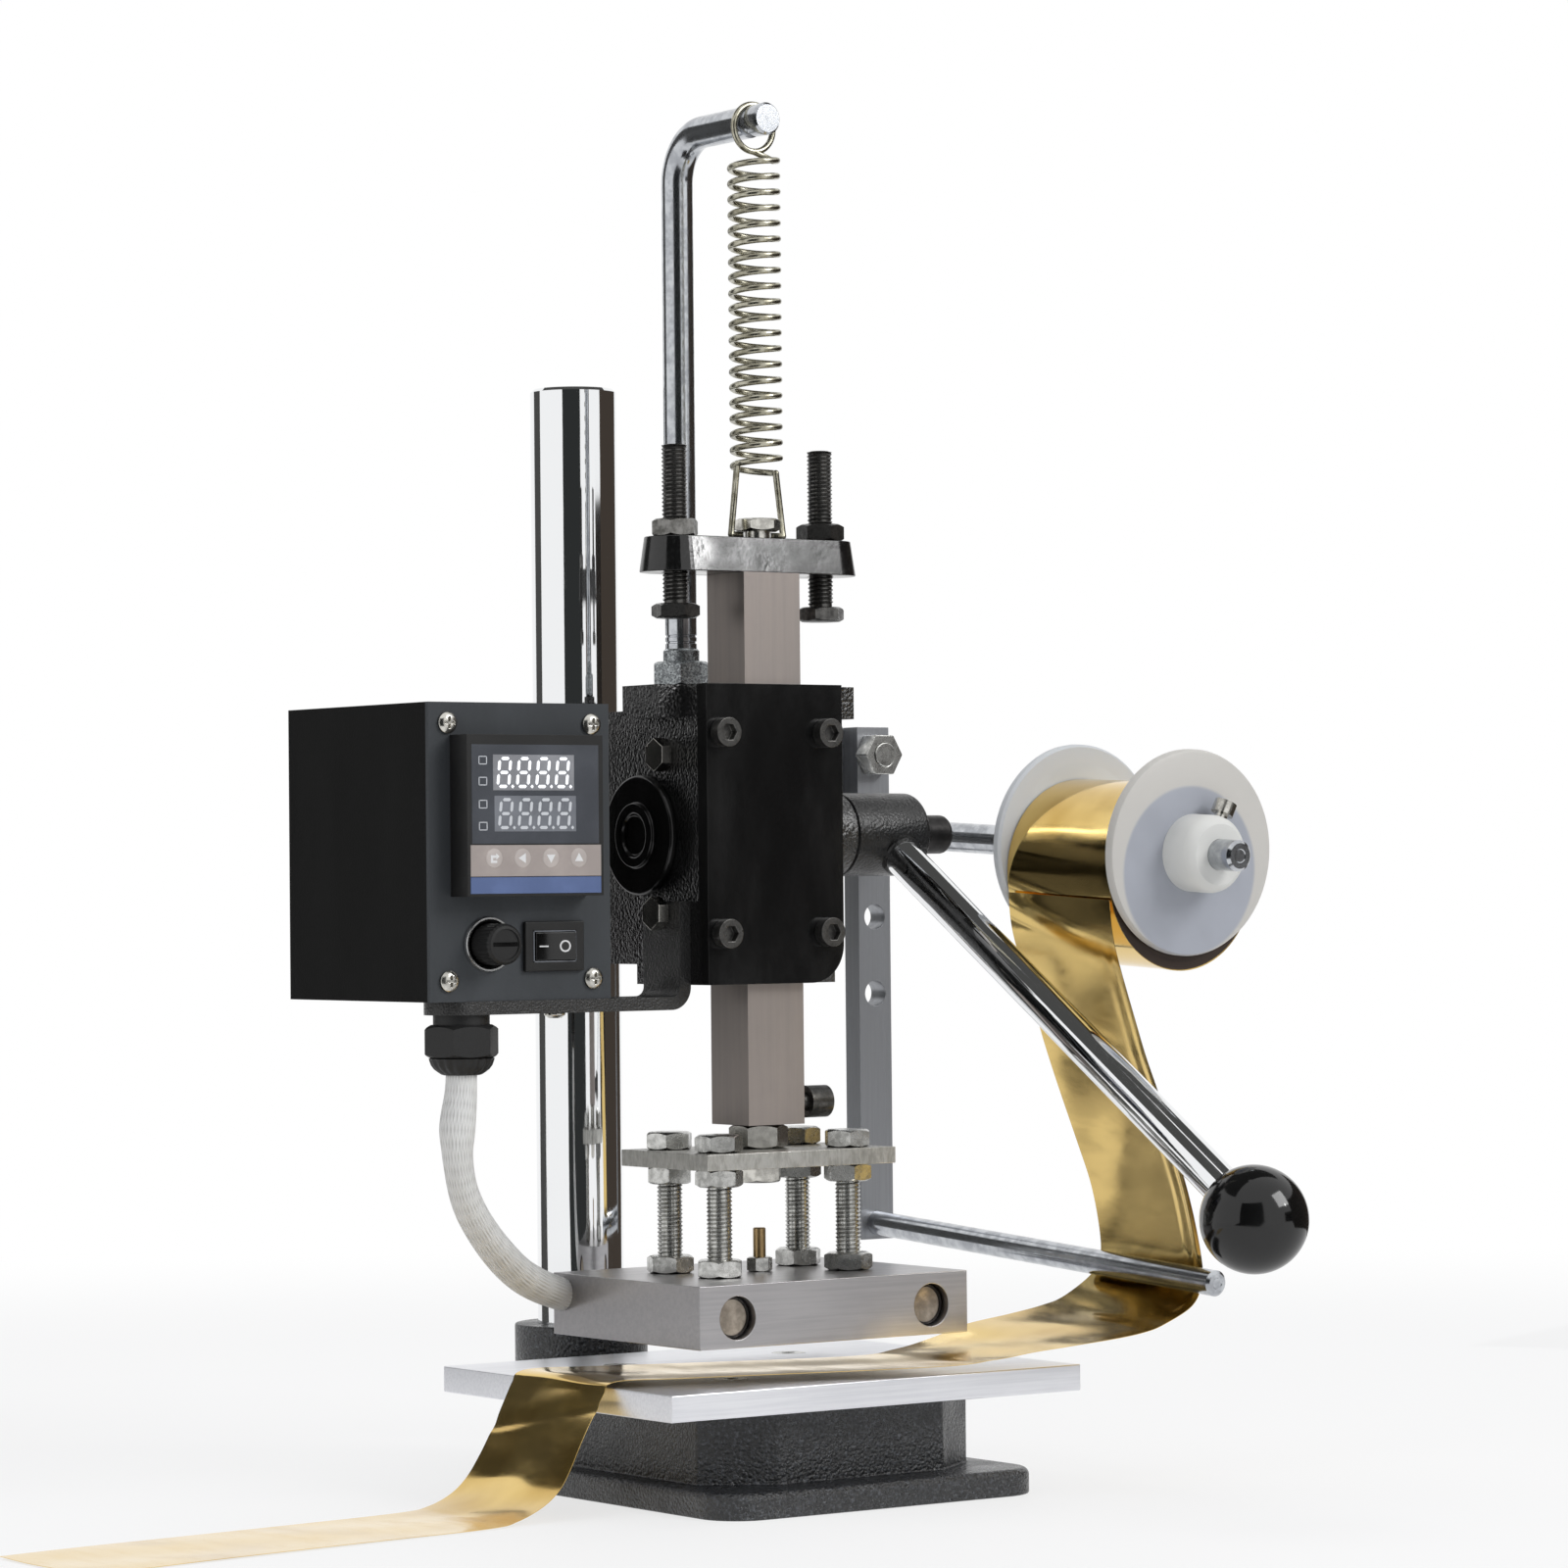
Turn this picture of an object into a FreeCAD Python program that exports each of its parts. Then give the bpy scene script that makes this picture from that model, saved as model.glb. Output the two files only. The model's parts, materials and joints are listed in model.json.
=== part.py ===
"""Hand-cranked hot foil stamping press, 8 x 10 cm class, as a parametric FreeCAD document.

A cast base carries a round column and an aluminium work table.  The head casting is clamped on
the column and guides a square ram whose rack meshes with a pinion on the lever shaft.  The ram
hangs an electrically heated block over the table, and a coil spring on a bent rod lifts it.  The
head also carries the temperature control box and the foil spool.

Frame: +Z up, X to the right and Y to the back as seen from the front.  The ram's axis is the Z
axis, and Z = 0 is the surface that the press stands on.  Lengths are in millimetres.
"""

import FreeCAD
import Part
import Sketcher

import math
import os
import re

from FreeCAD import Placement, Rotation, Vector

DOC = FreeCAD.newDocument("FoilPress")
SHEET = DOC.addObject("Spreadsheet::Sheet", "Dimensions")
NODES = []

# ---------------------------------------------------------------------------------------------
# Driving dimensions: each can be changed by itself.
# ---------------------------------------------------------------------------------------------

DIMENSIONS = {
    # clearances
    "running_fit": 0.05,
    "loose_fit": 0.3,
    "seat_gap": 0.15,
    "bolt_over": 2.0,
    # base casting
    "foot_half_width": 59.5,
    "foot_front": 67.0,
    "foot_thick": 8.0,
    "foot_shoulder": 70.0,
    "foot_neck_half": 28.0,
    "foot_margin": 24.0,
    "foot_corner": 14.0,
    "pedestal_half_width": 50.5,
    "pedestal_front": 52.5,
    "pedestal_chamfer_x": 20.0,
    "pedestal_chamfer_y": 14.3,
    "pedestal_shoulder": 64.0,
    "pedestal_neck_half": 18.0,
    "pedestal_margin": 10.0,
    "pedestal_height": 30.0,
    "boss_radius": 21.5,
    "boss_height": 45.0,
    "bore_floor": 6.0,
    # column
    "column_radius": 14.0,
    "column_setback": 101.0,
    "column_top": 348.0,
    "column_bevel": 1.2,
    # work table
    "table_width": 152.0,
    "table_depth": 126.0,
    "table_thick": 8.0,
    "table_screw_x": 32.0,
    "table_screw_y": 30.0,
    "table_screw_head": 5.5,
    "table_screw_shank": 3.0,
    "table_screw_length": 22.0,
    "table_screw_socket": 3.9,
    # ram
    "ram_width": 21.0,
    "ram_depth": 20.0,
    "ram_bottom": 112.5,
    "ram_rise": 34.6,
    "rack_module": 1.25,
    "rack_teeth_below": 8.0,
    "rack_teeth_above": 7.0,
    "rack_backlash": 0.3,
    "pinion_teeth": 18.0,
    "pinion_width": 17.0,
    "pinion_height": 202.0,
    "shaft_radius": 8.0,
    # head casting
    "head_left": 28.5,
    "head_right": 22.5,
    "head_below": 46.0,
    "head_above": 46.0,
    "head_back": 24.0,
    "gib_thick": 5.8,
    "ear_half_span": 37.0,
    "ear_front": 1.6,
    "ear_back": 18.0,
    "ear_thick": 10.0,
    "arm_half_width": 24.0,
    "arm_below": 40.0,
    "arm_above": 39.0,
    "clamp_radius": 26.0,
    "clamp_slit": 3.0,
    "clamp_ear_depth": 20.0,
    "clamp_ear_half": 18.0,
    "clamp_bolt_below": 23.0,
    "clamp_bolt_above": 21.0,
    "clamp_bolt_inset": 9.0,
    "rod_pad_radius": 13.0,
    "rod_pad_above": 47.0,
    "bearing_radius": 13.2,
    "bearing_end": 44.5,
    "cap_radius": 18.7,
    "cap_thick": 2.5,
    "cap_ring_radius": 10.0,
    "cap_ring_thick": 1.5,
    "lug_length": 24.0,
    "lug_depth": 14.0,
    "lug_rise": 14.0,
    "lug_height": 22.0,
    # cover plate
    "cover_thick": 5.0,
    "cover_corner": 12.0,
    "cover_screw_left": 22.7,
    "cover_screw_right": 15.7,
    "cover_screw_below": 30.4,
    "cover_screw_above": 31.0,
    "cover_screw_head": 4.5,
    "cover_screw_head_tall": 4.0,
    "cover_screw_shank": 2.5,
    "cover_screw_length": 14.0,
    # gib bolts, the lower of which also holds the box bracket
    "gib_bolt_flats": 9.0,
    "gib_bolt_head": 4.0,
    "gib_bolt_shank": 3.0,
    "gib_bolt_above": 24.7,
    "gib_bolt_high_y": 8.0,
    "gib_bolt_below": 24.1,
    "gib_bolt_low_y": 4.5,
    # crossbar and its bolts
    "crossbar_thick": 10.9,
    "crossbar_radius": 11.0,
    "crossbar_y": 2.4,
    "stop_spacing": 55.0,
    "stop_length": 49.0,
    "stop_drop": 9.6,
    "stop_head": 4.5,
    # M8 thread, bolts and nuts
    "bolt_radius": 4.0,
    "bolt_flats": 13.0,
    "bolt_head": 5.5,
    "bolt_pitch": 1.25,
    "thread_depth": 0.65,
    "nut_thick": 5.5,
    "top_bolt_head": 4.0,
    "top_bolt_length": 34.0,
    # hanging stud, suspension plate and heating block
    "block_width": 100.0,
    "block_depth": 80.0,
    "block_thick": 19.0,
    "block_bottom": 48.0,
    "plate_width": 70.6,
    "plate_depth": 47.0,
    "plate_thick": 5.0,
    "plate_level": 100.0,
    "hanger_x": 24.2,
    "hanger_y": 13.4,
    "hanger_depth": 8.0,
    "hanging_nut_flats": 16.0,
    "hanging_bolt_reach": 15.0,
    "heater_x": 36.2,
    "heater_radius": 6.5,
    "heater_rise": 9.0,
    "heater_recess": 3.0,
    "probe_base_flats": 7.0,
    "probe_base_tall": 4.5,
    "probe_pin_radius": 2.0,
    "probe_pin_top": 80.5,
    "probe_depth": 7.0,
    "clamp_screw_height": 118.8,
    "clamp_screw_head": 5.0,
    "clamp_screw_head_tall": 8.0,
    "clamp_screw_shank": 3.0,
    "clamp_screw_end": 25.6,
    # pinion shaft, hub, lever and knob
    "hub_radius": 13.2,
    "hub_start": 45.0,
    "hub_end": 74.0,
    "shaft_end": 88.0,
    "shaft_end_radius": 6.2,
    "shaft_left": 26.0,
    "lever_x": 63.0,
    "lever_radius": 6.0,
    "lever_angle": 32.3,
    "lever_length": 216.0,
    "lever_seat": 9.0,
    "knob_radius": 16.0,
    "knob_flat": 2.5,
    "knob_socket": 18.0,
    # bent spring rod and return spring
    "spring_rod_radius": 5.0,
    "spring_rod_y": 39.8,
    "spring_rod_rise": 174.0,
    "spring_rod_bend": 15.0,
    "spring_rod_front": 10.2,
    "spring_rod_sunk": 18.0,
    "spring_rod_groove": 0.9,
    "rod_nut_flats": 17.0,
    "rod_nut_thick": 8.0,
    "rod_collar_tall": 4.0,
    "rod_collar_wall": 1.6,
    "spring_front": 2.4,
    "spring_radius": 7.3,
    "spring_wire": 0.9,
    "spring_neck": 11.8,
    "spring_turns": 20.0,
    "spring_foot_rise": 20.5,
    "spring_eye": 7.3,
    "spring_foot_half": 9.8,
    # control box
    "box_left": 121.5,
    "box_width": 64.0,
    "box_front": 5.0,
    "box_depth": 82.0,
    "box_height": 89.0,
    "box_wall": 1.2,
    "panel_thick": 1.5,
    "panel_screw_inset_x": 6.5,
    "panel_screw_inset_z": 6.2,
    "pan_radius": 3.2,
    "pan_tall": 1.9,
    "pan_shank": 1.6,
    "pan_length": 7.0,
    # controller, fuse and switch
    "controller_face": 48.0,
    "controller_body": 44.5,
    "controller_proud": 9.5,
    "controller_deep": 52.0,
    "controller_x": 90.0,
    "controller_rise": 55.2,
    "window_width": 38.0,
    "window_height": 27.0,
    "window_drop": 4.5,
    "window_recess": 1.0,
    "key_pitch": 9.95,
    "key_radius": 3.1,
    "key_rise": 11.3,
    "key_proud": 0.5,
    "key_deep": 1.6,
    "fuse_x": 101.4,
    "fuse_rise": 17.0,
    "fuse_ring_radius": 8.4,
    "fuse_ring_thick": 1.6,
    "fuse_cap_radius": 6.3,
    "fuse_cap_proud": 10.5,
    "fuse_cap_deep": 9.0,
    "fuse_body_radius": 5.6,
    "fuse_body_deep": 24.0,
    "fuse_wall": 1.0,
    "fuse_floor": 0.2,
    "fuse_ring_bevel": 0.6,
    "fuse_cap_bevel": 1.0,
    "fuse_slot_width": 1.4,
    "fuse_slot_deep": 1.2,
    "switch_x": 78.5,
    "switch_rise": 16.1,
    "switch_width": 21.0,
    "switch_height": 15.0,
    "switch_frame": 1.6,
    "switch_lip": 2.0,
    "switch_wall": 1.0,
    "switch_deep": 14.0,
    "rocker_proud": 1.2,
    "rocker_gap": 0.6,
    "rocker_edge": 2.2,
    "rocker_keel": 5.0,
    "rocker_keel_half": 1.5,
    # bracket, glands and relay
    "bracket_below": 53.5,
    "bracket_thick": 4.0,
    "bracket_front": 5.5,
    "bracket_depth": 20.0,
    "bracket_end": 116.0,
    "bracket_tall": 33.1,
    "bracket_bend": 7.0,
    "bracket_corner": 9.5,
    "gland_x": 104.8,
    "gland_thread_radius": 6.0,
    "gland_flats": 20.0,
    "gland_neck": 3.0,
    "gland_hex": 10.0,
    "gland_dome": 5.0,
    "gland_dome_inset": 1.0,
    "gland_lip": 1.4,
    "gland_neck_wall": 2.5,
    "gland_thread_over": 5.0,
    "locknut_flats": 14.0,
    "locknut_thick": 4.0,
    "box_screw_x": 71.6,
    "rear_gland_x": 100.0,
    "rear_gland_rise": 18.0,
    "relay_width": 45.0,
    "relay_length": 30.0,
    "relay_tall": 22.0,
    "relay_x": 90.0,
    "relay_y": 49.0,
    "relay_post_radius": 3.0,
    "relay_post_tall": 2.0,
    "relay_post_inset": 5.0,
    # heater sleeve
    "sleeve_radius": 4.6,
    # foil bracket, rods, spool and web
    "bar_x": 104.5,
    "bar_front": 80.0,
    "bar_width": 13.0,
    "bar_thick": 8.0,
    "bar_length": 170.5,
    "bar_above": 36.5,
    "bar_hole_radius": 4.2,
    "bar_hole_drop": 63.2,
    "bar_hole_spacing": 25.5,
    "bar_bolt_drop": 9.3,
    "bar_nut_thick": 6.5,
    "bar_bolt_over": 0.5,
    "bar_arm_thick": 6.0,
    "bar_arm_left": 29.0,
    "bar_arm_over": 8.5,
    "arm_bolt_rise": 11.2,
    "arm_bolt_near": 35.0,
    "arm_bolt_far": 44.0,
    "arm_bolt_short": 1.0,
    "spool_rod_droop": 3.0,
    "guide_rod_droop": 3.4,
    "rod_end_wall": 0.5,
    "spool_rod_drop": 34.9,
    "spool_rod_radius": 4.8,
    "spool_rod_length": 188.0,
    "guide_rod_rise": 5.4,
    "guide_rod_radius": 4.0,
    "guide_rod_length": 175.0,
    "flange_radius": 31.9,
    "flange_thick": 4.0,
    "flange_hub_radius": 12.0,
    "flange_hub_long": 13.0,
    "flange_hub_round": 4.0,
    "flange_rear": 109.4,
    "flange_gap": 52.0,
    "flange_screw_head": 3.5,
    "flange_screw_tall": 4.0,
    "flange_screw_shank": 2.0,
    "flange_screw_turn": 25.6,
    "flange_screw_proud": 1.5,
    "roll_radius": 29.0,
    "roll_width": 51.0,
    "core_outer": 14.8,
    "core_bore": 12.7,
    "web_width": 50.0,
    "web_thick": 0.3,
}

# ---------------------------------------------------------------------------------------------
# Places worked out from the driving dimensions.
# ---------------------------------------------------------------------------------------------

DERIVED = {
    "head_bottom": "pinion_height - head_below",
    "head_top": "pinion_height + head_above",
    "arm_bottom": "pinion_height - arm_below",
    "arm_top": "pinion_height + arm_above",
    "clamp_bolt_low": "pinion_height - clamp_bolt_below",
    "clamp_bolt_high": "pinion_height + clamp_bolt_above",
    "rod_pad_top": "pinion_height + rod_pad_above",
    "lug_bottom": "pinion_height + lug_rise",
    "lug_top": "lug_bottom + lug_height",
    "cover_screw_low": "pinion_height - cover_screw_below",
    "cover_screw_high": "pinion_height + cover_screw_above",
    "gib_bolt_high": "pinion_height + gib_bolt_above",
    "gib_bolt_low": "pinion_height - gib_bolt_below",
    "spring_rod_height": "rod_pad_top + spring_rod_rise",
    "spring_rod_bottom": "rod_pad_top - spring_rod_sunk",
    "spring_low": "crossbar_top + spring_foot_rise",
    "spring_pitch": "(spring_high - spring_low) / spring_turns",
    "bracket_level": "pinion_height - bracket_below",
    "bracket_top": "bracket_level + bracket_tall",
    "bar_top": "pinion_height + bar_above",
    "bar_bottom": "bar_top - bar_length",
    "bar_hole_high": "bar_top - bar_hole_drop",
    "bar_hole_low": "bar_hole_high - bar_hole_spacing",
    "bar_bolt_height": "bar_top - bar_bolt_drop",
    "arm_bolt_height": "lug_bottom + arm_bolt_rise",
    "spool_rod_height": "bar_top - spool_rod_drop",
    "guide_rod_height": "bar_bottom + guide_rod_rise",
    "table_top": "pedestal_height + table_thick",
    "column_hole": "column_radius + running_fit",
    "ram_half": "ram_width / 2",
    "clamp_bolt_y": "column_setback + clamp_radius + clamp_ear_depth - clamp_bolt_inset",
    "ram_back": "ram_depth / 2",
    "ram_top": "head_top + ram_rise",
    "pitch_radius": "rack_module * pinion_teeth / 2",
    "rack_line": "ram_back - rack_module",
    "pinion_y": "rack_line + pitch_radius",
    "pinion_tip": "pitch_radius + rack_module",
    "shaft_hole": "shaft_radius + running_fit",
    "channel_left": "ram_half + running_fit + gib_thick + running_fit",
    "channel_right": "ram_half + running_fit",
    "channel_front": "ram_back + seat_gap",
    "channel_back": "ram_back + running_fit",
    "cap_face": "head_left + cap_thick",
    "cover_front": "channel_front + cover_thick",
    "lug_front": "column_setback - lug_depth / 2",
    "crossbar_top": "ram_top + crossbar_thick",
    "stop_x": "stop_spacing / 2",
    "stop_seat": "ram_top - stop_drop",
    "hook_level": "crossbar_top + spring_wire + seat_gap",
    "top_bolt_seat": "crossbar_top + 2 * spring_wire + 2 * seat_gap",
    "block_top": "block_bottom + block_thick",
    "plate_top": "plate_level + plate_thick",
    "hanging_nut_thick": "ram_bottom - plate_top",
    "spring_rod_top": "spring_rod_height + spring_rod_radius",
    "spring_high": "spring_rod_height - spring_neck",
    "roll_side": "bar_x - roll_radius - loose_fit",
    "rod_side": "bar_x + guide_rod_radius + loose_fit",
    "web_y": "bar_front - flange_rear - flange_gap / 2",
    "block_side": "block_width / 2",
    "table_side": "table_width / 2",
    "web_rest": "2 * web_thick",
    "box_bottom": "bracket_level + bracket_thick",
    "bracket_face": "head_left + bracket_thick",
    "box_top": "box_bottom + box_height",
    "box_right": "box_left - box_width",
    "panel_back": "box_front - panel_thick",
    "controller_z": "box_bottom + controller_rise",
    "controller_front": "box_front + controller_proud",
    "fuse_z": "box_bottom + fuse_rise",
    "switch_z": "box_bottom + switch_rise",
    "gland_y": "bracket_depth / 2 - bracket_front",
    "gland_long": "gland_neck + gland_hex + gland_dome",
    "gland_thread_long": "bracket_thick + box_wall + gland_thread_over",
    "snug_fit": "running_fit / 5",
    "foot_edge": "0.3 * foot_thick",
    "pan_rim": "0.45 * pan_tall",
    "pan_crown": "0.9 * pan_tall",
    "pan_crown_radius": "0.62 * pan_radius",
    "pan_cross_long": "1.1 * pan_radius",
    "pan_cross_wide": "0.24 * pan_radius",
    "cap_edge": "0.3 * cap_thick",
    "cap_dish_radius": "0.7 * cap_ring_radius",
    "cap_dish_floor": "0.6 * cap_ring_radius",
    "window_sunk": "0.25 * window_recess",
    "fuse_ring_edge": "0.5 * fuse_ring_thick",
    "fuse_inside": "fuse_body_radius - fuse_wall",
    "fuse_outside": "fuse_body_radius + fuse_wall",
    "rocker_low": "0.2 * rocker_proud",
    "gland_shoulder": "0.35 * gland_dome",
    # how far a cutting tool runs past the face that it cuts through
    "overcut": "1",
}
WORD = re.compile(r"[A-Za-z_][A-Za-z_0-9]*")

# Places closer than this are the same place.
SAME = 1e-6

# Proportions of a hexagon socket to its screw's head.
SOCKET_FLATS = 1.05
SOCKET_DEEP = 0.6

# Tooth form of the rack and its pinion, the heights as shares of the module.
PRESSURE_ANGLE = math.radians(20.0)
ADDENDUM = 0.95
DEDENDUM = 1.25
FLANK_STEPS = 5

# The swelling at a joint of two runs of wire, as a share of the wire's radius.
WIRE_JOINT = 1.04


def fill_sheet():
    """Write every driving dimension into the sheet under its own alias."""
    for row, (name, size) in enumerate(DIMENSIONS.items(), start=1):
        SHEET.set("A%d" % row, name)
        SHEET.set("B%d" % row, str(size))
        SHEET.setAlias("B%d" % row, name)
    DOC.recompute()


def formula(text):
    """Write a formula of named sizes out in references to the sheet's cells."""
    def swap(match):
        name = match.group(0)
        if name in DERIVED:
            return "(" + formula(DERIVED[name]) + ")"
        if name in DIMENSIONS:
            return "Dimensions." + name
        return name
    return WORD.sub(swap, str(text))


def size(text):
    """The present value of a formula of named sizes."""
    return float(SHEET.evalExpression(formula(text)))


def bind(thing, **formulas):
    """Bind properties of an object to formulas of named sizes."""
    for name, text in formulas.items():
        thing.setExpression(name, formula(text))


# ---------------------------------------------------------------------------------------------
# Primitives, booleans and placing
# ---------------------------------------------------------------------------------------------

TURNS = {
    "Z": Rotation(),
    "-Z": Rotation(Vector(1, 0, 0), 180),
    "X": Rotation(Vector(0, 1, 0), 90),
    "-X": Rotation(Vector(0, 1, 0), -90),
    "Y": Rotation(Vector(1, 0, 0), -90),
    "-Y": Rotation(Vector(1, 0, 0), 90),
}


def place(thing, x, y, z, axis="Z"):
    """Put a thing's own origin at a place and its own +Z along an axis."""
    thing.Placement = Placement(Vector(), TURNS[axis])
    for name, text in zip("xyz", (x, y, z)):
        thing.setExpression("Placement.Base." + name, formula(text))
    return thing


def box(name, width, depth, height, x="0", y="0", z="0"):
    """A block from its low corner."""
    block = DOC.addObject("Part::Box", name)
    bind(block, Length=width, Width=depth, Height=height)
    return place(block, x, y, z)


def span(name, x_span, y_span, z_span):
    """A block between two formulas along each axis."""
    sizes = ["(%s) - (%s)" % (high, low) for low, high in (x_span, y_span, z_span)]
    return box(name, *sizes, x_span[0], y_span[0], z_span[0])


def cylinder(name, radius, length, x="0", y="0", z="0", axis="Z"):
    """A cylinder from the centre of its first end."""
    drum = DOC.addObject("Part::Cylinder", name)
    bind(drum, Radius=radius, Height=length)
    return place(drum, x, y, z, axis)


def hexagon(name, flats, length, x="0", y="0", z="0", axis="Z"):
    """A hexagonal prism from the centre of its first end."""
    prism = DOC.addObject("Part::Prism", name)
    prism.Polygon = 6
    bind(prism, Circumradius="(%s) / sqrt(3)" % flats, Height=length)
    return place(prism, x, y, z, axis)


def cut(name, base, *tools):
    """Cut tools out of a base, one after another."""
    for count, tool in enumerate(tools):
        last = count == len(tools) - 1
        step = DOC.addObject("Part::Cut", name if last else "%s_cut%d" % (name, count))
        step.Base = base
        step.Tool = tool
        base = step
    return base


def fuse(name, *shapes):
    """Join shapes into one solid."""
    joined = DOC.addObject("Part::MultiFuse", name)
    joined.Shapes = list(shapes)
    return joined


def group(name, shapes):
    """Keep several separate solids as one node."""
    bunch = DOC.addObject("Part::Compound", name)
    bunch.Links = list(shapes)
    return bunch


def feature(name, shape):
    """Hold a shape that Part's own functions made."""
    thing = DOC.addObject("Part::Feature", name)
    thing.Shape = shape
    thing.Placement = Placement()
    return thing


def node(thing, label):
    """Name a finished sub-part and keep it for the export."""
    thing.Label = label
    NODES.append(thing)
    return thing


# ---------------------------------------------------------------------------------------------
# PartDesign helpers: sketches whose points are bound to the sheet
# ---------------------------------------------------------------------------------------------

def new_body(name):
    """An empty PartDesign body."""
    return DOC.addObject("PartDesign::Body", name)


def origin_plane(body, role):
    """One of the body's own origin planes, such as XY_Plane."""
    return next(part for part in body.Origin.OriginFeatures if part.Role == role)


def sketch(body, role, level, outline=(), circles=()):
    """A sketch on an origin plane, lifted to a level along the plane's normal."""
    drawing = body.newObject("Sketcher::SketchObject", body.Name + "_sketch")
    drawing.AttachmentSupport = [(origin_plane(body, role), "")]
    drawing.MapMode = "FlatFace"
    drawing.setExpression("AttachmentOffset.Base.z", formula(level))
    draw_outline(drawing, outline)
    for x, y, radius in circles:
        draw_circle(drawing, x, y, radius)
    return drawing


def hold_point(drawing, geometry, point, x, y):
    """Fix one point of a sketch at two formulas from the sketch's origin."""
    for kind, text in (("DistanceX", x), ("DistanceY", y)):
        index = drawing.addConstraint(Sketcher.Constraint(kind, -1, 1, geometry, point, size(text)))
        drawing.setExpression("Constraints[%d]" % index, formula(text))


def draw_outline(drawing, outline):
    """A closed outline of straight edges through the given points."""
    corners = [Vector(size(x), size(y), 0) for x, y in outline]
    first = drawing.GeometryCount
    count = len(corners)
    for index in range(count):
        drawing.addGeometry(Part.LineSegment(corners[index], corners[(index + 1) % count]), False)
    for index in range(count):
        following = first + (index + 1) % count
        drawing.addConstraint(Sketcher.Constraint("Coincident", first + index, 2, following, 1))
    for index, (x, y) in enumerate(outline):
        hold_point(drawing, first + index, 1, x, y)


def draw_circle(drawing, x, y, radius):
    """A circle bound in centre and radius."""
    centre = Vector(size(x), size(y), 0)
    geometry = drawing.addGeometry(Part.Circle(centre, Vector(0, 0, 1), size(radius)), False)
    hold_point(drawing, geometry, 3, x, y)
    index = drawing.addConstraint(Sketcher.Constraint("Radius", geometry, size(radius)))
    drawing.setExpression("Constraints[%d]" % index, formula(radius))


def pad(body, drawing, length, backwards=False):
    """Raise a sketch into material."""
    raised = body.newObject("PartDesign::Pad", body.Name + "_pad")
    raised.Profile = drawing
    raised.Reversed = backwards
    bind(raised, Length=length)
    DOC.recompute()
    return raised


def pocket(body, drawing, depth, backwards=False):
    """Sink a sketch into material and see that it took some away."""
    before = body.Shape.Volume
    sunk = body.newObject("PartDesign::Pocket", body.Name + "_pocket")
    sunk.Profile = drawing
    sunk.Reversed = backwards
    bind(sunk, Length=depth)
    DOC.recompute()
    if body.Shape.Volume >= before:
        raise RuntimeError("%s cuts nothing" % sunk.Name)
    return sunk


def edges_where(body, test):
    """Names of the body's edges whose ends pass a test."""
    names = []
    for number, edge in enumerate(body.Shape.Edges, start=1):
        ends = [vertex.Point for vertex in edge.Vertexes]
        if len(ends) == 2 and test(ends[0], ends[1]):
            names.append("Edge%d" % number)
    return names


def soften(body, kind, amount, test):
    """Fillet or chamfer the edges that pass a test."""
    names = edges_where(body, test)
    if not names:
        raise RuntimeError("no edge to soften on %s" % body.Name)
    before = body.Tip
    dressed = body.newObject("PartDesign::" + kind, body.Name + "_" + kind.lower())
    dressed.Base = (before, names)
    if kind == "Fillet":
        bind(dressed, Radius=amount)
    else:
        bind(dressed, Size=amount)
    DOC.recompute()
    return dressed


def turned(name, profile):
    """A body turned about its own Z axis from a half profile of (radius, height) points."""
    body = new_body(name)
    drawing = sketch(body, "XZ_Plane", "0", profile)
    spun = body.newObject("PartDesign::Revolution", name + "_turn")
    spun.Profile = drawing
    spun.ReferenceAxis = (drawing, ["V_Axis"])
    spun.Angle = 360
    DOC.recompute()
    return body


def upright(first, second):
    """Whether an edge runs along Z."""
    return abs(first.x - second.x) + abs(first.y - second.y) < SAME


# ---------------------------------------------------------------------------------------------
# Fasteners: each is made about its own Z axis with its head or outer face upwards
# ---------------------------------------------------------------------------------------------

def hex_bolt(name, flats, head, radius, length):
    """A plain hexagon bolt: the head stands on z = 0 and the shank hangs below."""
    cap = hexagon(name + "_head", flats, head)
    shank = cylinder(name + "_shank", radius, length, z="-(%s)" % length)
    return fuse(name, cap, shank)


def socket_screw(name, radius, head, shank, length):
    """A socket head cap screw: the head stands on z = 0 and the shank hangs below."""
    cap = cylinder(name + "_head", radius, head)
    socket = hexagon(name + "_socket", "(%s) * %s" % (radius, SOCKET_FLATS),
                     "(%s) * %s" % (head, SOCKET_DEEP), z="(%s) * %s" % (head, 1 - SOCKET_DEEP))
    stem = cylinder(name + "_shank", shank, length, z="-(%s)" % length)
    return cut(name, fuse(name + "_blank", cap, stem), socket)


def pan_screw(name):
    """A cross-recessed pan head screw for the control box."""
    cap = turned(name + "_head", [("0", "0"), ("pan_radius", "0"), ("pan_radius", "pan_rim"),
                                  ("pan_crown_radius", "pan_crown"), ("0", "pan_tall")])
    stem = cylinder(name + "_shank", "pan_shank", "pan_length", z="-pan_length")
    wide = box(name + "_slot", "pan_cross_long", "pan_cross_wide", "pan_tall",
               "-pan_cross_long / 2", "-pan_cross_wide / 2", "pan_rim")
    deep = box(name + "_cross", "pan_cross_wide", "pan_cross_long", "pan_tall",
               "-pan_cross_wide / 2", "-pan_cross_long / 2", "pan_rim")
    return cut(name, fuse(name + "_blank", cap, stem), wide, deep)


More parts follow.
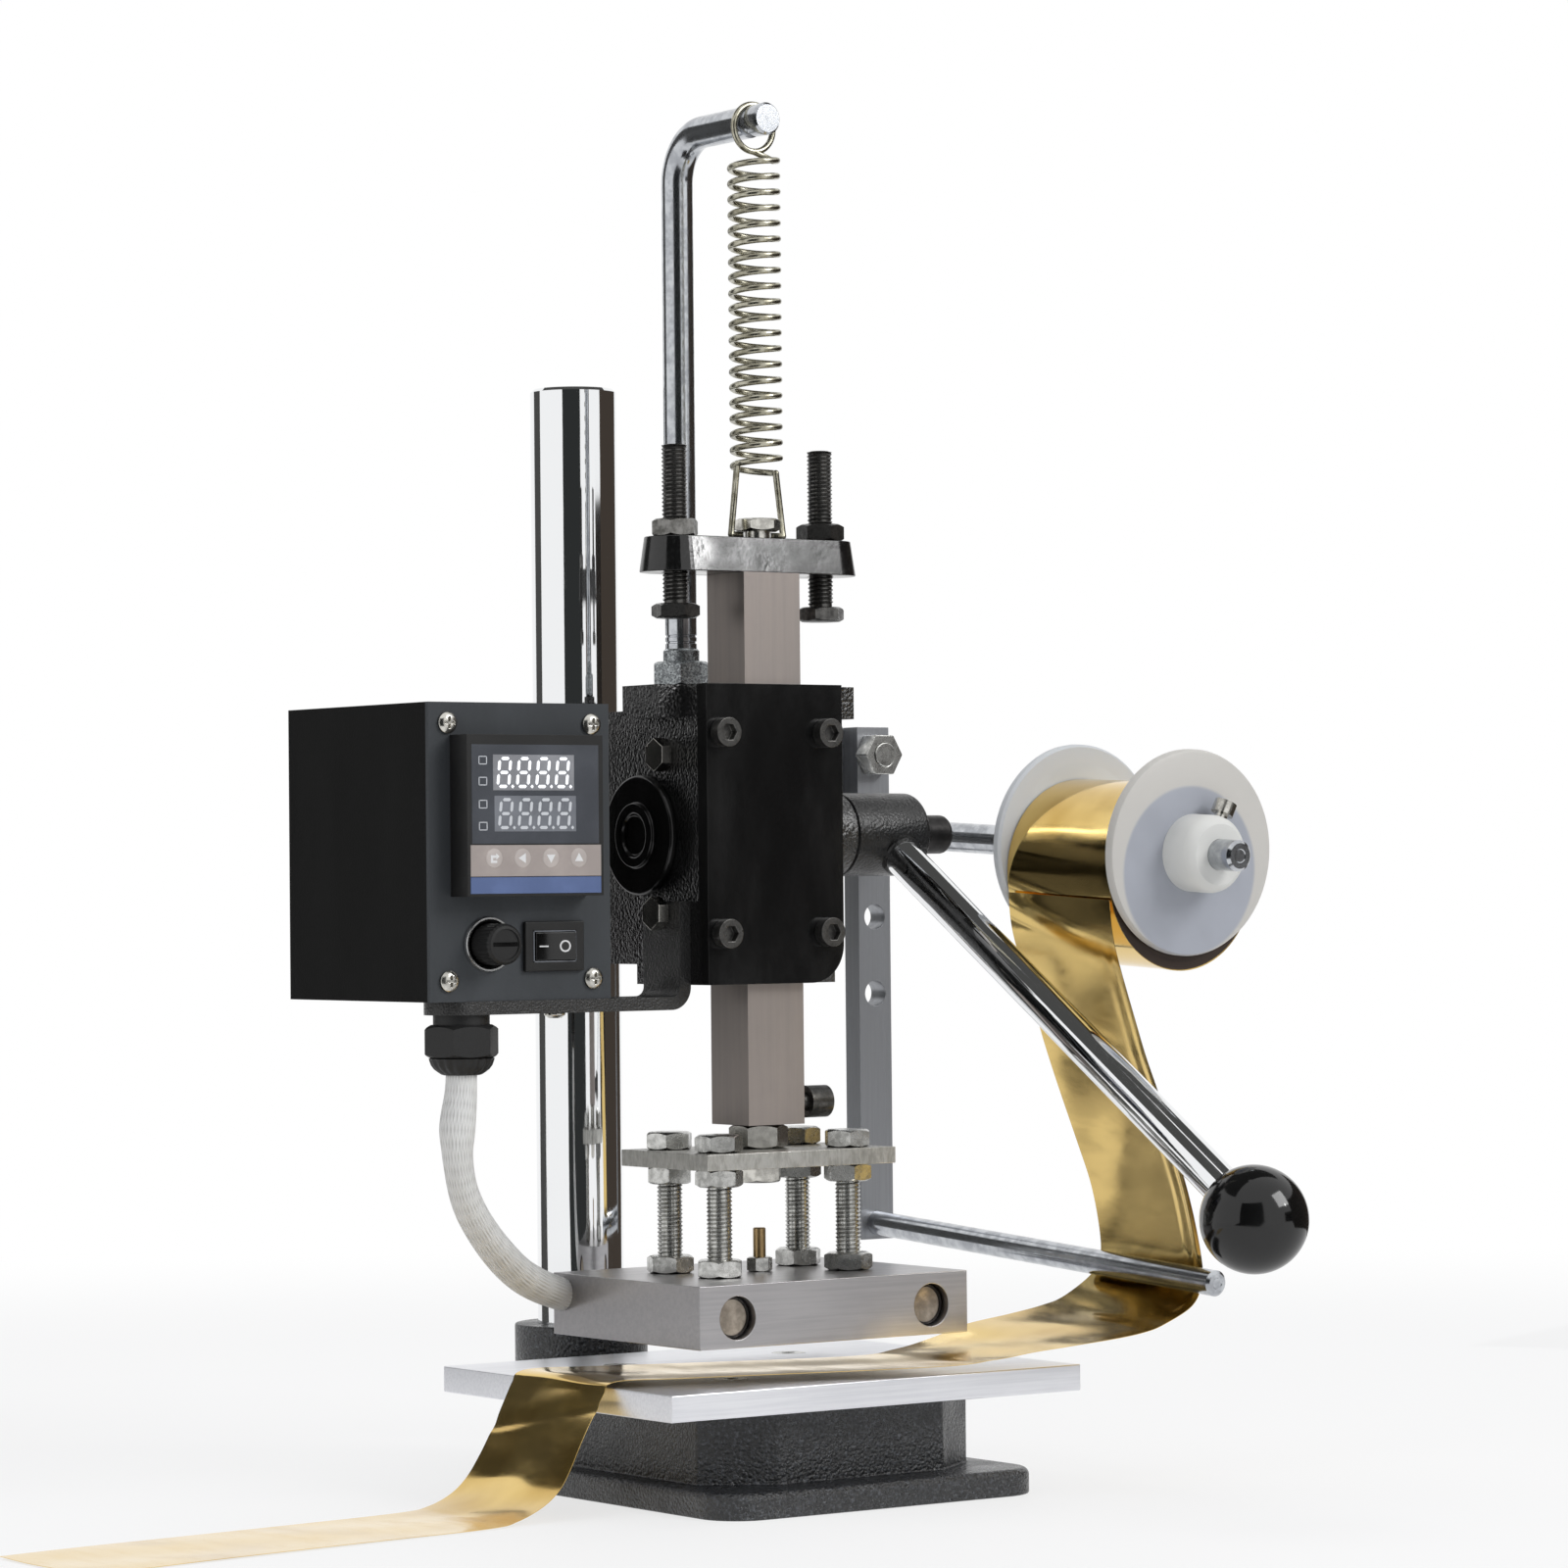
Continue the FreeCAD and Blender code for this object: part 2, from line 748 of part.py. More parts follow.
def thread_shape(radius, length, pitch, depth):
    """A threaded stretch from z = 0 up, as closely spaced ridges."""
    ridges = max(1, int(length / pitch))
    step = length / ridges
    points = [Vector(0, 0, 0), Vector(radius - depth, 0, 0)]
    for ridge in range(ridges):
        points.append(Vector(radius, 0, (ridge + 0.5) * step))
        points.append(Vector(radius - depth, 0, (ridge + 1) * step))
    points.append(Vector(0, 0, length))
    face = Part.Face(Part.makePolygon(points + points[:1]))
    return face.revolve(Vector(), Vector(0, 0, 1), 360)


def threaded_bolt(name, head, length):
    """An M8 hexagon bolt threaded over its whole shank; the head stands on z = 0."""
    cap = hexagon(name + "_head", "bolt_flats", head)
    ridges = thread_shape(size("bolt_radius"), size(length), size("bolt_pitch"),
                          size("thread_depth"))
    stem = feature(name + "_thread", ridges)
    place(stem, "0", "0", "-(%s)" % length)
    return fuse(name, cap, stem)


def hex_nut(name, flats, thick, bore):
    """A hexagon nut standing on z = 0."""
    return cut(name, hexagon(name + "_blank", flats, thick),
               cylinder(name + "_bore", bore, thick))


# ---------------------------------------------------------------------------------------------
# Base, column and table
# ---------------------------------------------------------------------------------------------

def mirrored_outline(half):
    """Close an outline by mirroring its right half, given front to back, in the YZ plane."""
    left = [("-(%s)" % x, y) for x, y in reversed(half)]
    return half + left


def make_base():
    """Cast foot, pedestal under the table and the boss that holds the column."""
    body = new_body("base")
    foot = mirrored_outline([
        ("foot_half_width", "-foot_front"), ("foot_half_width", "foot_shoulder"),
        ("foot_neck_half", "foot_shoulder + foot_half_width - foot_neck_half"),
        ("foot_neck_half", "column_setback + foot_margin")])
    pad(body, sketch(body, "XY_Plane", "0", foot), "foot_thick")
    soften(body, "Fillet", "foot_corner", upright)
    level = size("foot_thick")
    soften(body, "Fillet", "foot_edge",
           lambda a, b: abs(a.z - level) < SAME and abs(b.z - level) < SAME)
    pedestal = mirrored_outline([
        ("pedestal_half_width - pedestal_chamfer_x", "-pedestal_front"),
        ("pedestal_half_width", "pedestal_chamfer_y - pedestal_front"),
        ("pedestal_half_width", "pedestal_shoulder"),
        ("pedestal_neck_half", "pedestal_shoulder + pedestal_half_width - pedestal_neck_half"),
        ("pedestal_neck_half", "column_setback + pedestal_margin")])
    pad(body, sketch(body, "XY_Plane", "0", pedestal), "pedestal_height")
    boss = sketch(body, "XY_Plane", "0", circles=[("0", "column_setback", "boss_radius")])
    pad(body, boss, "boss_height")
    bore = sketch(body, "XY_Plane", "boss_height",
                  circles=[("0", "column_setback", "column_radius")])
    pocket(body, bore, "boss_height - bore_floor")
    drill = sketch(body, "XY_Plane", "pedestal_height", circles=table_screw_circles())
    pocket(body, drill, "table_screw_length - table_thick + seat_gap")
    node(body, "base_casting")


def table_screw_places():
    """The table's four screw places."""
    return [("%s * table_screw_x" % x, "%s * table_screw_y" % y)
            for x in ("-1", "1") for y in ("-1", "1")]


def table_screw_circles():
    """Tapped holes under the table's screws."""
    return [(x, y, "table_screw_shank") for x, y in table_screw_places()]


def make_column():
    """Ground and plated column, bevelled at its top."""
    body = turned("pillar", [
        ("0", "bore_floor"), ("column_radius", "bore_floor"),
        ("column_radius", "column_top - column_bevel"),
        ("column_radius - column_bevel", "column_top"), ("0", "column_top")])
    place(body, "0", "column_setback", "0")
    node(body, "column")


def countersunk(name, x, y, shank):
    """A countersunk screw shape whose head lies flush with the table's top."""
    body = turned(name, [
        ("0", "-table_screw_length"), (shank, "-table_screw_length"),
        (shank, "%s - table_screw_head" % shank), ("table_screw_head", "0"), ("0", "0")])
    return place(body, x, y, "table_top")


def make_table():
    """Flat aluminium table and its four countersunk screws."""
    plate = box("table_plate", "table_width", "table_depth", "table_thick",
                "-table_width / 2", "-table_depth / 2", "pedestal_height")
    screws = []
    holes = []
    for number, (x, y) in enumerate(table_screw_places(), start=1):
        holes.append(countersunk("table_hole%d" % number, x, y, "table_screw_shank"))
        blank = countersunk("table_screw%d" % number, x, y, "table_screw_shank")
        socket = hexagon("table_socket%d" % number, "table_screw_socket",
                         "table_screw_head / 2", x, y, "table_top - table_screw_head / 2")
        screws.append(cut("table_fastener%d" % number, blank, socket))
    node(cut("table", plate, *holes), "work_table")
    node(group("table_fasteners", screws), "table_screws")


# ---------------------------------------------------------------------------------------------
# Head casting and what is bolted to it
# ---------------------------------------------------------------------------------------------

def make_head_blank():
    """The outer form of the head casting."""
    front = span("head_front", ("-head_left", "head_right"), ("-channel_front", "head_back"),
                 ("head_bottom", "head_top"))
    ears = span("head_ears", ("-ear_half_span", "ear_half_span"), ("-ear_front", "ear_back"),
                ("head_top - ear_thick", "head_top"))
    arm = span("head_arm", ("-arm_half_width", "head_right"), ("head_back", "column_setback"),
               ("arm_bottom", "arm_top"))
    clamp = cylinder("head_clamp", "clamp_radius", "arm_top - arm_bottom", "0",
                     "column_setback", "arm_bottom")
    ear_depth = "clamp_radius + clamp_ear_depth"
    clamp_ears = span("head_clamp_ears", ("-clamp_ear_half", "clamp_ear_half"),
                      ("column_setback", "column_setback + %s" % ear_depth),
                      ("arm_bottom", "arm_top"))
    rod_pad = cylinder("head_rod_pad", "rod_pad_radius", "rod_pad_top - arm_bottom", "0",
                       "spring_rod_y", "arm_bottom")
    bearing = cylinder("head_bearing", "bearing_radius", "bearing_end - head_right + overcut",
                       "head_right - overcut", "pinion_y", "pinion_height", "X")
    lug = span("head_lug", ("0", "clamp_radius + lug_length"),
               ("lug_front", "lug_front + lug_depth"), ("lug_bottom", "lug_top"))
    return fuse("head_blank", front, ears, arm, clamp, clamp_ears, rod_pad, bearing, lug)


def head_cavities():
    """Everything that is bored or machined out of the head casting."""
    tools = [
        span("ram_channel", ("-channel_left", "channel_right"),
             ("-channel_front - overcut", "channel_back"),
             ("head_bottom - overcut", "head_top + overcut")),
        cylinder("column_bore", "column_hole", "arm_top - arm_bottom + 2 * overcut", "0",
                 "column_setback", "arm_bottom - overcut"),
        span("clamp_slot", ("-clamp_slit / 2", "clamp_slit / 2"),
             ("column_setback", "column_setback + clamp_radius + clamp_ear_depth + overcut"),
             ("arm_bottom - overcut", "arm_top + overcut")),
        cylinder("shaft_bore", "shaft_hole", "head_left + bearing_end + 2 * overcut",
                 "-head_left - overcut", "pinion_y", "pinion_height", "X"),
        cylinder("pinion_room", "pinion_tip + loose_fit", "pinion_width + 2 * loose_fit",
                 "-pinion_width / 2 - loose_fit", "pinion_y", "pinion_height", "X"),
        cylinder("rod_hole", "spring_rod_radius + snug_fit",
                 "rod_pad_top - spring_rod_bottom + overcut", "0", "spring_rod_y",
                 "spring_rod_bottom"),
    ]
    for number, (x, z) in enumerate(cover_screw_places(), start=1):
        depth = "cover_screw_length - cover_thick + seat_gap"
        tools.append(cylinder("cover_tap%d" % number, "cover_screw_shank", depth, x,
                              "-channel_front", z, "Y"))
    for number, (y, z, _) in enumerate(gib_bolt_places(), start=1):
        tools.append(cylinder("gib_tap%d" % number, "gib_bolt_shank", "head_left", "-head_left",
                              y, z, "X"))
    for number, z in enumerate(("clamp_bolt_low", "clamp_bolt_high"), start=1):
        tools.append(cylinder("clamp_hole%d" % number, "bolt_radius",
                              "2 * clamp_ear_half + 2 * overcut",
                              "-clamp_ear_half - overcut", "clamp_bolt_y", z, "X"))
    for number, x in enumerate(("arm_bolt_near", "arm_bolt_far"), start=1):
        tools.append(cylinder("lug_hole%d" % number, "gib_bolt_shank", "lug_depth + 2 * overcut", x,
                              "lug_front - overcut", "arm_bolt_height", "Y"))
    return tools


def make_head():
    """The head casting: ram guide in front, column clamp behind."""
    node(cut("head", make_head_blank(), *head_cavities()), "head_casting")


def cover_screw_places():
    """X and Z of the four cover screws."""
    return [(x, z) for x in ("-cover_screw_left", "cover_screw_right")
            for z in ("cover_screw_low", "cover_screw_high")]


def gib_bolt_places():
    """Y and Z of the gib bolts, and the face that each head seats on."""
    return [("gib_bolt_high_y", "gib_bolt_high", "head_left"),
            ("gib_bolt_low_y", "gib_bolt_low", "bracket_face")]


def make_cover():
    """Cover plate that closes the ram's channel, with one rounded corner, and its screws."""
    body = new_body("cover")
    outline = [("-head_left", "head_bottom"), ("head_right", "head_bottom"),
               ("head_right", "head_top"), ("-head_left", "head_top")]
    holes = [(x, z, "cover_screw_shank") for x, z in cover_screw_places()]
    pad(body, sketch(body, "XZ_Plane", "channel_front", outline, holes), "cover_thick")
    right, low = size("head_right"), size("head_bottom")
    soften(body, "Fillet", "cover_corner",
           lambda a, b: abs(a.x - right) + abs(b.x - right) < SAME
           and abs(a.z - low) + abs(b.z - low) < SAME)
    node(body, "front_cover")
    screws = []
    for number, (x, z) in enumerate(cover_screw_places(), start=1):
        screw = socket_screw("cover_screw%d" % number, "cover_screw_head",
                             "cover_screw_head_tall", "cover_screw_shank", "cover_screw_length")
        screws.append(place(screw, x, "-cover_front", z, "-Y"))
    node(group("cover_fasteners", screws), "cover_screws")


def make_gib():
    """Gib strip beside the ram and the two bolts that set it."""
    strip = span("gib", ("-channel_left + running_fit", "-ram_half - running_fit"),
                 ("-ram_back", "ram_back"), ("head_bottom + overcut", "head_top - overcut"))
    node(strip, "gib_strip")
    bolts = []
    for number, (y, z, face) in enumerate(gib_bolt_places(), start=1):
        bolt = hex_bolt("gib_bolt%d" % number, "gib_bolt_flats", "gib_bolt_head",
                        "gib_bolt_shank", "%s - channel_left" % face)
        bolts.append(place(bolt, "-(%s)" % face, y, z, "-X"))
    node(group("gib_fasteners", bolts), "gib_bolts")


def make_bearing_cap():
    """Round cap with a raised ring over the left end of the lever shaft."""
    ring = "cap_thick + cap_ring_thick"
    cap = turned("cap", [("0", "0"), ("cap_radius", "0"), ("cap_radius", "cap_thick - cap_edge"),
                         ("cap_radius - cap_edge", "cap_thick"),
                         ("cap_ring_radius", "cap_thick"), ("cap_ring_radius", ring),
                         ("cap_dish_radius", ring), ("cap_dish_floor", "cap_thick"),
                         ("0", "cap_thick")])
    place(cap, "-head_left", "pinion_y", "pinion_height", "-X")
    low = cylinder("cap_notch", "gib_bolt_flats / sqrt(3) + loose_fit", "head_left",
                   "-cap_face - cap_ring_thick - overcut", "gib_bolt_high_y",
                   "gib_bolt_high", "X")
    strap = span("cap_strap_room",
                 ("-cap_face - cap_ring_thick - overcut", "-head_left + overcut"),
                 ("-bracket_front - loose_fit", "bracket_depth - bracket_front + loose_fit"),
                 ("bracket_level", "bracket_top + loose_fit"))
    node(cut("cap_trimmed", cap, low, strap), "bearing_cap")


def make_clamp_bolts():
    """Two bolts that close the head's clamp on the column."""
    bolts = []
    for number, z in enumerate(("clamp_bolt_low", "clamp_bolt_high"), start=1):
        bolt = hex_bolt("clamp_bolt%d" % number, "bolt_flats", "bolt_head", "bolt_radius",
                        "2 * clamp_ear_half + nut_thick + bolt_over")
        bolts.append(place(bolt, "clamp_ear_half", "clamp_bolt_y", z, "X"))
        nut = hex_nut("clamp_nut%d" % number, "bolt_flats", "nut_thick", "bolt_radius")
        bolts.append(place(nut, "-clamp_ear_half", "clamp_bolt_y", z, "-X"))
    node(group("clamp_fasteners", bolts), "column_clamp_bolts")


# ---------------------------------------------------------------------------------------------
# Ram, crossbar and the pieces that hang from the ram
# ---------------------------------------------------------------------------------------------

def rack_gaps():
    """The gaps between the rack's teeth, cut into the ram's back."""
    module = size("rack_module")
    pitch = math.pi * module
    slope = math.tan(PRESSURE_ANGLE)
    line, centre = size("rack_line"), size("pinion_height")
    root = line - DEDENDUM * module
    tip = size("ram_back + overcut")
    half = size("ram_half + overcut")
    half_gap = pitch / 4 + size("rack_backlash") / 2
    gaps = []
    for number in range(-int(size("rack_teeth_below")), int(size("rack_teeth_above")) + 1):
        middle = centre + number * pitch
        low = half_gap - (line - root) * slope
        high = half_gap + (tip - line) * slope
        corners = [Vector(-half, root, middle - low), Vector(-half, root, middle + low),
                   Vector(-half, tip, middle + high), Vector(-half, tip, middle - high)]
        face = Part.Face(Part.makePolygon(corners + corners[:1]))
        gaps.append(face.extrude(Vector(2 * half, 0, 0)))
    return Part.makeCompound(gaps)


def make_ram():
    """Square ram with a rack on its back and threaded holes at both ends."""
    bar = span("ram_bar", ("-ram_half", "ram_half"), ("-ram_back", "ram_back"),
               ("ram_bottom", "ram_top"))
    tools = [
        feature("rack_gaps", rack_gaps()),
        cylinder("ram_top_hole", "bolt_radius", "ram_top - top_bolt_seat + top_bolt_length",
                 "0", "-spring_front", "top_bolt_seat - top_bolt_length"),
        cylinder("ram_low_hole", "bolt_radius", "hanging_bolt_reach", "0", "0", "ram_bottom"),
        cylinder("ram_side_hole", "clamp_screw_shank", "ram_half + overcut", "0", "0",
                 "clamp_screw_height", "X"),
    ]
    node(cut("ram_rack", bar, *tools), "ram")


def make_crossbar():
    """Oval bar on top of the ram that carries the stop bolts."""
    middle = span("crossbar_middle", ("-stop_x", "stop_x"),
                  ("crossbar_y - crossbar_radius", "crossbar_y + crossbar_radius"),
                  ("ram_top", "crossbar_top"))
    ends = [cylinder("crossbar_end%d" % side, "crossbar_radius", "crossbar_thick",
                     "%d * stop_x" % side, "crossbar_y", "ram_top") for side in (-1, 1)]
    holes = [cylinder("crossbar_hole%d" % side, "bolt_radius + running_fit",
                      "crossbar_thick", "%d * stop_x" % side, "crossbar_y", "ram_top")
             for side in (-1, 1)]
    holes.append(cylinder("crossbar_centre", "bolt_radius", "crossbar_thick", "0",
                          "-spring_front", "ram_top"))
    node(cut("crossbar_bored", fuse("crossbar_blank", middle, *ends), *holes), "crossbar")


def make_stop_bolts():
    """Stop bolts that hang from the crossbar with their heads down."""
    for side, label in ((-1, "stop_bolt_left"), (1, "stop_bolt_right")):
        bolt = threaded_bolt(label + "_bolt", "stop_head", "stop_length")
        place(bolt, "%d * stop_x" % side, "crossbar_y", "stop_seat", "-Z")
        node(bolt, label)


def make_ram_bolts():
    """The bolt that holds the crossbar, and the bolt and lock nut that hang the plate."""
    top = hex_bolt("top_bolt", "bolt_flats", "top_bolt_head", "bolt_radius",
                   "top_bolt_length")
    place(top, "0", "-spring_front", "top_bolt_seat")
    low = hex_bolt("hanging_bolt", "bolt_flats", "bolt_head", "bolt_radius",
                   "ram_bottom - plate_level + hanging_bolt_reach")
    place(low, "0", "0", "plate_level", "-Z")
    nut = hex_nut("hanging_nut", "hanging_nut_flats", "hanging_nut_thick", "bolt_radius")
    place(nut, "0", "0", "plate_top")
    node(group("ram_fasteners", [top, low, nut]), "ram_bolts")


def hanger_places():
    """X and Y of the four bolts between the plate and the block."""
    return [("%s * hanger_x" % x, "%s * hanger_y" % y) for x in ("-1", "1") for y in ("-1", "1")]


def make_suspension():
    """Plate under the ram, its four bolts, and every M8 nut that moves with the ram."""
    plate = box("hanger_plate", "plate_width", "plate_depth", "plate_thick",
                "-plate_width / 2", "-plate_depth / 2", "plate_level")
    holes = [cylinder("hanger_hole0", "bolt_radius", "plate_thick", "0", "0", "plate_level")]
    bolts = []
    nuts = []
    reach = "plate_top - block_top + hanger_depth"
    for number, (x, y) in enumerate(hanger_places(), start=1):
        holes.append(cylinder("hanger_hole%d" % number, "bolt_radius", "plate_thick", x, y,
                              "plate_level"))
        bolt = threaded_bolt("hanger_bolt%d" % number, "bolt_head", reach)
        bolts.append(place(bolt, x, y, "plate_top"))
        for level, tag in (("plate_level - nut_thick", "high"), ("block_top", "low")):
            nut = hex_nut("hanger_nut_%s%d" % (tag, number), "bolt_flats", "nut_thick",
                          "bolt_radius")
            nuts.append(place(nut, x, y, level))
    for side in (-1, 1):
        nut = hex_nut("stop_nut%d" % side, "bolt_flats", "nut_thick",
                      "bolt_radius + running_fit")
        nuts.append(place(nut, "%d * stop_x" % side, "crossbar_y", "crossbar_top"))
    node(cut("hanger_bored", plate, *holes), "suspension_plate")
    node(group("hanger_bolts", bolts), "suspension_bolts")
    node(group("ram_nuts", nuts), "lock_nuts")


def make_block():
    """Heating block with its two cartridge heaters and the temperature probe."""
    plate = box("block_plate", "block_width", "block_depth", "block_thick", "-block_width / 2",
                "-block_depth / 2", "block_bottom")
    heaters = []
    holes = []
    level = "block_bottom + heater_rise"
    for side in (-1, 1):
        x = "%d * heater_x" % side
        holes.append(cylinder("heater_hole%d" % side, "heater_radius", "block_depth", x,
                              "-block_depth / 2", level, "Y"))
        heaters.append(cylinder("heater%d" % side, "heater_radius",
                                "block_depth - 2 * heater_recess", x,
                                "heater_recess - block_depth / 2", level, "Y"))
    for number, (x, y) in enumerate(hanger_places(), start=1):
        holes.append(cylinder("block_tap%d" % number, "bolt_radius", "hanger_depth + overcut", x, y,
                              "block_top - hanger_depth"))
    holes.append(cylinder("probe_tap", "probe_pin_radius", "probe_depth", "0", "0",
                          "block_top - probe_depth"))
    node(cut("block_bored", plate, *holes), "heating_block")
    node(group("heaters", heaters), "heater_cartridges")
    base = hexagon("probe_base", "probe_base_flats", "probe_base_tall", "0", "0", "block_top")
    pin = cylinder("probe_pin", "probe_pin_radius", "probe_pin_top - block_top + probe_depth",
                   "0", "0", "block_top - probe_depth")
    node(fuse("probe", base, pin), "thermocouple_probe")


def make_clamp_screw():
    """Socket screw in the ram's side that locks the hanging bolt."""
    reach = "clamp_screw_end - clamp_screw_head_tall - bolt_radius - seat_gap"
    screw = socket_screw("side_screw", "clamp_screw_head", "clamp_screw_head_tall",
                         "clamp_screw_shank - running_fit", reach)
    place(screw, "clamp_screw_end - clamp_screw_head_tall", "0", "clamp_screw_height", "X")
    node(screw, "ram_clamp_screw")


# ---------------------------------------------------------------------------------------------
# Pinion, hub, lever and knob
# ---------------------------------------------------------------------------------------------

def involute_point(base, roll):
    """A point of the involute of a circle, after unrolling by an angle."""
    return (base * (math.cos(roll) + roll * math.sin(roll)),
            base * (math.sin(roll) - roll * math.cos(roll)))


def tooth_flank(base, root, tip, offset):
    """One flank of a tooth as (radius, angle) points from the root to the tip."""
    flank = [(root, -offset)]
    first = math.sqrt(max(0.0, (max(root, base) / base) ** 2 - 1))
    last = math.sqrt((tip / base) ** 2 - 1)
    for number in range(FLANK_STEPS + 1):
        roll = first + (last - first) * number / FLANK_STEPS
        x, y = involute_point(base, roll)
        flank.append((math.hypot(x, y), math.atan2(y, x) - offset))
    return flank


def pinion_outline():
    """The pinion's outline about its own axis, with one tooth along +X."""
    module, teeth = size("rack_module"), int(size("pinion_teeth"))
    pitch = module * teeth / 2
    base = pitch * math.cos(PRESSURE_ANGLE)
    offset = math.pi / (2 * teeth) + math.tan(PRESSURE_ANGLE) - PRESSURE_ANGLE
    flank = tooth_flank(base, pitch - DEDENDUM * module, pitch + ADDENDUM * module, offset)
    points = []
    for tooth in range(teeth):
        turn = 2 * math.pi * tooth / teeth
        for radius, angle in flank + [(r, -a) for r, a in reversed(flank)]:
            points.append(Vector(radius * math.cos(turn + angle),
                                 radius * math.sin(turn + angle), 0))
    return points


def make_pinion():
    """Pinion on the lever shaft, a tooth of it pointing at the rack."""
    outline = pinion_outline()
    face = Part.Face(Part.makePolygon(outline + outline[:1]))
    gear = feature("pinion_gear", face.extrude(Vector(0, 0, size("pinion_width"))))
    gear.Placement = Placement(Vector(), Rotation(Vector(0, -1, 0), Vector(0, 0, -1),
                                                  Vector(1, 0, 0), "ZYX"))
    for axis, text in zip("xyz", ("-pinion_width / 2", "pinion_y", "pinion_height")):
        gear.setExpression("Placement.Base." + axis, formula(text))
    shaft = cylinder("shaft_main", "shaft_radius", "shaft_left + hub_end", "-shaft_left",
                     "pinion_y", "pinion_height", "X")
    stub = cylinder("shaft_stub", "shaft_end_radius", "shaft_end - hub_end", "hub_end",
                    "pinion_y", "pinion_height", "X")
    node(fuse("pinion_shaft_joined", gear, shaft, stub), "pinion_shaft")


def aim_lever(thing, along):
    """Put a thing on the lever's line, at a distance from the shaft's axis."""
    angle = "90 + lever_angle"
    thing.Placement = Placement(Vector(), Rotation(Vector(1, 0, 0), size(angle)))
    thing.setExpression("Placement.Rotation.Angle", formula(angle))
    thing.setExpression("Placement.Base.x", formula("lever_x"))
    thing.setExpression("Placement.Base.y",
                        formula("pinion_y - (%s) * cos(lever_angle * 1deg)" % along))
    thing.setExpression("Placement.Base.z",
                        formula("pinion_height - (%s) * sin(lever_angle * 1deg)" % along))
    return thing


def make_lever():
    """Hub on the shaft, the lever that screws into it, and the ball knob."""
    hub = cylinder("hub_drum", "hub_radius", "hub_end - hub_start", "hub_start", "pinion_y",
                   "pinion_height", "X")
    shaft_room = cylinder("hub_bore", "shaft_radius", "hub_end - hub_start", "hub_start",
                          "pinion_y", "pinion_height", "X")
    lever_room = aim_lever(cylinder("hub_tap", "lever_radius", "hub_radius"), "lever_seat")
    node(cut("hub", hub, shaft_room, lever_room), "lever_hub")
    bar = aim_lever(cylinder("lever_bar", "lever_radius", "lever_length - lever_seat"),
                    "lever_seat")
    node(bar, "lever")
    ball = DOC.addObject("Part::Sphere", "knob_ball")
    bind(ball, Radius="knob_radius")
    flat = box("knob_base", "2 * knob_radius", "2 * knob_radius", "knob_radius",
               "-knob_radius", "-knob_radius", "-2 * knob_radius + knob_flat")
    socket = cylinder("knob_hole", "lever_radius", "knob_socket", z="-knob_radius")
    knob = cut("knob", ball, flat, socket)
    aim_lever(knob, "lever_length - knob_socket + knob_radius")
    node(knob, "ball_knob")


# ---------------------------------------------------------------------------------------------
# Spring rod and return spring
# ---------------------------------------------------------------------------------------------

def spring_rod_path():
    """Centre line of the bent rod: up, round the bend and forward."""
    y, top, bend = size("spring_rod_y"), size("spring_rod_height"), size("spring_rod_bend")
    foot = Vector(0, y, size("spring_rod_bottom"))
    low = Vector(0, y, top - bend)
    middle = Vector(0, y - bend * (1 - math.cos(math.pi / 4)),
                    top - bend * (1 - math.sin(math.pi / 4)))
    high = Vector(0, y - bend, top)
    end = Vector(0, -size("spring_rod_front"), top)
    return Part.Wire([Part.LineSegment(foot, low).toShape(), Part.Arc(low, middle, high).toShape(),
                      Part.LineSegment(high, end).toShape()])


def make_spring_rod():
    """Plated rod that holds the spring over the ram, with a collar and a nut at its foot."""
    radius = size("spring_rod_radius")
    foot = Vector(0, size("spring_rod_y"), size("spring_rod_bottom"))
    profile = Part.Wire(Part.makeCircle(radius, foot, Vector(0, 0, 1)))
    rod = spring_rod_path().makePipeShell([profile], True, False)
    ring = cylinder("rod_groove_outer", "spring_rod_radius + overcut",
                    "2 * spring_wire + seat_gap",
                    "0", "-spring_front - spring_wire - seat_gap / 2", "spring_rod_height", "Y")
    core = cylinder("rod_groove_inner", "spring_rod_radius - spring_rod_groove",
                    "2 * spring_wire + seat_gap", "0",
                    "-spring_front - spring_wire - seat_gap / 2", "spring_rod_height", "Y")
    node(cut("rod_grooved", feature("rod_pipe", rod), cut("rod_groove", ring, core)),
         "spring_rod")
    nut = hex_nut("rod_nut_body", "rod_nut_flats", "rod_nut_thick",
                  "spring_rod_radius + snug_fit")
    place(nut, "0", "spring_rod_y", "rod_pad_top")
    collar = cylinder("rod_collar_body", "spring_rod_radius + rod_collar_wall",
                      "rod_collar_tall", "0", "spring_rod_y", "rod_pad_top + rod_nut_thick")
    bore = cylinder("rod_collar_bore", "spring_rod_radius + snug_fit",
                    "rod_collar_tall + 2 * overcut", "0", "spring_rod_y",
                    "rod_pad_top + rod_nut_thick - overcut")
    node(fuse("rod_nut_joined", nut, cut("rod_collar", collar, bore)), "spring_rod_nut")


def wire_run(start, end, radius):
    """A round wire between two points, with a ball at its far end."""
    line = end - start
    run = Part.makeCylinder(radius, line.Length, start, line)
    return run.fuse(joint_ball(radius, end))


def joint_ball(radius, place_at):
    """The small swelling where two runs of wire meet."""
    return Part.makeSphere(WIRE_JOINT * radius, place_at)


def spring_eye():
    """The eye over the rod and the wire that leads down to the first coil."""
    wire, eye = size("spring_wire"), size("spring_eye")
    groove = size("spring_rod_top") - size("spring_rod_groove")
    centre = Vector(0, 0, groove + size("seat_gap") + wire - eye)
    ring = Part.makeTorus(eye, wire, centre, Vector(0, 1, 0))
    start = Vector(size("spring_radius"), 0, size("spring_high"))
    return [ring, joint_ball(wire, start),
            wire_run(start, centre + Vector(0, 0, -eye), wire)]


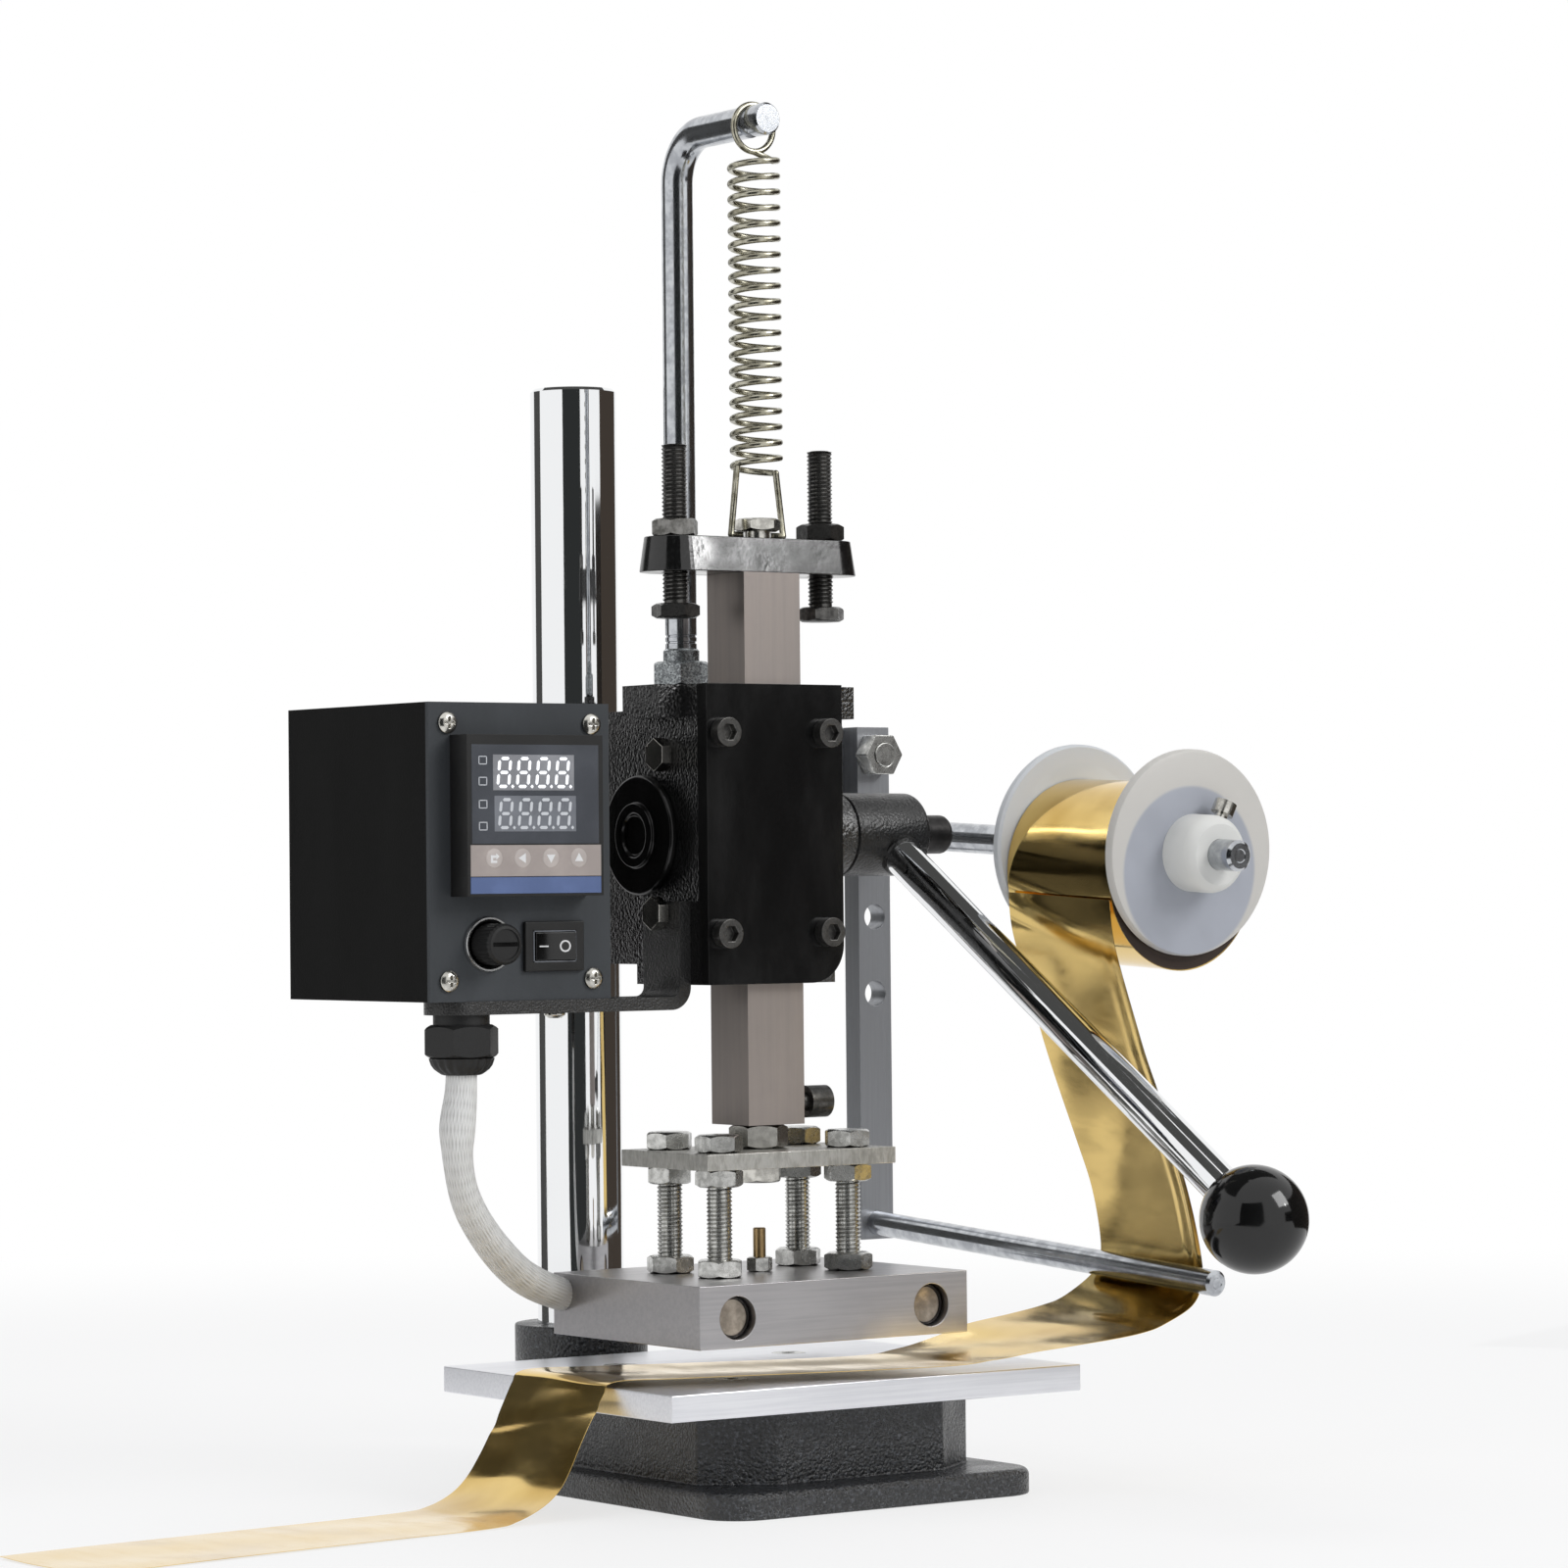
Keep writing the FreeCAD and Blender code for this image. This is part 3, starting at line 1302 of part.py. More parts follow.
def spring_foot():
    """The ring under the top bolt's head and the two legs up to the last coil."""
    wire = size("spring_wire")
    level = size("hook_level")
    around = size("bolt_radius") + size("seat_gap") + wire
    ring = Part.makeTorus(around, wire, Vector(0, 0, level), Vector(0, 0, 1))
    pieces = [ring]
    for side in (-1, 1):
        inner = Vector(side * around, 0, level)
        outer = Vector(side * size("spring_foot_half"), 0, level)
        coil = Vector(side * size("spring_radius"), 0,
                      size("spring_low") + (0.0 if side > 0 else size("spring_pitch") / 2))
        pieces.append(wire_run(inner, outer, wire))
        pieces.append(wire_run(outer, coil, wire))
    return pieces


def make_spring():
    """Return spring: a close helix with an eye on top and a foot ring below."""
    radius, wire = size("spring_radius"), size("spring_wire")
    tall = size("spring_high") - size("spring_low")
    path = Part.makeHelix(size("spring_pitch"), tall, radius)
    profile = Part.Wire(Part.makeCircle(wire, Vector(radius, 0, 0), Vector(0, 1, 0)))
    coil = Part.Wire(path).makePipeShell([profile], True, True)
    coil.translate(Vector(0, 0, size("spring_low")))
    spring = coil.multiFuse(spring_eye() + spring_foot())
    node(place(feature("spring", spring), "0", "-spring_front", "0"), "return_spring")


# ---------------------------------------------------------------------------------------------
# Control box and its fittings
# ---------------------------------------------------------------------------------------------

def make_bracket():
    """Bent strap that carries the control box beside the head."""
    body = new_body("strap")
    outline = [
        ("-head_left", "bracket_top"), ("-bracket_face", "bracket_top"),
        ("-bracket_face", "box_bottom"), ("-bracket_end", "box_bottom"),
        ("-bracket_end", "bracket_level"), ("-head_left", "bracket_level")]
    pad(body, sketch(body, "XZ_Plane", "bracket_front", outline), "bracket_depth", True)
    outer_x, outer_z = -size("head_left"), size("bracket_level")
    soften(body, "Fillet", "bracket_bend",
           lambda a, b: abs(a.x - outer_x) + abs(a.z - outer_z) < SAME
           and abs(b.x - outer_x) + abs(b.z - outer_z) < SAME)
    end = -size("bracket_end")
    soften(body, "Fillet", "bracket_corner",
           lambda a, b: abs(a.x - end) + abs(b.x - end) < SAME and upright(a, b))
    inner_x, inner_z = -size("bracket_face"), size("box_bottom")
    soften(body, "Fillet", "bracket_bend - bracket_thick",
           lambda a, b: abs(a.x - inner_x) + abs(a.z - inner_z) < SAME
           and abs(b.x - inner_x) + abs(b.z - inner_z) < SAME)
    holes = [
        cylinder("strap_bolt_hole", "gib_bolt_shank", "bracket_thick + 2 * overcut",
                 "-bracket_face - overcut", "gib_bolt_low_y", "gib_bolt_low", "X"),
        cylinder("strap_gland_hole", "gland_thread_radius", "bracket_thick + 2 * overcut",
                 "-gland_x", "gland_y", "bracket_level - overcut"),
        cylinder("strap_screw_hole", "pan_shank", "bracket_thick + 2 * overcut",
                 "-box_screw_x", "gland_y", "bracket_level - overcut"),
    ]
    node(cut("strap_bored", body, *holes), "box_bracket")


def make_box_shell():
    """Folded sheet steel box, open at the front where the panel screws on."""
    outer = span("shell_outer", ("-box_left", "-box_right"),
                 ("-panel_back", "box_depth - box_front"), ("box_bottom", "box_top"))
    inner = span("shell_inner", ("-box_left + box_wall", "-box_right - box_wall"),
                 ("-panel_back - overcut", "box_depth - box_front - box_wall"),
                 ("box_bottom + box_wall", "box_top - box_wall"))
    holes = [
        cylinder("shell_gland_hole", "gland_thread_radius", "box_wall + 2 * overcut",
                 "-gland_x", "gland_y", "box_bottom - overcut"),
        cylinder("shell_screw_hole", "pan_shank", "box_wall + 2 * overcut", "-box_screw_x",
                 "gland_y", "box_bottom - overcut"),
        cylinder("shell_rear_hole", "gland_thread_radius", "box_wall + 2 * overcut",
                 "-rear_gland_x", "box_depth - box_front - box_wall - overcut",
                 "box_bottom + rear_gland_rise", "Y"),
    ]
    tabs = []
    for number, (x, z) in enumerate(panel_screw_places(), start=1):
        wide, tall = ("panel_screw_inset_%s + 2 * pan_shank" % axis for axis in "xz")
        left = "-box_left" if number < 3 else "-box_right - (%s)" % wide
        low = "box_bottom" if number % 2 else "box_top - (%s)" % tall
        tabs.append(box("shell_tab%d" % number, wide, "pan_length - panel_thick + seat_gap",
                        tall, left, "-panel_back", low))
        holes.append(cylinder("shell_tap%d" % number, "pan_shank", "pan_length", x,
                              "-panel_back - overcut", z, "Y"))
    walls = cut("shell_walls", outer, inner)
    node(cut("shell", fuse("shell_blank", walls, *tabs), *holes), "control_box_shell")


def panel_screw_places():
    """X and Z of the four panel screws."""
    return [(x, z)
            for x in ("-box_left + panel_screw_inset_x", "-box_right - panel_screw_inset_x")
            for z in ("box_bottom + panel_screw_inset_z", "box_top - panel_screw_inset_z")]


def make_panel():
    """Front panel with the cut-outs for controller, fuse holder and switch."""
    plate = span("panel_plate", ("-box_left", "-box_right"), ("-box_front", "-panel_back"),
                 ("box_bottom", "box_top"))
    half = "controller_body / 2"
    holes = [
        span("panel_window", ("-controller_x - %s" % half, "%s - controller_x" % half),
             ("-box_front - overcut", "-panel_back + overcut"),
             ("controller_z - %s" % half, "controller_z + %s" % half)),
        cylinder("panel_fuse_hole", "fuse_outside", "panel_thick + 2 * overcut", "-fuse_x",
                 "-box_front - overcut", "fuse_z", "Y"),
        span("panel_switch_hole", switch_span("x", "switch_lip"),
             ("-box_front - overcut", "-panel_back + overcut"), switch_span("z", "switch_lip")),
    ]
    for number, (x, z) in enumerate(panel_screw_places(), start=1):
        holes.append(cylinder("panel_hole%d" % number, "pan_shank",
                              "panel_thick + 2 * overcut", x, "-box_front - overcut", z, "Y"))
    node(cut("panel", plate, *holes), "control_panel")


def make_box_screws():
    """Pan head screws: four in the panel and one up through the strap."""
    screws = []
    for number, (x, z) in enumerate(panel_screw_places(), start=1):
        screws.append(place(pan_screw("panel_screw%d" % number), x, "-box_front", z, "-Y"))
    under = pan_screw("strap_screw")
    screws.append(place(under, "-box_screw_x", "gland_y", "bracket_level", "-Z"))
    node(group("box_fasteners", screws), "box_screws")


def make_controller():
    """Panel temperature controller: bezel and case, display window and four keys."""
    face, half = "controller_face / 2", "controller_body / 2"
    bezel = span("controller_bezel", ("-controller_x - %s" % face, "%s - controller_x" % face),
                 ("-controller_front", "-box_front"),
                 ("controller_z - %s" % face, "controller_z + %s" % face))
    case = span("controller_rear", ("-controller_x - %s" % half, "%s - controller_x" % half),
                ("-box_front - overcut", "controller_deep - controller_front"),
                ("controller_z - %s" % half, "controller_z + %s" % half))
    window_x = ("-controller_x - window_width / 2", "-controller_x + window_width / 2")
    window_z = ("controller_z + %s - window_drop - window_height" % face,
                "controller_z + %s - window_drop" % face)
    recess = span("controller_recess", window_x,
                  ("-controller_front - overcut", "-controller_front + window_recess"),
                  window_z)
    pits = []
    for number in range(4):
        pits.append(cylinder("key_pit%d" % number, "key_radius + seat_gap",
                             "key_deep + overcut", key_x(number),
                             "-controller_front - overcut", key_z(), "Y"))
    node(cut("controller_cut", fuse("controller_blank", bezel, case), recess, *pits),
         "controller_case")
    glass = span("window_glass", window_x,
                 ("-controller_front + window_sunk", "-controller_front + window_recess"),
                 window_z)
    node(glass, "controller_window")
    for number in range(4):
        key = cylinder("key%d" % number, "key_radius", "key_proud + key_deep - loose_fit",
                       key_x(number), "-controller_front - key_proud", key_z(), "Y")
        node(key, "controller_key_%d" % (number + 1))


def key_x(number):
    """X of one of the four keys, counted from the left."""
    return "-controller_x + %s * key_pitch" % (number - 1.5)


def key_z():
    """Height of the row of keys."""
    return "controller_z - controller_face / 2 + key_rise"


def make_fuse():
    """Panel fuse holder: plated ring and barrel, and the cap that unscrews."""
    body = turned("fuse_barrel", [
        ("fuse_inside", "-fuse_body_deep"), ("fuse_outside", "-fuse_body_deep"),
        ("fuse_outside", "0"), ("fuse_ring_radius", "0"),
        ("fuse_ring_radius", "fuse_ring_edge"),
        ("fuse_ring_radius - fuse_ring_bevel", "fuse_ring_thick"),
        ("fuse_cap_radius + loose_fit", "fuse_ring_thick"),
        ("fuse_cap_radius + loose_fit", "fuse_floor"), ("fuse_inside", "fuse_floor")])
    place(body, "-fuse_x", "-box_front", "fuse_z", "-Y")
    node(body, "fuse_holder")
    cap = turned("fuse_cap_body", [
        ("0", "-fuse_cap_deep"), ("fuse_inside - loose_fit", "-fuse_cap_deep"),
        ("fuse_inside - loose_fit", "2 * fuse_floor"), ("fuse_cap_radius", "2 * fuse_floor"),
        ("fuse_cap_radius", "fuse_cap_proud - fuse_cap_bevel"),
        ("fuse_cap_radius - fuse_cap_bevel", "fuse_cap_proud"), ("0", "fuse_cap_proud")])
    slot = box("fuse_slot", "2 * fuse_cap_radius", "fuse_slot_width",
               "fuse_slot_deep + overcut", "-fuse_cap_radius", "-fuse_slot_width / 2",
               "fuse_cap_proud - fuse_slot_deep")
    capped = cut("fuse_cap_slotted", cap, slot)
    place(capped, "-fuse_x", "-box_front", "fuse_z", "-Y")
    node(capped, "fuse_cap")


def switch_span(axis, inset):
    """The switch's extent along one axis, drawn in by an amount on each side."""
    if axis == "x":
        centre, whole = "-switch_x", "switch_width"
    else:
        centre, whole = "switch_z", "switch_height"
    half = "%s / 2 - (%s)" % (whole, inset)
    return ("%s - (%s)" % (centre, half), "%s + (%s)" % (centre, half))


def make_switch():
    """Snap-in rocker switch: frame with its case, and the rocker that tips in it."""
    lip = span("switch_lip_block", switch_span("x", "0"),
               ("-box_front - switch_frame", "-box_front"), switch_span("z", "0"))
    case = span("switch_case", switch_span("x", "switch_lip"),
                ("-box_front - switch_frame / 2", "switch_deep - box_front"),
                switch_span("z", "switch_lip"))
    room = span("switch_room", switch_span("x", "switch_lip + switch_wall"),
                ("-box_front - switch_frame - overcut",
                 "switch_deep - box_front - 2 * switch_wall"),
                switch_span("z", "switch_lip + switch_wall"))
    node(cut("switch_frame_cut", fuse("switch_frame_blank", lip, case), room), "rocker_frame")
    # The rocker tips about a vertical axis: its face is a shallow V of two flats.
    half = "switch_width / 2 - switch_lip - switch_wall - rocker_gap"
    front = "-box_front - switch_frame"
    body = new_body("rocker_body")
    outline = [
        ("-switch_x - (%s)" % half, "%s - rocker_low" % front),
        ("-switch_x", front), ("-switch_x + (%s)" % half, "%s - rocker_proud" % front),
        ("-switch_x + (%s)" % half, "%s + rocker_edge" % front),
        ("-switch_x + rocker_keel_half", "%s + rocker_keel" % front),
        ("-switch_x - rocker_keel_half", "%s + rocker_keel" % front),
        ("-switch_x - (%s)" % half, "%s + rocker_edge" % front)]
    low, high = switch_span("z", "switch_lip + switch_wall + loose_fit")
    pad(body, sketch(body, "XY_Plane", low, outline), "(%s) - (%s)" % (high, low))
    node(body, "rocker")


def gland(name, inside):
    """Cable gland about its own Z axis: thread up through the wall at z = 0, dome below."""
    bore = "sleeve_radius + snug_fit"
    thread = cylinder(name + "_thread", "gland_thread_radius", "gland_thread_long")
    neck = cylinder(name + "_neck", "gland_thread_radius + gland_neck_wall", "gland_neck",
                    z="-gland_neck")
    nut = hexagon(name + "_hex", "gland_flats", "gland_hex", z="-gland_neck - gland_hex")
    dome = turned(name + "_dome", [
        ("0", "-gland_long"), (bore + " + gland_lip", "-gland_long"),
        ("gland_flats / 2 - gland_dome_inset", "-gland_neck - gland_hex - gland_shoulder"),
        ("gland_flats / 2", "-gland_neck - gland_hex"), ("0", "-gland_neck - gland_hex")])
    hole = cylinder(name + "_hole", bore, "gland_long + gland_thread_long + 2 * overcut",
                    z="-gland_long - overcut")
    sealed = cut(name + "_body", fuse(name + "_blank", thread, neck, nut, dome), hole)
    locknut = hex_nut(name + "_locknut", "locknut_flats", "locknut_thick",
                      "gland_thread_radius")
    place(locknut, "0", "0", inside)
    return group(name, [sealed, locknut])


def make_glands():
    """The gland of the heater sleeve under the box and the power gland on its back."""
    lower = gland("heater_gland", "bracket_thick + box_wall")
    place(lower, "-gland_x", "gland_y", "bracket_level")
    node(lower, "sleeve_gland")
    rear = gland("mains_gland", "box_wall")
    place(rear, "-rear_gland_x", "box_depth - box_front", "box_bottom + rear_gland_rise", "-Y")
    node(rear, "power_gland")


def make_relay():
    """Solid state relay on the floor of the control box."""
    block = box("relay_block", "relay_width", "relay_length", "relay_tall",
                "-relay_x - relay_width / 2", "relay_y - relay_length / 2",
                "box_bottom + box_wall")
    posts = [cylinder("relay_post%d" % side, "relay_post_radius", "relay_post_tall",
                      "-relay_x + %d * (relay_width / 2 - relay_post_inset)" % side, "relay_y",
                      "box_bottom + box_wall + relay_tall") for side in (-1, 1)]
    node(fuse("relay", block, *posts), "solid_state_relay")


# ---------------------------------------------------------------------------------------------
# Heater sleeve: a hanging cord whose route is chosen by hand
# ---------------------------------------------------------------------------------------------

SLEEVE_ROUTE = [
    Vector(-104.8, 4.5, 136.5), Vector(-104.8, 4.5, 125.8), Vector(-108.1, 2.7, 114.1),
    Vector(-107.2, 3.1, 101.8), Vector(-102.3, 5.9, 90.7), Vector(-87.5, 14.1, 76.6),
    Vector(-68.2, 24.9, 64.9), Vector(-49.9, 35.0, 60.5),
]


def rounded_path(points):
    """Straight runs joined by tangent arcs, as large as the runs at each turn allow."""
    edges = []
    start = points[0]
    radii = []
    for before, corner, after in zip(points, points[1:], points[2:]):
        way_in = (corner - before).normalize()
        way_out = (after - corner).normalize()
        turn = way_in.getAngle(way_out)
        reach = 0.45 * min((corner - before).Length, (after - corner).Length)
        radii.append(reach / math.tan(turn / 2))
        first = corner - way_in * reach
        last = corner + way_out * reach
        inward = (way_out - way_in).normalize()
        sag = radii[-1] * (1 / math.cos(turn / 2) - 1)
        middle = corner + inward * sag
        edges.append(Part.LineSegment(start, first).toShape())
        edges.append(Part.Arc(first, middle, last).toShape())
        start = last
    edges.append(Part.LineSegment(start, points[-1]).toShape())
    return Part.Wire(edges), radii


def make_sleeve():
    """Glass fibre sleeve with the heater leads, from the gland to the block's left face."""
    path, radii = rounded_path(SLEEVE_ROUTE)
    radius = size("sleeve_radius")
    heading = SLEEVE_ROUTE[1] - SLEEVE_ROUTE[0]
    profile = Part.Wire(Part.makeCircle(radius, SLEEVE_ROUTE[0], heading))
    tube = path.makePipeShell([profile], True, False)
    expected = math.pi * radius ** 2 * path.Length
    print("sleeve radii", ["%.1f" % value for value in radii])
    print("sleeve volume over section times length %.4f" % (tube.Volume / expected))
    face = box("sleeve_stop", "block_width", "block_depth", "block_thick * 2",
               "-block_width / 2", "-block_depth / 2", "block_bottom - block_thick / 2")
    node(cut("sleeve", feature("sleeve_tube", tube), face), "heater_sleeve")


# ---------------------------------------------------------------------------------------------
# Foil bracket, spool and web
# ---------------------------------------------------------------------------------------------

def aim_rod(thing, tag):
    """Put a thing's own +Z along the spool or guide rod, from the bar's front face."""
    angle = "90 + %s_rod_droop" % tag
    thing.Placement = Placement(Vector(), Rotation(Vector(1, 0, 0), size(angle)))
    thing.setExpression("Placement.Rotation.Angle", formula(angle))
    for axis, text in zip("xyz", ("bar_x", "bar_front", tag + "_rod_height")):
        thing.setExpression("Placement.Base." + axis, formula(text))
    return thing


def make_bar():
    """Flat arm behind the bar, the bar itself, and the bolts that hold both."""
    arm = span("arm_plate", ("bar_arm_left", "bar_x + bar_arm_over"),
               ("lug_front - bar_arm_thick", "lug_front"), ("lug_bottom", "lug_top"))
    level = "arm_bolt_height"
    arm_holes = [cylinder("arm_hole%d" % number, "gib_bolt_shank", "bar_arm_thick", x,
                          "lug_front - bar_arm_thick", level, "Y")
                 for number, x in enumerate(("arm_bolt_near", "arm_bolt_far"), start=1)]
    arm_holes.append(cylinder("arm_bar_hole", "bolt_radius", "bar_arm_thick", "bar_x",
                              "lug_front - bar_arm_thick", "bar_bolt_height", "Y"))
    node(cut("arm", arm, *arm_holes), "foil_arm")
    bar = span("bar_blank", ("bar_x - bar_width / 2", "bar_x + bar_width / 2"),
               ("bar_front", "lug_front - bar_arm_thick"), ("bar_bottom", "bar_top"))
    through = "lug_front - bar_arm_thick - bar_front + 2 * overcut"
    holes = [cylinder("bar_hole%d" % number, radius, through, "bar_x",
                      "bar_front - overcut", height, "Y")
             for number, (radius, height) in enumerate(
                 (("bar_hole_radius", "bar_hole_high"), ("bar_hole_radius", "bar_hole_low"),
                  ("bolt_radius", "bar_bolt_height")), start=1)]
    for tag in ("spool", "guide"):
        tap = cylinder(tag + "_tap", tag + "_rod_radius", "2 * bar_thick",
                       z="rod_end_wall - bar_thick")
        holes.append(aim_rod(group(tag + "_tap_held", [tap]), tag))
    node(cut("bar", bar, *holes), "foil_bar")
    bolts = []
    for number, x in enumerate(("arm_bolt_near", "arm_bolt_far"), start=1):
        bolt = hex_bolt("arm_bolt%d" % number, "gib_bolt_flats", "gib_bolt_head",
                        "gib_bolt_shank", "bar_arm_thick + lug_depth - arm_bolt_short")
        bolts.append(place(bolt, x, "lug_front - bar_arm_thick", level, "-Y"))
    bolt = hex_bolt("bar_bolt", "bolt_flats", "bolt_head", "bolt_radius",
                    "lug_front - bar_front + bar_nut_thick + bar_bolt_over")
    bolts.append(place(bolt, "bar_x", "lug_front", "bar_bolt_height", "Y"))
    nut = hex_nut("bar_nut", "bolt_flats", "bar_nut_thick", "bolt_radius")
    bolts.append(place(nut, "bar_x", "bar_front", "bar_bolt_height", "-Y"))
    node(group("bracket_fasteners", bolts), "bracket_bolts")


def make_rods():
    """Spool rod above and guide rod below, both screwed into the bar."""
    for tag, label in (("spool", "spool_rod"), ("guide", "guide_rod")):
        rod = cylinder(tag + "_rod_bar", tag + "_rod_radius",
                       "%s_rod_length + bar_thick - rod_end_wall" % tag,
                       z="rod_end_wall - bar_thick")
        outer = group(tag + "_rod_held", [rod])
        node(aim_rod(outer, tag), label)


def flange(name, start, outward):
    """A spool flange: a disc from a place along the rod and a hub on its outer side."""
    sign = "1" if outward else "-1"
    disc_end = "%s * flange_thick" % sign
    hub_end = "%s * (flange_thick + flange_hub_long)" % sign
    round_start = "%s * (flange_thick + flange_hub_long - flange_hub_round)" % sign
    body = turned(name + "_body", [
        ("spool_rod_radius + running_fit", start), ("flange_radius", start),
        ("flange_radius", "%s + %s" % (start, disc_end)),
        ("flange_hub_radius", "%s + %s" % (start, disc_end)),
        ("flange_hub_radius", "%s + %s" % (start, round_start)),
        ("flange_hub_radius - flange_hub_round / 2", "%s + %s" % (start, hub_end)),
        ("spool_rod_radius + running_fit", "%s + %s" % (start, hub_end))])
    return body


def turn_flange(thing):
    """Turn a thing about the rod's line, so that the set screw points up and outward."""
    thing.Placement = Placement(Vector(), Rotation(Vector(0, 0, -1), size("flange_screw_turn")))
    thing.setExpression("Placement.Rotation.Angle", formula("flange_screw_turn"))
    return group(thing.Name + "_turned", [thing])


def make_spool():
    """Two flanges on the rod, and between them the foil roll that hangs on its core."""
    rear = flange("rear_flange", "flange_rear", False)
    node(aim_rod(rear, "spool"), "rear_flange")
    start = "flange_rear + flange_gap"
    front = flange("front_flange", start, True)
    middle = "%s + flange_thick + flange_hub_long / 2" % start
    tap = cylinder("flange_tap", "flange_screw_shank", "flange_hub_radius + overcut",
                   "0", "spool_rod_radius", middle, "Y")
    node(aim_rod(turn_flange(cut("front_flange_cut", front, tap)), "spool"), "front_flange")
    screw = socket_screw("flange_set_screw", "flange_screw_head", "flange_screw_tall",
                         "flange_screw_shank",
                         "flange_hub_radius + flange_screw_proud - spool_rod_radius - seat_gap")
    place(screw, "0", "flange_hub_radius + flange_screw_proud", middle, "Y")
    held = turn_flange(group("flange_screw_held", [screw]))
    node(aim_rod(held, "spool"), "front_flange_screw")
    drop = "-(core_bore - spool_rod_radius - seat_gap)"
    low = "flange_rear + flange_gap / 2 - roll_width / 2"
    core = cut("core_tube", cylinder("core_outside", "core_outer", "roll_width", "0", drop, low),
               cylinder("core_inside", "core_bore", "roll_width", "0", drop, low))
    node(aim_rod(core, "spool"), "foil_core")
    wound = cut("roll_wound", cylinder("roll_outside", "roll_radius", "roll_width", "0", drop, low),
                cylinder("roll_inside", "core_outer", "roll_width", "0", drop, low))
    node(aim_rod(wound, "spool"), "foil_roll")


WEB_ROUTE = [
    ("roll_side", "web_y", "spool_rod_height - 21.6", 1.3),
    ("roll_side + 1.7", "web_y", "spool_rod_height - 35.1", 1.3),
    ("roll_side + 10.3", "web_y", "spool_rod_height - 59.6", 1.2),
    ("roll_side + 16.8", "web_y", "guide_rod_height + 53.6", 1.2),
    ("rod_side - 7.4", "web_y", "guide_rod_height + 30.2", 1.2),
    ("rod_side - 1.6", "web_y", "guide_rod_height + 14.4", 1.5),
    ("rod_side + 1.8", "web_y", "guide_rod_height - 1.4", 2.0),
    ("rod_side + 1.4", "web_y", "guide_rod_height - 9.2", 2.6),
    ("rod_side - 2.8", "web_y", "guide_rod_height - 15.0", 3.4),
    ("rod_side - 13.8", "web_y", "block_bottom + 4.9", 2.8),
    ("rod_side - 21.8", "web_y", "block_bottom + 3.0", 2.7),
    ("block_side + 25.0", "-54.0", "block_bottom + 1.2", 2.5),
    ("block_side + 11.0", "-50.8", "block_bottom - 0.9", 1.9),
    ("block_side + 0.5", "-47.5", "block_bottom - 3.4", 0.5),
    ("block_side - 12.0", "-43.5", "table_top + 4.0", 0.0),
    ("block_side - 30.0", "-38.0", "table_top + 2.4", 0.0),
    ("-table_side + 26.0", "-14.5", "table_top + 2.2", 0.0),
    ("-table_side + 6.0", "-8.0", "table_top + 2.4", 0.0),
    ("-table_side - 0.8", "-6.2", "table_top + 1.3", 0.0),
    ("-table_side - 2.6", "-6.0", "table_top - 1.6", 0.0),
    ("-table_side - 5.2", "-6.0", "table_top - 5.8", 0.0),
    ("-table_side - 10.3", "-6.0", "table_top - 15.0", 0.0),
    ("-table_side - 14.5", "-6.0", "table_top - 22.7", 0.0),
    ("-table_side - 19.0", "-6.0", "9.0", 0.0),
    ("-table_side - 25.0", "-6.2", "4.4", 0.0),
    ("-table_side - 34.0", "-7.5", "1.3", 0.0),
    ("-table_side - 45.0", "-10.0", "web_rest", 0.0),
    ("-table_side - 84.0", "-14.0", "web_rest", 0.0),
    ("-table_side - 146.0", "-21.0", "web_rest", 0.0),
    ("-table_side - 186.0", "-27.0", "web_rest", 0.0),
]


def web_stations():
    """Centre line of the foil web from the roll to its loose end.

    Each station is a place and how far the rear edge stands above it.  The foil is limp, so the
    places between roll, rod, block, table and bench are chosen by hand, as a cord's are.
    """
    return [tuple(size(text) for text in station) for station in WEB_ROUTE]


def web_corners(before, here, after):
    """The four corners of the web's section at one station, square to its path from the side."""
    along = Vector(after[0] - before[0], 0, after[2] - before[2]).normalize()
    rear = Vector(0, size("web_width") / 2, here[3])
    normal = Vector(-along.z, 0, along.x) * (size("web_thick") / 2)
    middle = Vector(*here[:3])
    return [middle + rear + normal, middle - rear + normal, middle - rear - normal,
            middle + rear - normal]


def ruled_strip(near, far):
    """The ruled faces between two sections, one for each side of the section."""
    faces = []
    for first, second in zip(range(4), (1, 2, 3, 0)):
        faces.append(Part.makeRuledSurface(Part.makeLine(near[first], near[second]),
                                           Part.makeLine(far[first], far[second])))
    return faces


def make_web():
    """Foil drawn from the roll, round the guide rod, over the table and down to the floor."""
    stations = web_stations()
    padded = stations[:1] + stations + stations[-1:]
    sections = [web_corners(*three) for three in zip(padded, padded[1:], padded[2:])]
    faces = [Part.Face(Part.makePolygon(end + end[:1])) for end in (sections[0], sections[-1])]
    for near, far in zip(sections, sections[1:]):
        faces.extend(ruled_strip(near, far))
    skin = Part.makeShell(faces)
    skin.sewShape()
    web = Part.makeSolid(skin)
    if web.Volume < 0:
        web.reverse()
    node(feature("web", web), "foil_web")


# ---------------------------------------------------------------------------------------------
# Building, checking and export
# ---------------------------------------------------------------------------------------------

def build():
    """Make every sub-part."""
    fill_sheet()
    make_base()
    make_column()
    make_table()
    make_head()
    make_cover()
    make_gib()
    make_bearing_cap()
    make_clamp_bolts()
    make_ram()
    make_crossbar()
    make_stop_bolts()
    make_ram_bolts()
    make_suspension()
    make_block()
    make_clamp_screw()
    make_pinion()
    make_lever()
    make_spring_rod()
    make_spring()
    make_bracket()
    make_box_shell()
    make_panel()
    make_box_screws()
    make_controller()
    make_fuse()
    make_switch()
    make_glands()
    make_relay()
    make_sleeve()
    make_bar()
    make_rods()
    make_spool()
    make_web()
    DOC.recompute()


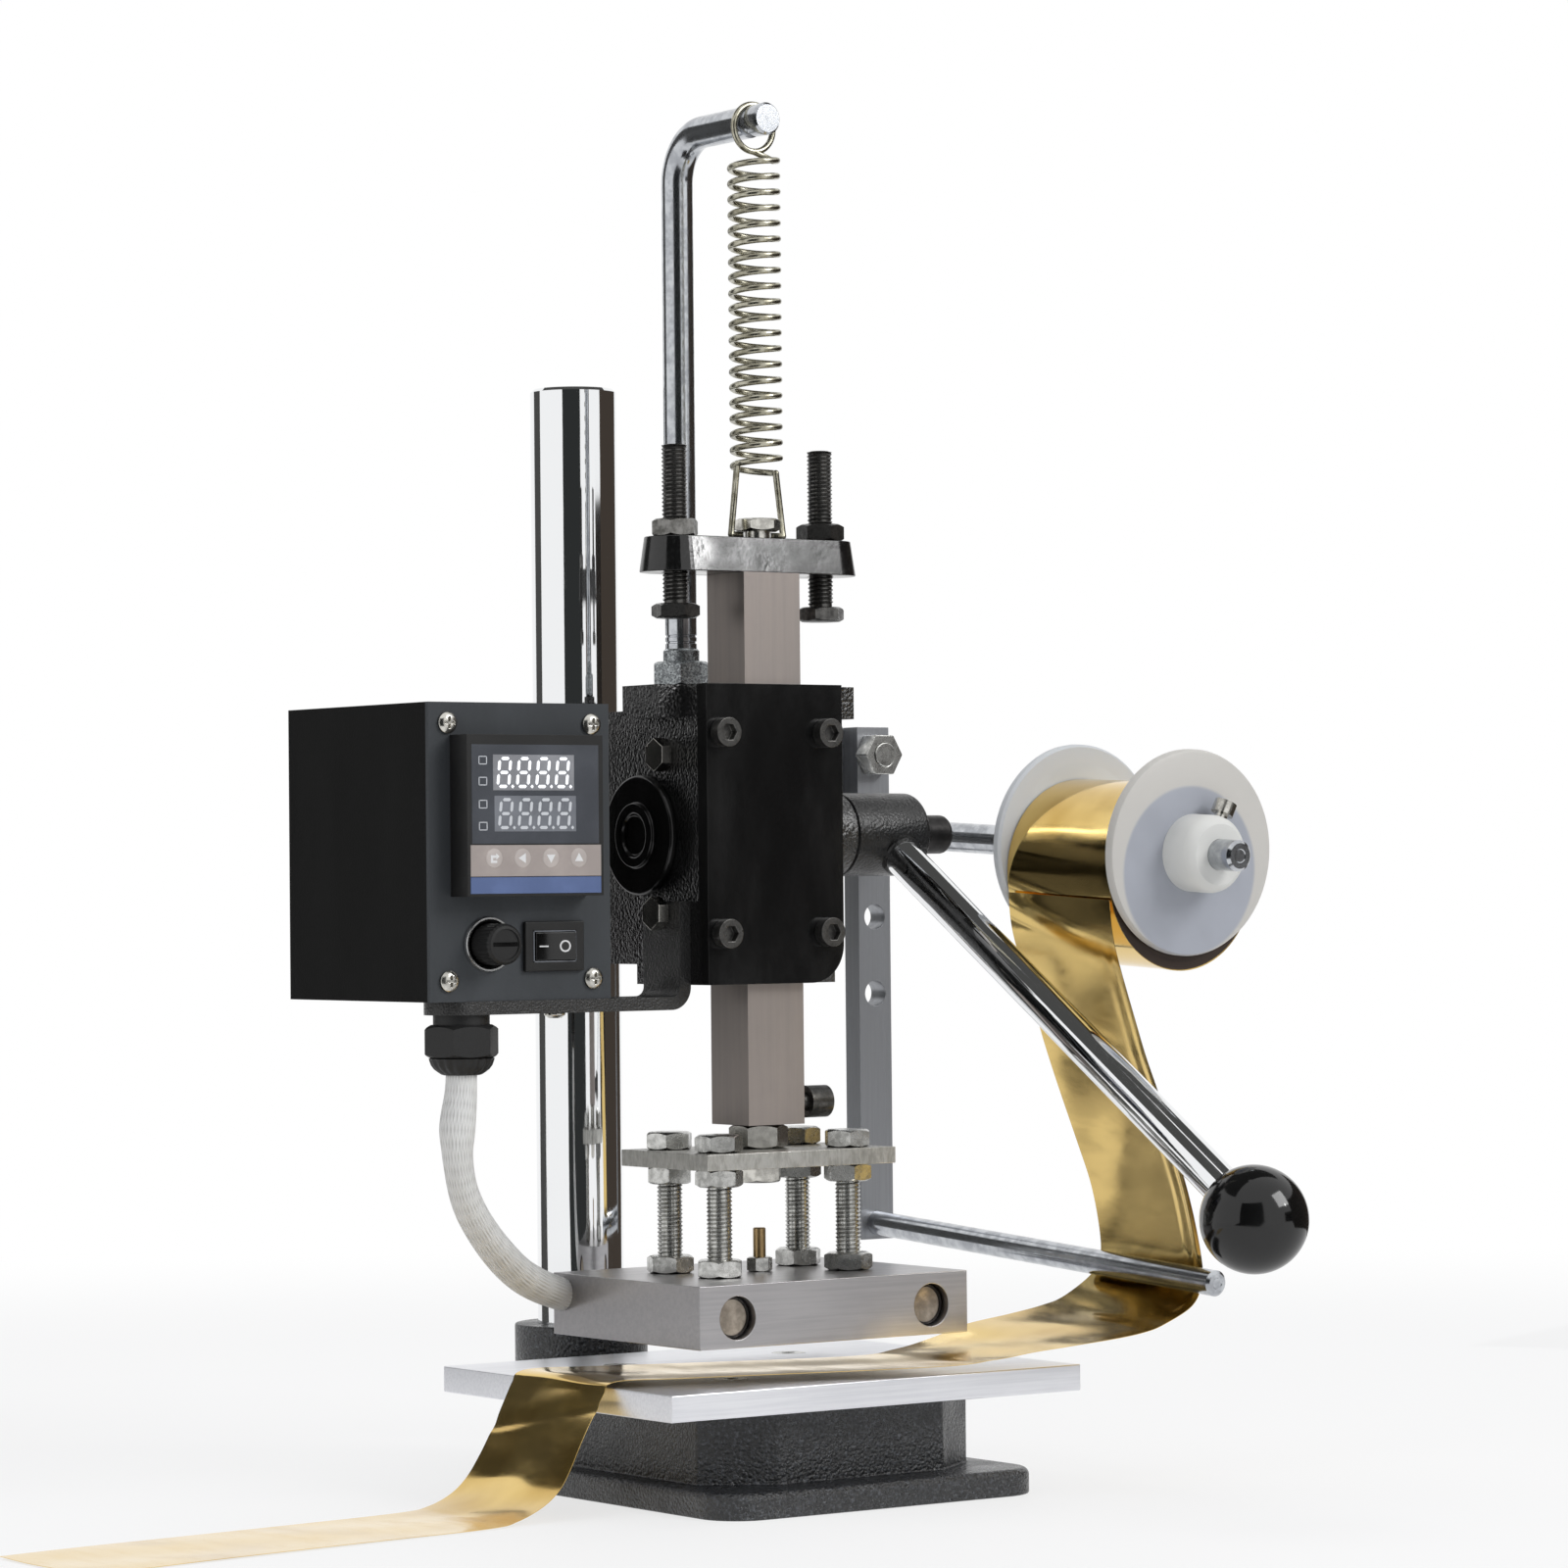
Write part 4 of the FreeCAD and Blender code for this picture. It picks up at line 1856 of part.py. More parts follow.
def check():
    """Stop if any object failed or any sub-part has no valid shape."""
    for thing in DOC.Objects:
        if "Invalid" in thing.State or "Error" in thing.State:
            raise RuntimeError("%s (%s) failed: %s" % (thing.Name, thing.Label, thing.State))
    for thing in NODES:
        if thing.Shape.isNull() or not thing.Shape.isValid():
            raise RuntimeError("%s has no valid shape" % thing.Label)


def export():
    """Write each sub-part's shape to its own STEP file."""
    os.makedirs("parts", exist_ok=True)
    for thing in NODES:
        thing.Shape.exportStep(os.path.join("parts", thing.Label + ".step"))
        bounds = thing.Shape.BoundBox
        print("%-22s solids %2d volume %9.1f  x %7.1f %7.1f  y %7.1f %7.1f  z %7.1f %7.1f" % (
            thing.Label, len(thing.Shape.Solids), thing.Shape.Volume, bounds.XMin, bounds.XMax,
            bounds.YMin, bounds.YMax, bounds.ZMin, bounds.ZMax))


build()
check()
export()
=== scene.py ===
"""Looks of a hand-lever hot foil stamping press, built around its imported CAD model.

The press stands with its ram along +Z, its lever and foil spool towards +X and its column towards
+Y.  Lengths are in metres.  Every finish is procedural and reads object coordinates or a piece's
own UV map.
"""

import json
import logging
import math
from dataclasses import dataclass
from enum import Enum
from typing import Callable, Sequence

import bmesh
import bpy
from mathutils import Matrix, Vector

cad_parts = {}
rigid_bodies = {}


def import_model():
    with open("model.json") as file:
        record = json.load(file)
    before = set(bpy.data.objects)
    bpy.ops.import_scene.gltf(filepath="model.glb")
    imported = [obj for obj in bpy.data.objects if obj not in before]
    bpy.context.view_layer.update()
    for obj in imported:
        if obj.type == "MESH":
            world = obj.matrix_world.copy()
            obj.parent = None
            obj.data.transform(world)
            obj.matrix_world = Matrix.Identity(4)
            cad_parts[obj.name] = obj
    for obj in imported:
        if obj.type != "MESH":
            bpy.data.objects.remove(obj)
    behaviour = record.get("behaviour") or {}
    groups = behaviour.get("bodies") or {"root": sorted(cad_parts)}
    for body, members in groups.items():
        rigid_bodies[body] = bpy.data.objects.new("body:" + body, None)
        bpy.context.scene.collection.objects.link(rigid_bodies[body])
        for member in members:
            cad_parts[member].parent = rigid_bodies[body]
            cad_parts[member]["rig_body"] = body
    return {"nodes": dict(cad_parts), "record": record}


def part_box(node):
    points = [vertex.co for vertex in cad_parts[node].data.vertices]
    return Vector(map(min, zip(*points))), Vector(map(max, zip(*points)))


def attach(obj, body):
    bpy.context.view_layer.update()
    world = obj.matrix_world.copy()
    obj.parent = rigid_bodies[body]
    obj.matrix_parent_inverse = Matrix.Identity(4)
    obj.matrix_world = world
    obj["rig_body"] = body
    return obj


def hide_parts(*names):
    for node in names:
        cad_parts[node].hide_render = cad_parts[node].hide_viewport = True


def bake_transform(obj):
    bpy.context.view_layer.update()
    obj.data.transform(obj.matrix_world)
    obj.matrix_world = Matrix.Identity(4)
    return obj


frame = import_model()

LOG = logging.getLogger("foil_press")
MM = 0.001
Colour = tuple[float, float, float]


# =============================================================================================
# Shader maths and node making
# =============================================================================================

class Value:
    """A shader socket that takes part in Python arithmetic."""

    def __init__(self, tree: "Shader", socket: bpy.types.NodeSocket) -> None:
        """Keep the socket and the shader that it belongs to."""
        self.tree = tree
        self.socket = socket

    def maths(self, operation: str, *others: "Value | float") -> "Value":
        """Add one Math node.

        Args:
            operation: the Math node's operation.
            others: the further operands.

        Returns:
            The node's result.
        """
        inputs = dict(enumerate((self, *others)))
        return self.tree.node("ShaderNodeMath", {"operation": operation}, inputs)

    def __add__(self, other: "Value | float") -> "Value":
        """Sum."""
        return self.maths("ADD", other)

    def __radd__(self, other: float) -> "Value":
        """Sum with a number on the left."""
        return self.maths("ADD", other)

    def __sub__(self, other: "Value | float") -> "Value":
        """Difference."""
        return self.maths("SUBTRACT", other)

    def __rsub__(self, other: float) -> "Value":
        """Difference from a number on the left."""
        return self.tree.node("ShaderNodeMath", {"operation": "SUBTRACT"}, {0: other, 1: self})

    def __mul__(self, other: "Value | float") -> "Value":
        """Product."""
        return self.maths("MULTIPLY", other)

    def __rmul__(self, other: float) -> "Value":
        """Product with a number on the left."""
        return self.maths("MULTIPLY", other)

    def __pow__(self, other: float) -> "Value":
        """Power."""
        return self.maths("POWER", other)

    def sine(self) -> "Value":
        """Sine of a value in radians."""
        return self.maths("SINE")


class Shader:
    """One material's node tree and its Principled shader."""

    def __init__(self, name: str) -> None:
        """Start an empty material that ends in a Principled shader."""
        self.material = bpy.data.materials.new("press_" + name)
        self.material.use_nodes = True
        self.nodes = self.material.node_tree.nodes
        self.links = self.material.node_tree.links
        self.nodes.clear()
        self.output = self.nodes.new("ShaderNodeOutputMaterial")
        self.principled = self.nodes.new("ShaderNodeBsdfPrincipled")
        self.links.new(self.principled.outputs[0], self.output.inputs[0])

    def node(self, kind: str, settings: dict, inputs: dict, output: int | str = 0) -> Value:
        """Add a node.

        Args:
            kind: the node's type.
            settings: its properties, and "stops" for a ramp's (place, colour) pairs.
            inputs: numbers, colours or values for its sockets, by name or number.
            output: the socket to hand back.

        Returns:
            The chosen output.
        """
        made = self.nodes.new(kind)
        for name, setting in settings.items():
            if name == "stops":
                self.fill_ramp(made.color_ramp, setting)
            else:
                setattr(made, name, setting)
        for key, given in inputs.items():
            if isinstance(given, Value):
                self.links.new(given.socket, made.inputs[key])
            else:
                made.inputs[key].default_value = given
        return Value(self, made.outputs[output])

    @staticmethod
    def fill_ramp(ramp: bpy.types.ColorRamp, stops: Sequence[tuple[float, Colour]]) -> None:
        """Give a colour ramp its stops."""
        while len(ramp.elements) < len(stops):
            ramp.elements.new(0.5)
        for element, (place, colour) in zip(ramp.elements, stops):
            element.position = place
            element.color = (*colour, 1.0)

    def coordinates(self, scale: Sequence[float] = (1, 1, 1), turn: Sequence[float] = (0, 0, 0),
                    move: Sequence[float] = (0, 0, 0), uv: bool = False) -> Value:
        """Object or UV coordinates through a Mapping node."""
        origin = self.node("ShaderNodeTexCoord", {}, {}, "UV" if uv else "Object")
        return self.node("ShaderNodeMapping", {}, {
            "Vector": origin, "Scale": scale, "Rotation": turn, "Location": move})

    def noise(self, scale: float, at: Value, detail: float = 3.0, rough: float = 0.5) -> Value:
        """Fractal noise, about 0.5 on average."""
        return self.node("ShaderNodeTexNoise", {}, {
            "Vector": at, "Scale": scale, "Detail": detail, "Roughness": rough})

    def cells(self, scale: float, at: Value, output: str = "Distance") -> Value:
        """Distance to the nearest cell point, or that cell's chance colour."""
        return self.node("ShaderNodeTexVoronoi", {}, {"Vector": at, "Scale": scale}, output)

    def ramp(self, value: Value, *stops: tuple[float, Colour]) -> Value:
        """Colour that follows a value."""
        return self.node("ShaderNodeValToRGB", {"stops": stops}, {0: value})

    def spread(self, value: Value, low: float, high: float, to_low: float,
               to_high: float) -> Value:
        """Map one range smoothly onto another and stay inside it."""
        return self.node("ShaderNodeMapRange", {"interpolation_type": "SMOOTHSTEP"}, {
            "Value": value, "From Min": low, "From Max": high, "To Min": to_low,
            "To Max": to_high})

    def blend(self, amount: Value, first: Value | Colour, second: Value | Colour) -> Value:
        """Mix two colours."""
        mixed = {0: amount}
        for key, given in ((6, first), (7, second)):
            mixed[key] = given if isinstance(given, Value) else (*given, 1.0)
        return self.node("ShaderNodeMix", {"data_type": "RGBA"}, mixed, 2)

    def split(self, vector: Value) -> tuple[Value, Value, Value]:
        """The X, Y and Z of a vector."""
        parts = self.node("ShaderNodeSeparateXYZ", {}, {0: vector})
        return tuple(Value(self, parts.socket.node.outputs[number]) for number in range(3))

    def bump(self, height: Value, depth: float, under: Value | None = None) -> Value:
        """Normal of a height map whose full depth is given in metres."""
        inputs = {"Height": height, "Strength": 1.0, "Distance": depth}
        if under is not None:
            inputs["Normal"] = under
        return self.node("ShaderNodeBump", {}, inputs, "Normal")

    def surface(self, **sockets: "Value | float | Colour") -> bpy.types.Material:
        """Set the Principled shader's sockets, whose names have _ for a space."""
        for name, given in sockets.items():
            socket = self.principled.inputs[name.replace("_", " ")]
            if isinstance(given, Value):
                self.links.new(given.socket, socket)
            elif socket.type == "RGBA":
                socket.default_value = (*given, 1.0)
            else:
                socket.default_value = given
        return self.material


# =============================================================================================
# Finishes
# =============================================================================================

def tint(code: str) -> Colour:
    """A colour's linear red, green and blue.

    Args:
        code: six hexadecimal digits, as on a screen.

    Returns:
        The three channels from 0 to 1.
    """
    channels = (int(code[place:place + 2], 16) / 255 for place in (0, 2, 4))
    return tuple(((part + 0.055) / 1.055) ** 2.4 if part > 0.04045 else part / 12.92
                 for part in channels)


@dataclass(frozen=True)
class Finish:
    """A material that is made once and then shared."""

    name: str

    def make(self) -> bpy.types.Material:
        """The material, from the file if it was made before."""
        found = bpy.data.materials.get("press_" + self.name)
        return found if found else self.build()

    def build(self) -> bpy.types.Material:
        """Make the material's nodes."""
        raise NotImplementedError


@dataclass(frozen=True)
class CastPaint(Finish):
    """Black paint over rough cast iron: coarse grains, a soft gloss and painted glints as lighter
    flecks.
    """

    grain: float = 1500.0
    depth: float = 0.0003
    rough: float = 0.36
    shade: Colour = (0.009, 0.009, 0.010)
    waves: float = 0.0005
    gloss: float = 0.5
    # How much lighter the painted glint flecks are than the base colour.
    painted_glint_gain: float = 2.6

    def build(self) -> bpy.types.Material:
        """Make the material's nodes."""
        art = Shader(self.name)
        at = art.coordinates()
        grains = art.cells(self.grain, at)
        fine = art.noise(self.grain * 0.9, at, 4.0, 0.65)
        broad = art.noise(70.0, at, 3.0)
        height = (1 - grains * 1.3) * 0.45 + fine * 0.8
        normal = art.bump(height, self.depth, art.bump(broad, self.waves))
        # Painted glints: where the fine noise is high, the base colour is lifted lighter to stand
        # for glints on the grains.
        tone = art.spread(fine, 0.48, 0.7, 0.0, 1.0)
        lifted = tuple(channel * self.painted_glint_gain for channel in self.shade)
        return art.surface(Base_Color=art.blend(tone, self.shade, lifted),
                           Roughness=art.spread(broad, 0.3, 0.7, self.rough - 0.07,
                                                self.rough + 0.1),
                           Normal=normal, Specular_IOR_Level=self.gloss)


@dataclass(frozen=True)
class SmoothPaint(Finish):
    """Sprayed paint with a light orange peel and a few dull rub marks."""

    shade: Colour = (0.006, 0.006, 0.006)
    rough: float = 0.14
    peel: float = 0.00003
    grain: float = 500.0
    gloss: float = 0.4

    def build(self) -> bpy.types.Material:
        """Make the material's nodes."""
        art = Shader(self.name)
        at = art.coordinates()
        peel = art.noise(self.grain, at, 2.0)
        rubs = art.noise(38.0, art.coordinates((1, 1, 0.35)), 5.0, 0.65)
        lifted = tuple(channel * 1.3 + 0.0008 for channel in self.shade)
        return art.surface(Base_Color=art.blend(art.spread(rubs, 0.4, 0.75, 0, 1), self.shade,
                                                lifted),
                           Roughness=art.spread(rubs, 0.35, 0.75, self.rough, self.rough + 0.1),
                           Specular_IOR_Level=self.gloss,
                           Normal=art.bump(peel, self.peel))


@dataclass(frozen=True)
class Metal(Finish):
    """Bare or plated metal with drawn or ground lines along one direction."""

    shade: Colour = (0.5, 0.5, 0.5)
    dark: Colour = (0.36, 0.36, 0.36)
    rough: float = 0.3
    rough_more: float = 0.12
    lines: Sequence[float] = (900.0, 900.0, 30.0)
    line_depth: float = 0.000012
    stains: float = 30.0
    stain_share: float = 0.3
    metallic: float = 1.0

    def build(self) -> bpy.types.Material:
        """Make the material's nodes."""
        art = Shader(self.name)
        drawn = art.noise(1.0, art.coordinates(self.lines), 4.0, 0.6)
        stains = art.noise(self.stains, art.coordinates(), 4.0, 0.6)
        tone = drawn * (1 - self.stain_share) + stains * self.stain_share
        return art.surface(
            Base_Color=art.blend(art.spread(tone, 0.36, 0.64, 0, 1), self.dark, self.shade),
            Metallic=self.metallic,
            Roughness=art.spread(tone, 0.3, 0.7, self.rough + self.rough_more, self.rough),
            Normal=art.bump(drawn, self.line_depth))


@dataclass(frozen=True)
class Spangle(Finish):
    """Hot dip galvanising with crystals that catch the light one by one."""

    shade: Colour = (0.46, 0.49, 0.5)
    dark: Colour = (0.17, 0.18, 0.19)
    size: float = 2200.0
    relief: float = 0.00006

    def build(self) -> bpy.types.Material:
        """Make the material's nodes."""
        art = Shader(self.name)
        at = art.coordinates()
        flake, second, _ = art.split(art.cells(self.size, at, "Color"))
        grime = art.noise(700.0, at, 3.0)
        tone = flake * 0.6 + grime * 0.5
        return art.surface(Base_Color=art.blend(art.spread(tone, 0.3, 0.8, 0, 1), self.dark,
                                                self.shade),
                           Metallic=0.9, Roughness=art.spread(second, 0, 1, 0.25, 0.5),
                           Normal=art.bump(flake, self.relief))


@dataclass(frozen=True)
class Plating(Finish):
    """Bright chrome with faint handling marks."""

    shade: Colour = (0.86, 0.87, 0.88)
    rough: float = 0.04
    relief: float = 0.00002

    def build(self) -> bpy.types.Material:
        """Make the material's nodes."""
        art = Shader(self.name)
        marks = art.noise(55.0, art.coordinates((1, 1, 0.5)), 6.0, 0.7)
        ripple = art.noise(160.0, art.coordinates((1, 1, 0.25)), 2.0)
        return art.surface(Base_Color=self.shade, Metallic=1.0,
                           Roughness=art.spread(marks, 0.5, 0.8, self.rough, self.rough + 0.1),
                           Normal=art.bump(ripple, self.relief))


@dataclass(frozen=True)
class Plastic(Finish):
    """Moulded plastic with a fine texture."""

    shade: Colour = (0.009, 0.009, 0.009)
    rough: float = 0.42
    grain: float = 2500.0
    depth: float = 0.00003
    gloss: float = 0.35

    def build(self) -> bpy.types.Material:
        """Make the material's nodes."""
        art = Shader(self.name)
        at = art.coordinates()
        texture = art.noise(self.grain, at, 2.0)
        wear = art.noise(60.0, at, 4.0, 0.6)
        lifted = tuple(min(1.0, channel * 1.2 + 0.0015) for channel in self.shade)
        return art.surface(Base_Color=art.blend(art.spread(wear, 0.4, 0.7, 0, 1), self.shade,
                                                lifted),
                           Roughness=art.spread(wear, 0.3, 0.7, self.rough, self.rough + 0.08),
                           Specular_IOR_Level=self.gloss,
                           Normal=art.bump(texture, self.depth))


@dataclass(frozen=True)
class Glow(Finish):
    """Lit marks on the controller, and printed marks with a faint painted glow."""

    shade: Colour = (0.9, 0.92, 0.95)
    strength: float = 0.6

    def build(self) -> bpy.types.Material:
        """Make the material's nodes."""
        art = Shader(self.name)
        speckle = art.noise(4000.0, art.coordinates(), 2.0)
        return art.surface(Base_Color=self.shade, Emission_Color=self.shade,
                           Emission_Strength=self.strength,
                           Roughness=art.spread(speckle, 0.3, 0.7, 0.3, 0.4))


@dataclass(frozen=True)
class Nylon(Finish):
    """Milky turned nylon; painted shade of the roll behind it darkens all but its paler rim, which
    has nothing behind it.
    """

    # shade is the disc's colour with painted shade of the dark roll behind it; rim is its paler
    # colour where nothing lies behind.
    shade: Colour = (0.43, 0.45, 0.5)
    rim: Colour = (0.68, 0.66, 0.62)
    centre: Sequence[float] = (0.1035, 0.1893)
    rim_radius: float = 0.0262
    clear: float = 0.12
    relief: float = 0.000006

    def build(self) -> bpy.types.Material:
        """Make the material's nodes."""
        art = Shader(self.name)
        x, y, z = art.split(art.coordinates(move=(-self.centre[0], 0.0, -self.centre[1])))
        away = (x * x + z * z) ** 0.5
        turning = (away * 9000.0).sine() * 0.5 + 0.5
        cloud = art.noise(45.0, art.coordinates(), 3.0)
        # Painted see-through shade: the darker disc colour inside rim_radius, the paler rim colour
        # outside it.
        edge = art.spread(away, self.rim_radius - 0.0008, self.rim_radius + 0.0006, 0.0, 1.0)
        disc = art.blend(art.spread(cloud, 0.35, 0.65, 0, 1), self.shade,
                         tuple(min(1.0, channel * 1.1) for channel in self.shade))
        return art.surface(Base_Color=art.blend(edge, disc, self.rim),
                           Roughness=art.spread(cloud, 0.3, 0.7, 0.36, 0.44),
                           Transmission_Weight=self.clear, IOR=1.35,
                           Normal=art.bump(turning, self.relief))


@dataclass(frozen=True)
class Foil(Finish):
    """Metallised film: mirror-like gold with fine crinkles."""

    shade: Colour = (0.79, 0.57, 0.21)
    dark: Colour = (0.56, 0.36, 0.09)
    rough: float = 0.17
    crinkle: float = 0.00035
    fine: float = 120.0
    stretch: Sequence[float] = (1.0, 0.35, 1.0)

    def build(self) -> bpy.types.Material:
        """Make the material's nodes."""
        art = Shader(self.name)
        at = art.coordinates(self.stretch, (0.2, 0.0, 0.4))
        folds = art.noise(26.0, at, 2.0, 0.5)
        small = art.noise(self.fine, art.coordinates(self.stretch, (0.5, 0.3, 0.2)), 4.0, 0.6)
        worn = art.noise(22.0, art.coordinates(), 3.0, 0.5)
        height = folds * 0.92 + small * 0.08
        return art.surface(
            Base_Color=art.blend(art.spread(worn, 0.45, 0.75, 0, 1), self.shade, self.dark),
            Metallic=1.0, Roughness=art.spread(small, 0.35, 0.7, self.rough, self.rough + 0.1),
            Normal=art.bump(height, self.crinkle))


@dataclass(frozen=True)
class Layers(Finish):
    """Edge of a wound roll: many fine turns of dark film."""

    shade: Colour = (0.05, 0.026, 0.014)
    dark: Colour = (0.012, 0.007, 0.005)
    centre: Sequence[float] = (0.1045, 0.1888)
    relief: float = 0.00004

    def build(self) -> bpy.types.Material:
        """Make the material's nodes."""
        art = Shader(self.name)
        x, _, z = art.split(art.coordinates(move=(-self.centre[0], 0.0, -self.centre[1])))
        away = (x * x + z * z) ** 0.5
        turns = art.noise(1.0, art.node("ShaderNodeCombineXYZ", {}, {0: away * 3500.0}), 4.0, 0.7)
        return art.surface(Base_Color=art.blend(art.spread(turns, 0.35, 0.65, 0, 1), self.dark,
                                                self.shade),
                           Roughness=art.spread(turns, 0.3, 0.7, 0.4, 0.55),
                           Normal=art.bump(turns, self.relief))


@dataclass(frozen=True)
class Braid(Finish):
    """Braided glass fibre sleeve; its UV runs along the sleeve and around it."""

    shade: Colour = (0.86, 0.86, 0.84)
    dark: Colour = (0.66, 0.655, 0.63)
    strands: float = 30.0
    slope: float = 2.5
    relief: float = 0.0002

    def build(self) -> bpy.types.Material:
        """Make the material's nodes."""
        art = Shader(self.name)
        along, around, _ = art.split(art.coordinates(uv=True))
        left = ((around * self.strands + along * self.slope) * math.tau).sine()
        right = ((around * self.strands - along * self.slope) * math.tau).sine()
        weave = left.maths("MAXIMUM", right) * 0.5 + 0.5
        fuzz = art.noise(2600.0, art.coordinates(), 3.0, 0.7)
        soil = art.noise(60.0, art.coordinates(), 4.0, 0.6)
        tone = weave * 0.5 + soil * 0.6
        return art.surface(Base_Color=art.blend(art.spread(tone, 0.3, 0.9, 0, 1), self.dark,
                                                self.shade),
                           Roughness=art.spread(fuzz, 0.3, 0.7, 0.7, 0.85),
                           Specular_IOR_Level=0.3,
                           Normal=art.bump(weave * 0.8 + fuzz * 0.3, self.relief))


class Paint(Enum):
    """The finishes of this press, one for each kind of surface."""

    # The cast foot lifts its flecks most, for strong painted glints.
    CASTING = CastPaint("wrinkle_black", grain=1000.0, depth=0.0006, rough=0.26, gloss=0.7,
                        shade=(0.0085, 0.0092, 0.0105), painted_glint_gain=9.0)
    HEAD = CastPaint("cast_gloss_black", grain=900.0, depth=0.00035, rough=0.17, waves=0.0005,
                     shade=(0.005, 0.005, 0.005), gloss=0.8)
    BEAM = CastPaint("beam_gloss_black", grain=900.0, depth=0.00001, rough=0.14, waves=0.00015,
                     shade=(0.006, 0.006, 0.006), gloss=0.6)
    PLATE = SmoothPaint("plate_gloss_black")
    HUB = CastPaint("hub_satin_black", 1100.0, 0.0002, 0.3, (0.006, 0.006, 0.006), 0.0001, 0.5)
    BOX = SmoothPaint("box_powder_black", shade=(0.003, 0.003, 0.003), rough=0.4, peel=0.00003,
                      grain=1400.0, gloss=0.12)
    STRAP = CastPaint("bracket_powder_black", 1500.0, 0.00025, 0.34, (0.008, 0.008, 0.008),
                      0.0001, 0.6)
    PANEL = SmoothPaint("panel_dark_grey", shade=tint("3d4043"), rough=0.45, peel=0.00002,
                        grain=1600.0, gloss=0.25)
    CHROME = Plating("bright_chrome")
    RAM = Metal("ground_ram_steel", tint("a49b96"), tint("97908c"), 0.36, 0.08,
                (300.0, 300.0, 14.0), 0.000005, stain_share=0.5)
    SHAFT = Metal("blackened_shaft", (0.035, 0.033, 0.032), (0.014, 0.013, 0.013), 0.34, 0.15,
                  (200.0, 200.0, 200.0), metallic=0.7)
    ZINC = Metal("zinc_plate", tint("d2d2cf"), tint("a5a5a2"), 0.2, 0.14,
                 (420.0, 420.0, 420.0), 0.00002, 180.0)
    BRIGHT = Metal("bright_zinc", tint("d8d6cf"), tint("b0aea8"), 0.16, 0.12,
                   (420.0, 420.0, 420.0), 0.00001, 300.0)
    SHEARED = Metal("sheared_zinc_plate", tint("cac9c4"), tint("a09f9a"), 0.3, 0.2,
                    (700.0, 700.0, 240.0), 0.00008, 240.0)
    SPANGLE = Spangle("galvanised")
    SPRING = Metal("nickel_spring_wire", tint("bbb8a8"), tint("8f8b7a"), 0.2, 0.1,
                   (300.0, 300.0, 300.0), 0.000005, 300.0)
    OXIDE = Metal("black_oxide", (0.13, 0.127, 0.121), (0.055, 0.054, 0.052), 0.24, 0.18,
                  (500.0, 500.0, 500.0), 0.00002, 220.0, metallic=0.85)
    DARK_NUT = Metal("dark_nut", (0.24, 0.235, 0.225), (0.11, 0.108, 0.1), 0.3, 0.18,
                     (500.0, 500.0, 500.0), 0.00003, 300.0, metallic=0.9)
    ROD = Metal("rod_zinc", tint("c4c7cb"), tint("a8abb0"), 0.13, 0.1,
                (240.0, 240.0, 240.0), 0.00001, 120.0)
    ALUMINIUM = Metal("milled_aluminium", tint("b8babd"), tint("9c9ea2"), 0.3, 0.1,
                      (160.0, 700.0, 700.0), 0.00001)
    BAR = Metal("bar_aluminium", tint("a2a4a8"), tint("96989c"), 0.34, 0.08,
                (700.0, 700.0, 16.0), 0.000004)
    BLOCK = Metal("block_aluminium", tint("b6b4b5"), tint("aba9ab"), 0.3, 0.06,
                  (30.0, 700.0, 900.0), 0.000004)
    TABLE = Metal("table_aluminium", tint("f1f2f6"), tint("e6e7ec"), 0.3, 0.06,
                  (24.0, 1100.0, 1100.0), 0.000004)
    HEATER = Metal("tinted_heater_steel", tint("b0a597"), tint("8c8276"), 0.4, 0.12,
                   (300.0, 300.0, 300.0), metallic=0.7)
    HEATER_RIM = Metal("heater_rim_steel", (0.06, 0.055, 0.05), (0.025, 0.023, 0.022), 0.4,
                       metallic=0.7)
    BRASS = Metal("probe_brass", tint("b3996f"), tint("87714f"), 0.25)
    CASE = Plastic("black_moulding")
    GLAND = Plastic("gland_nylon", (0.012, 0.012, 0.012), 0.5, 1800.0, 0.00004, 0.4)
    GLOSS = Plastic("polished_black", (0.005, 0.005, 0.005), 0.07, 300.0, 0.000004, 0.5)
    FACE = Plastic("controller_face", tint("44474d"), 0.3, gloss=0.3)
    DISPLAY = Plastic("display_filter", tint("8c8d91"), 0.25, gloss=0.3)
    DIM_DISPLAY = Plastic("dim_display_filter", tint("777a80"), 0.25, gloss=0.3)
    KEY_STRIP = Plastic("key_strip", tint("a59b96"), 0.38)
    KEYS = Plastic("key_caps", tint("b9b0ab"), 0.35)
    BLUE = Plastic("blue_strip", tint("5a6c96"), 0.35)
    RING = Metal("fuse_ring_plate", (0.7, 0.7, 0.7), (0.5, 0.5, 0.5), 0.14)
    DIGITS = Glow("lit_digits")
    DIM_DIGITS = Glow("dim_digits", tint("c9ccd0"), 0.12)
    # White print with a faint painted glow: it emits light though no lamp lights it.
    GLOWING_PRINT = Glow("white_print_painted_glow", tint("e2e2e2"), 0.05)
    FRONT_DISC = Nylon("front_disc_nylon")
    REAR_DISC = Nylon("rear_disc_nylon", tint("d6dade"), tint("dadde0"), (0.1045, 0.1978))
    FLANGE_HUB = Nylon("hub_nylon", tint("dcdcd8"), tint("dcdcd8"), clear=0.05)
    ROLL = Foil("roll_gold", rough=0.07, crinkle=0.0001, stretch=(1.0, 0.25, 1.0))
    LAYERS = Layers("wound_edges")
    WEB = Foil("web_gold", rough=0.1, crinkle=0.0003)
    SLEEVE = Braid("glass_fibre_sleeve")
    CARD = Plastic("core_card", tint("b89878"), 0.8, 400.0, 0.0002)

    def material(self) -> bpy.types.Material:
        """The finish's shared material."""
        return self.value.make()


# =============================================================================================
# Mesh helpers
# =============================================================================================

def body_of(node: str) -> str:
    """The CAD body that carries a node."""
    return frame["nodes"][node]["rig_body"]


def slot_of(node: str) -> str:
    """The record's material slot of a node."""
    for row in frame["record"]["subparts"]:
        if row["node"] == node:
            return row["material_slot"]
    raise KeyError(node)


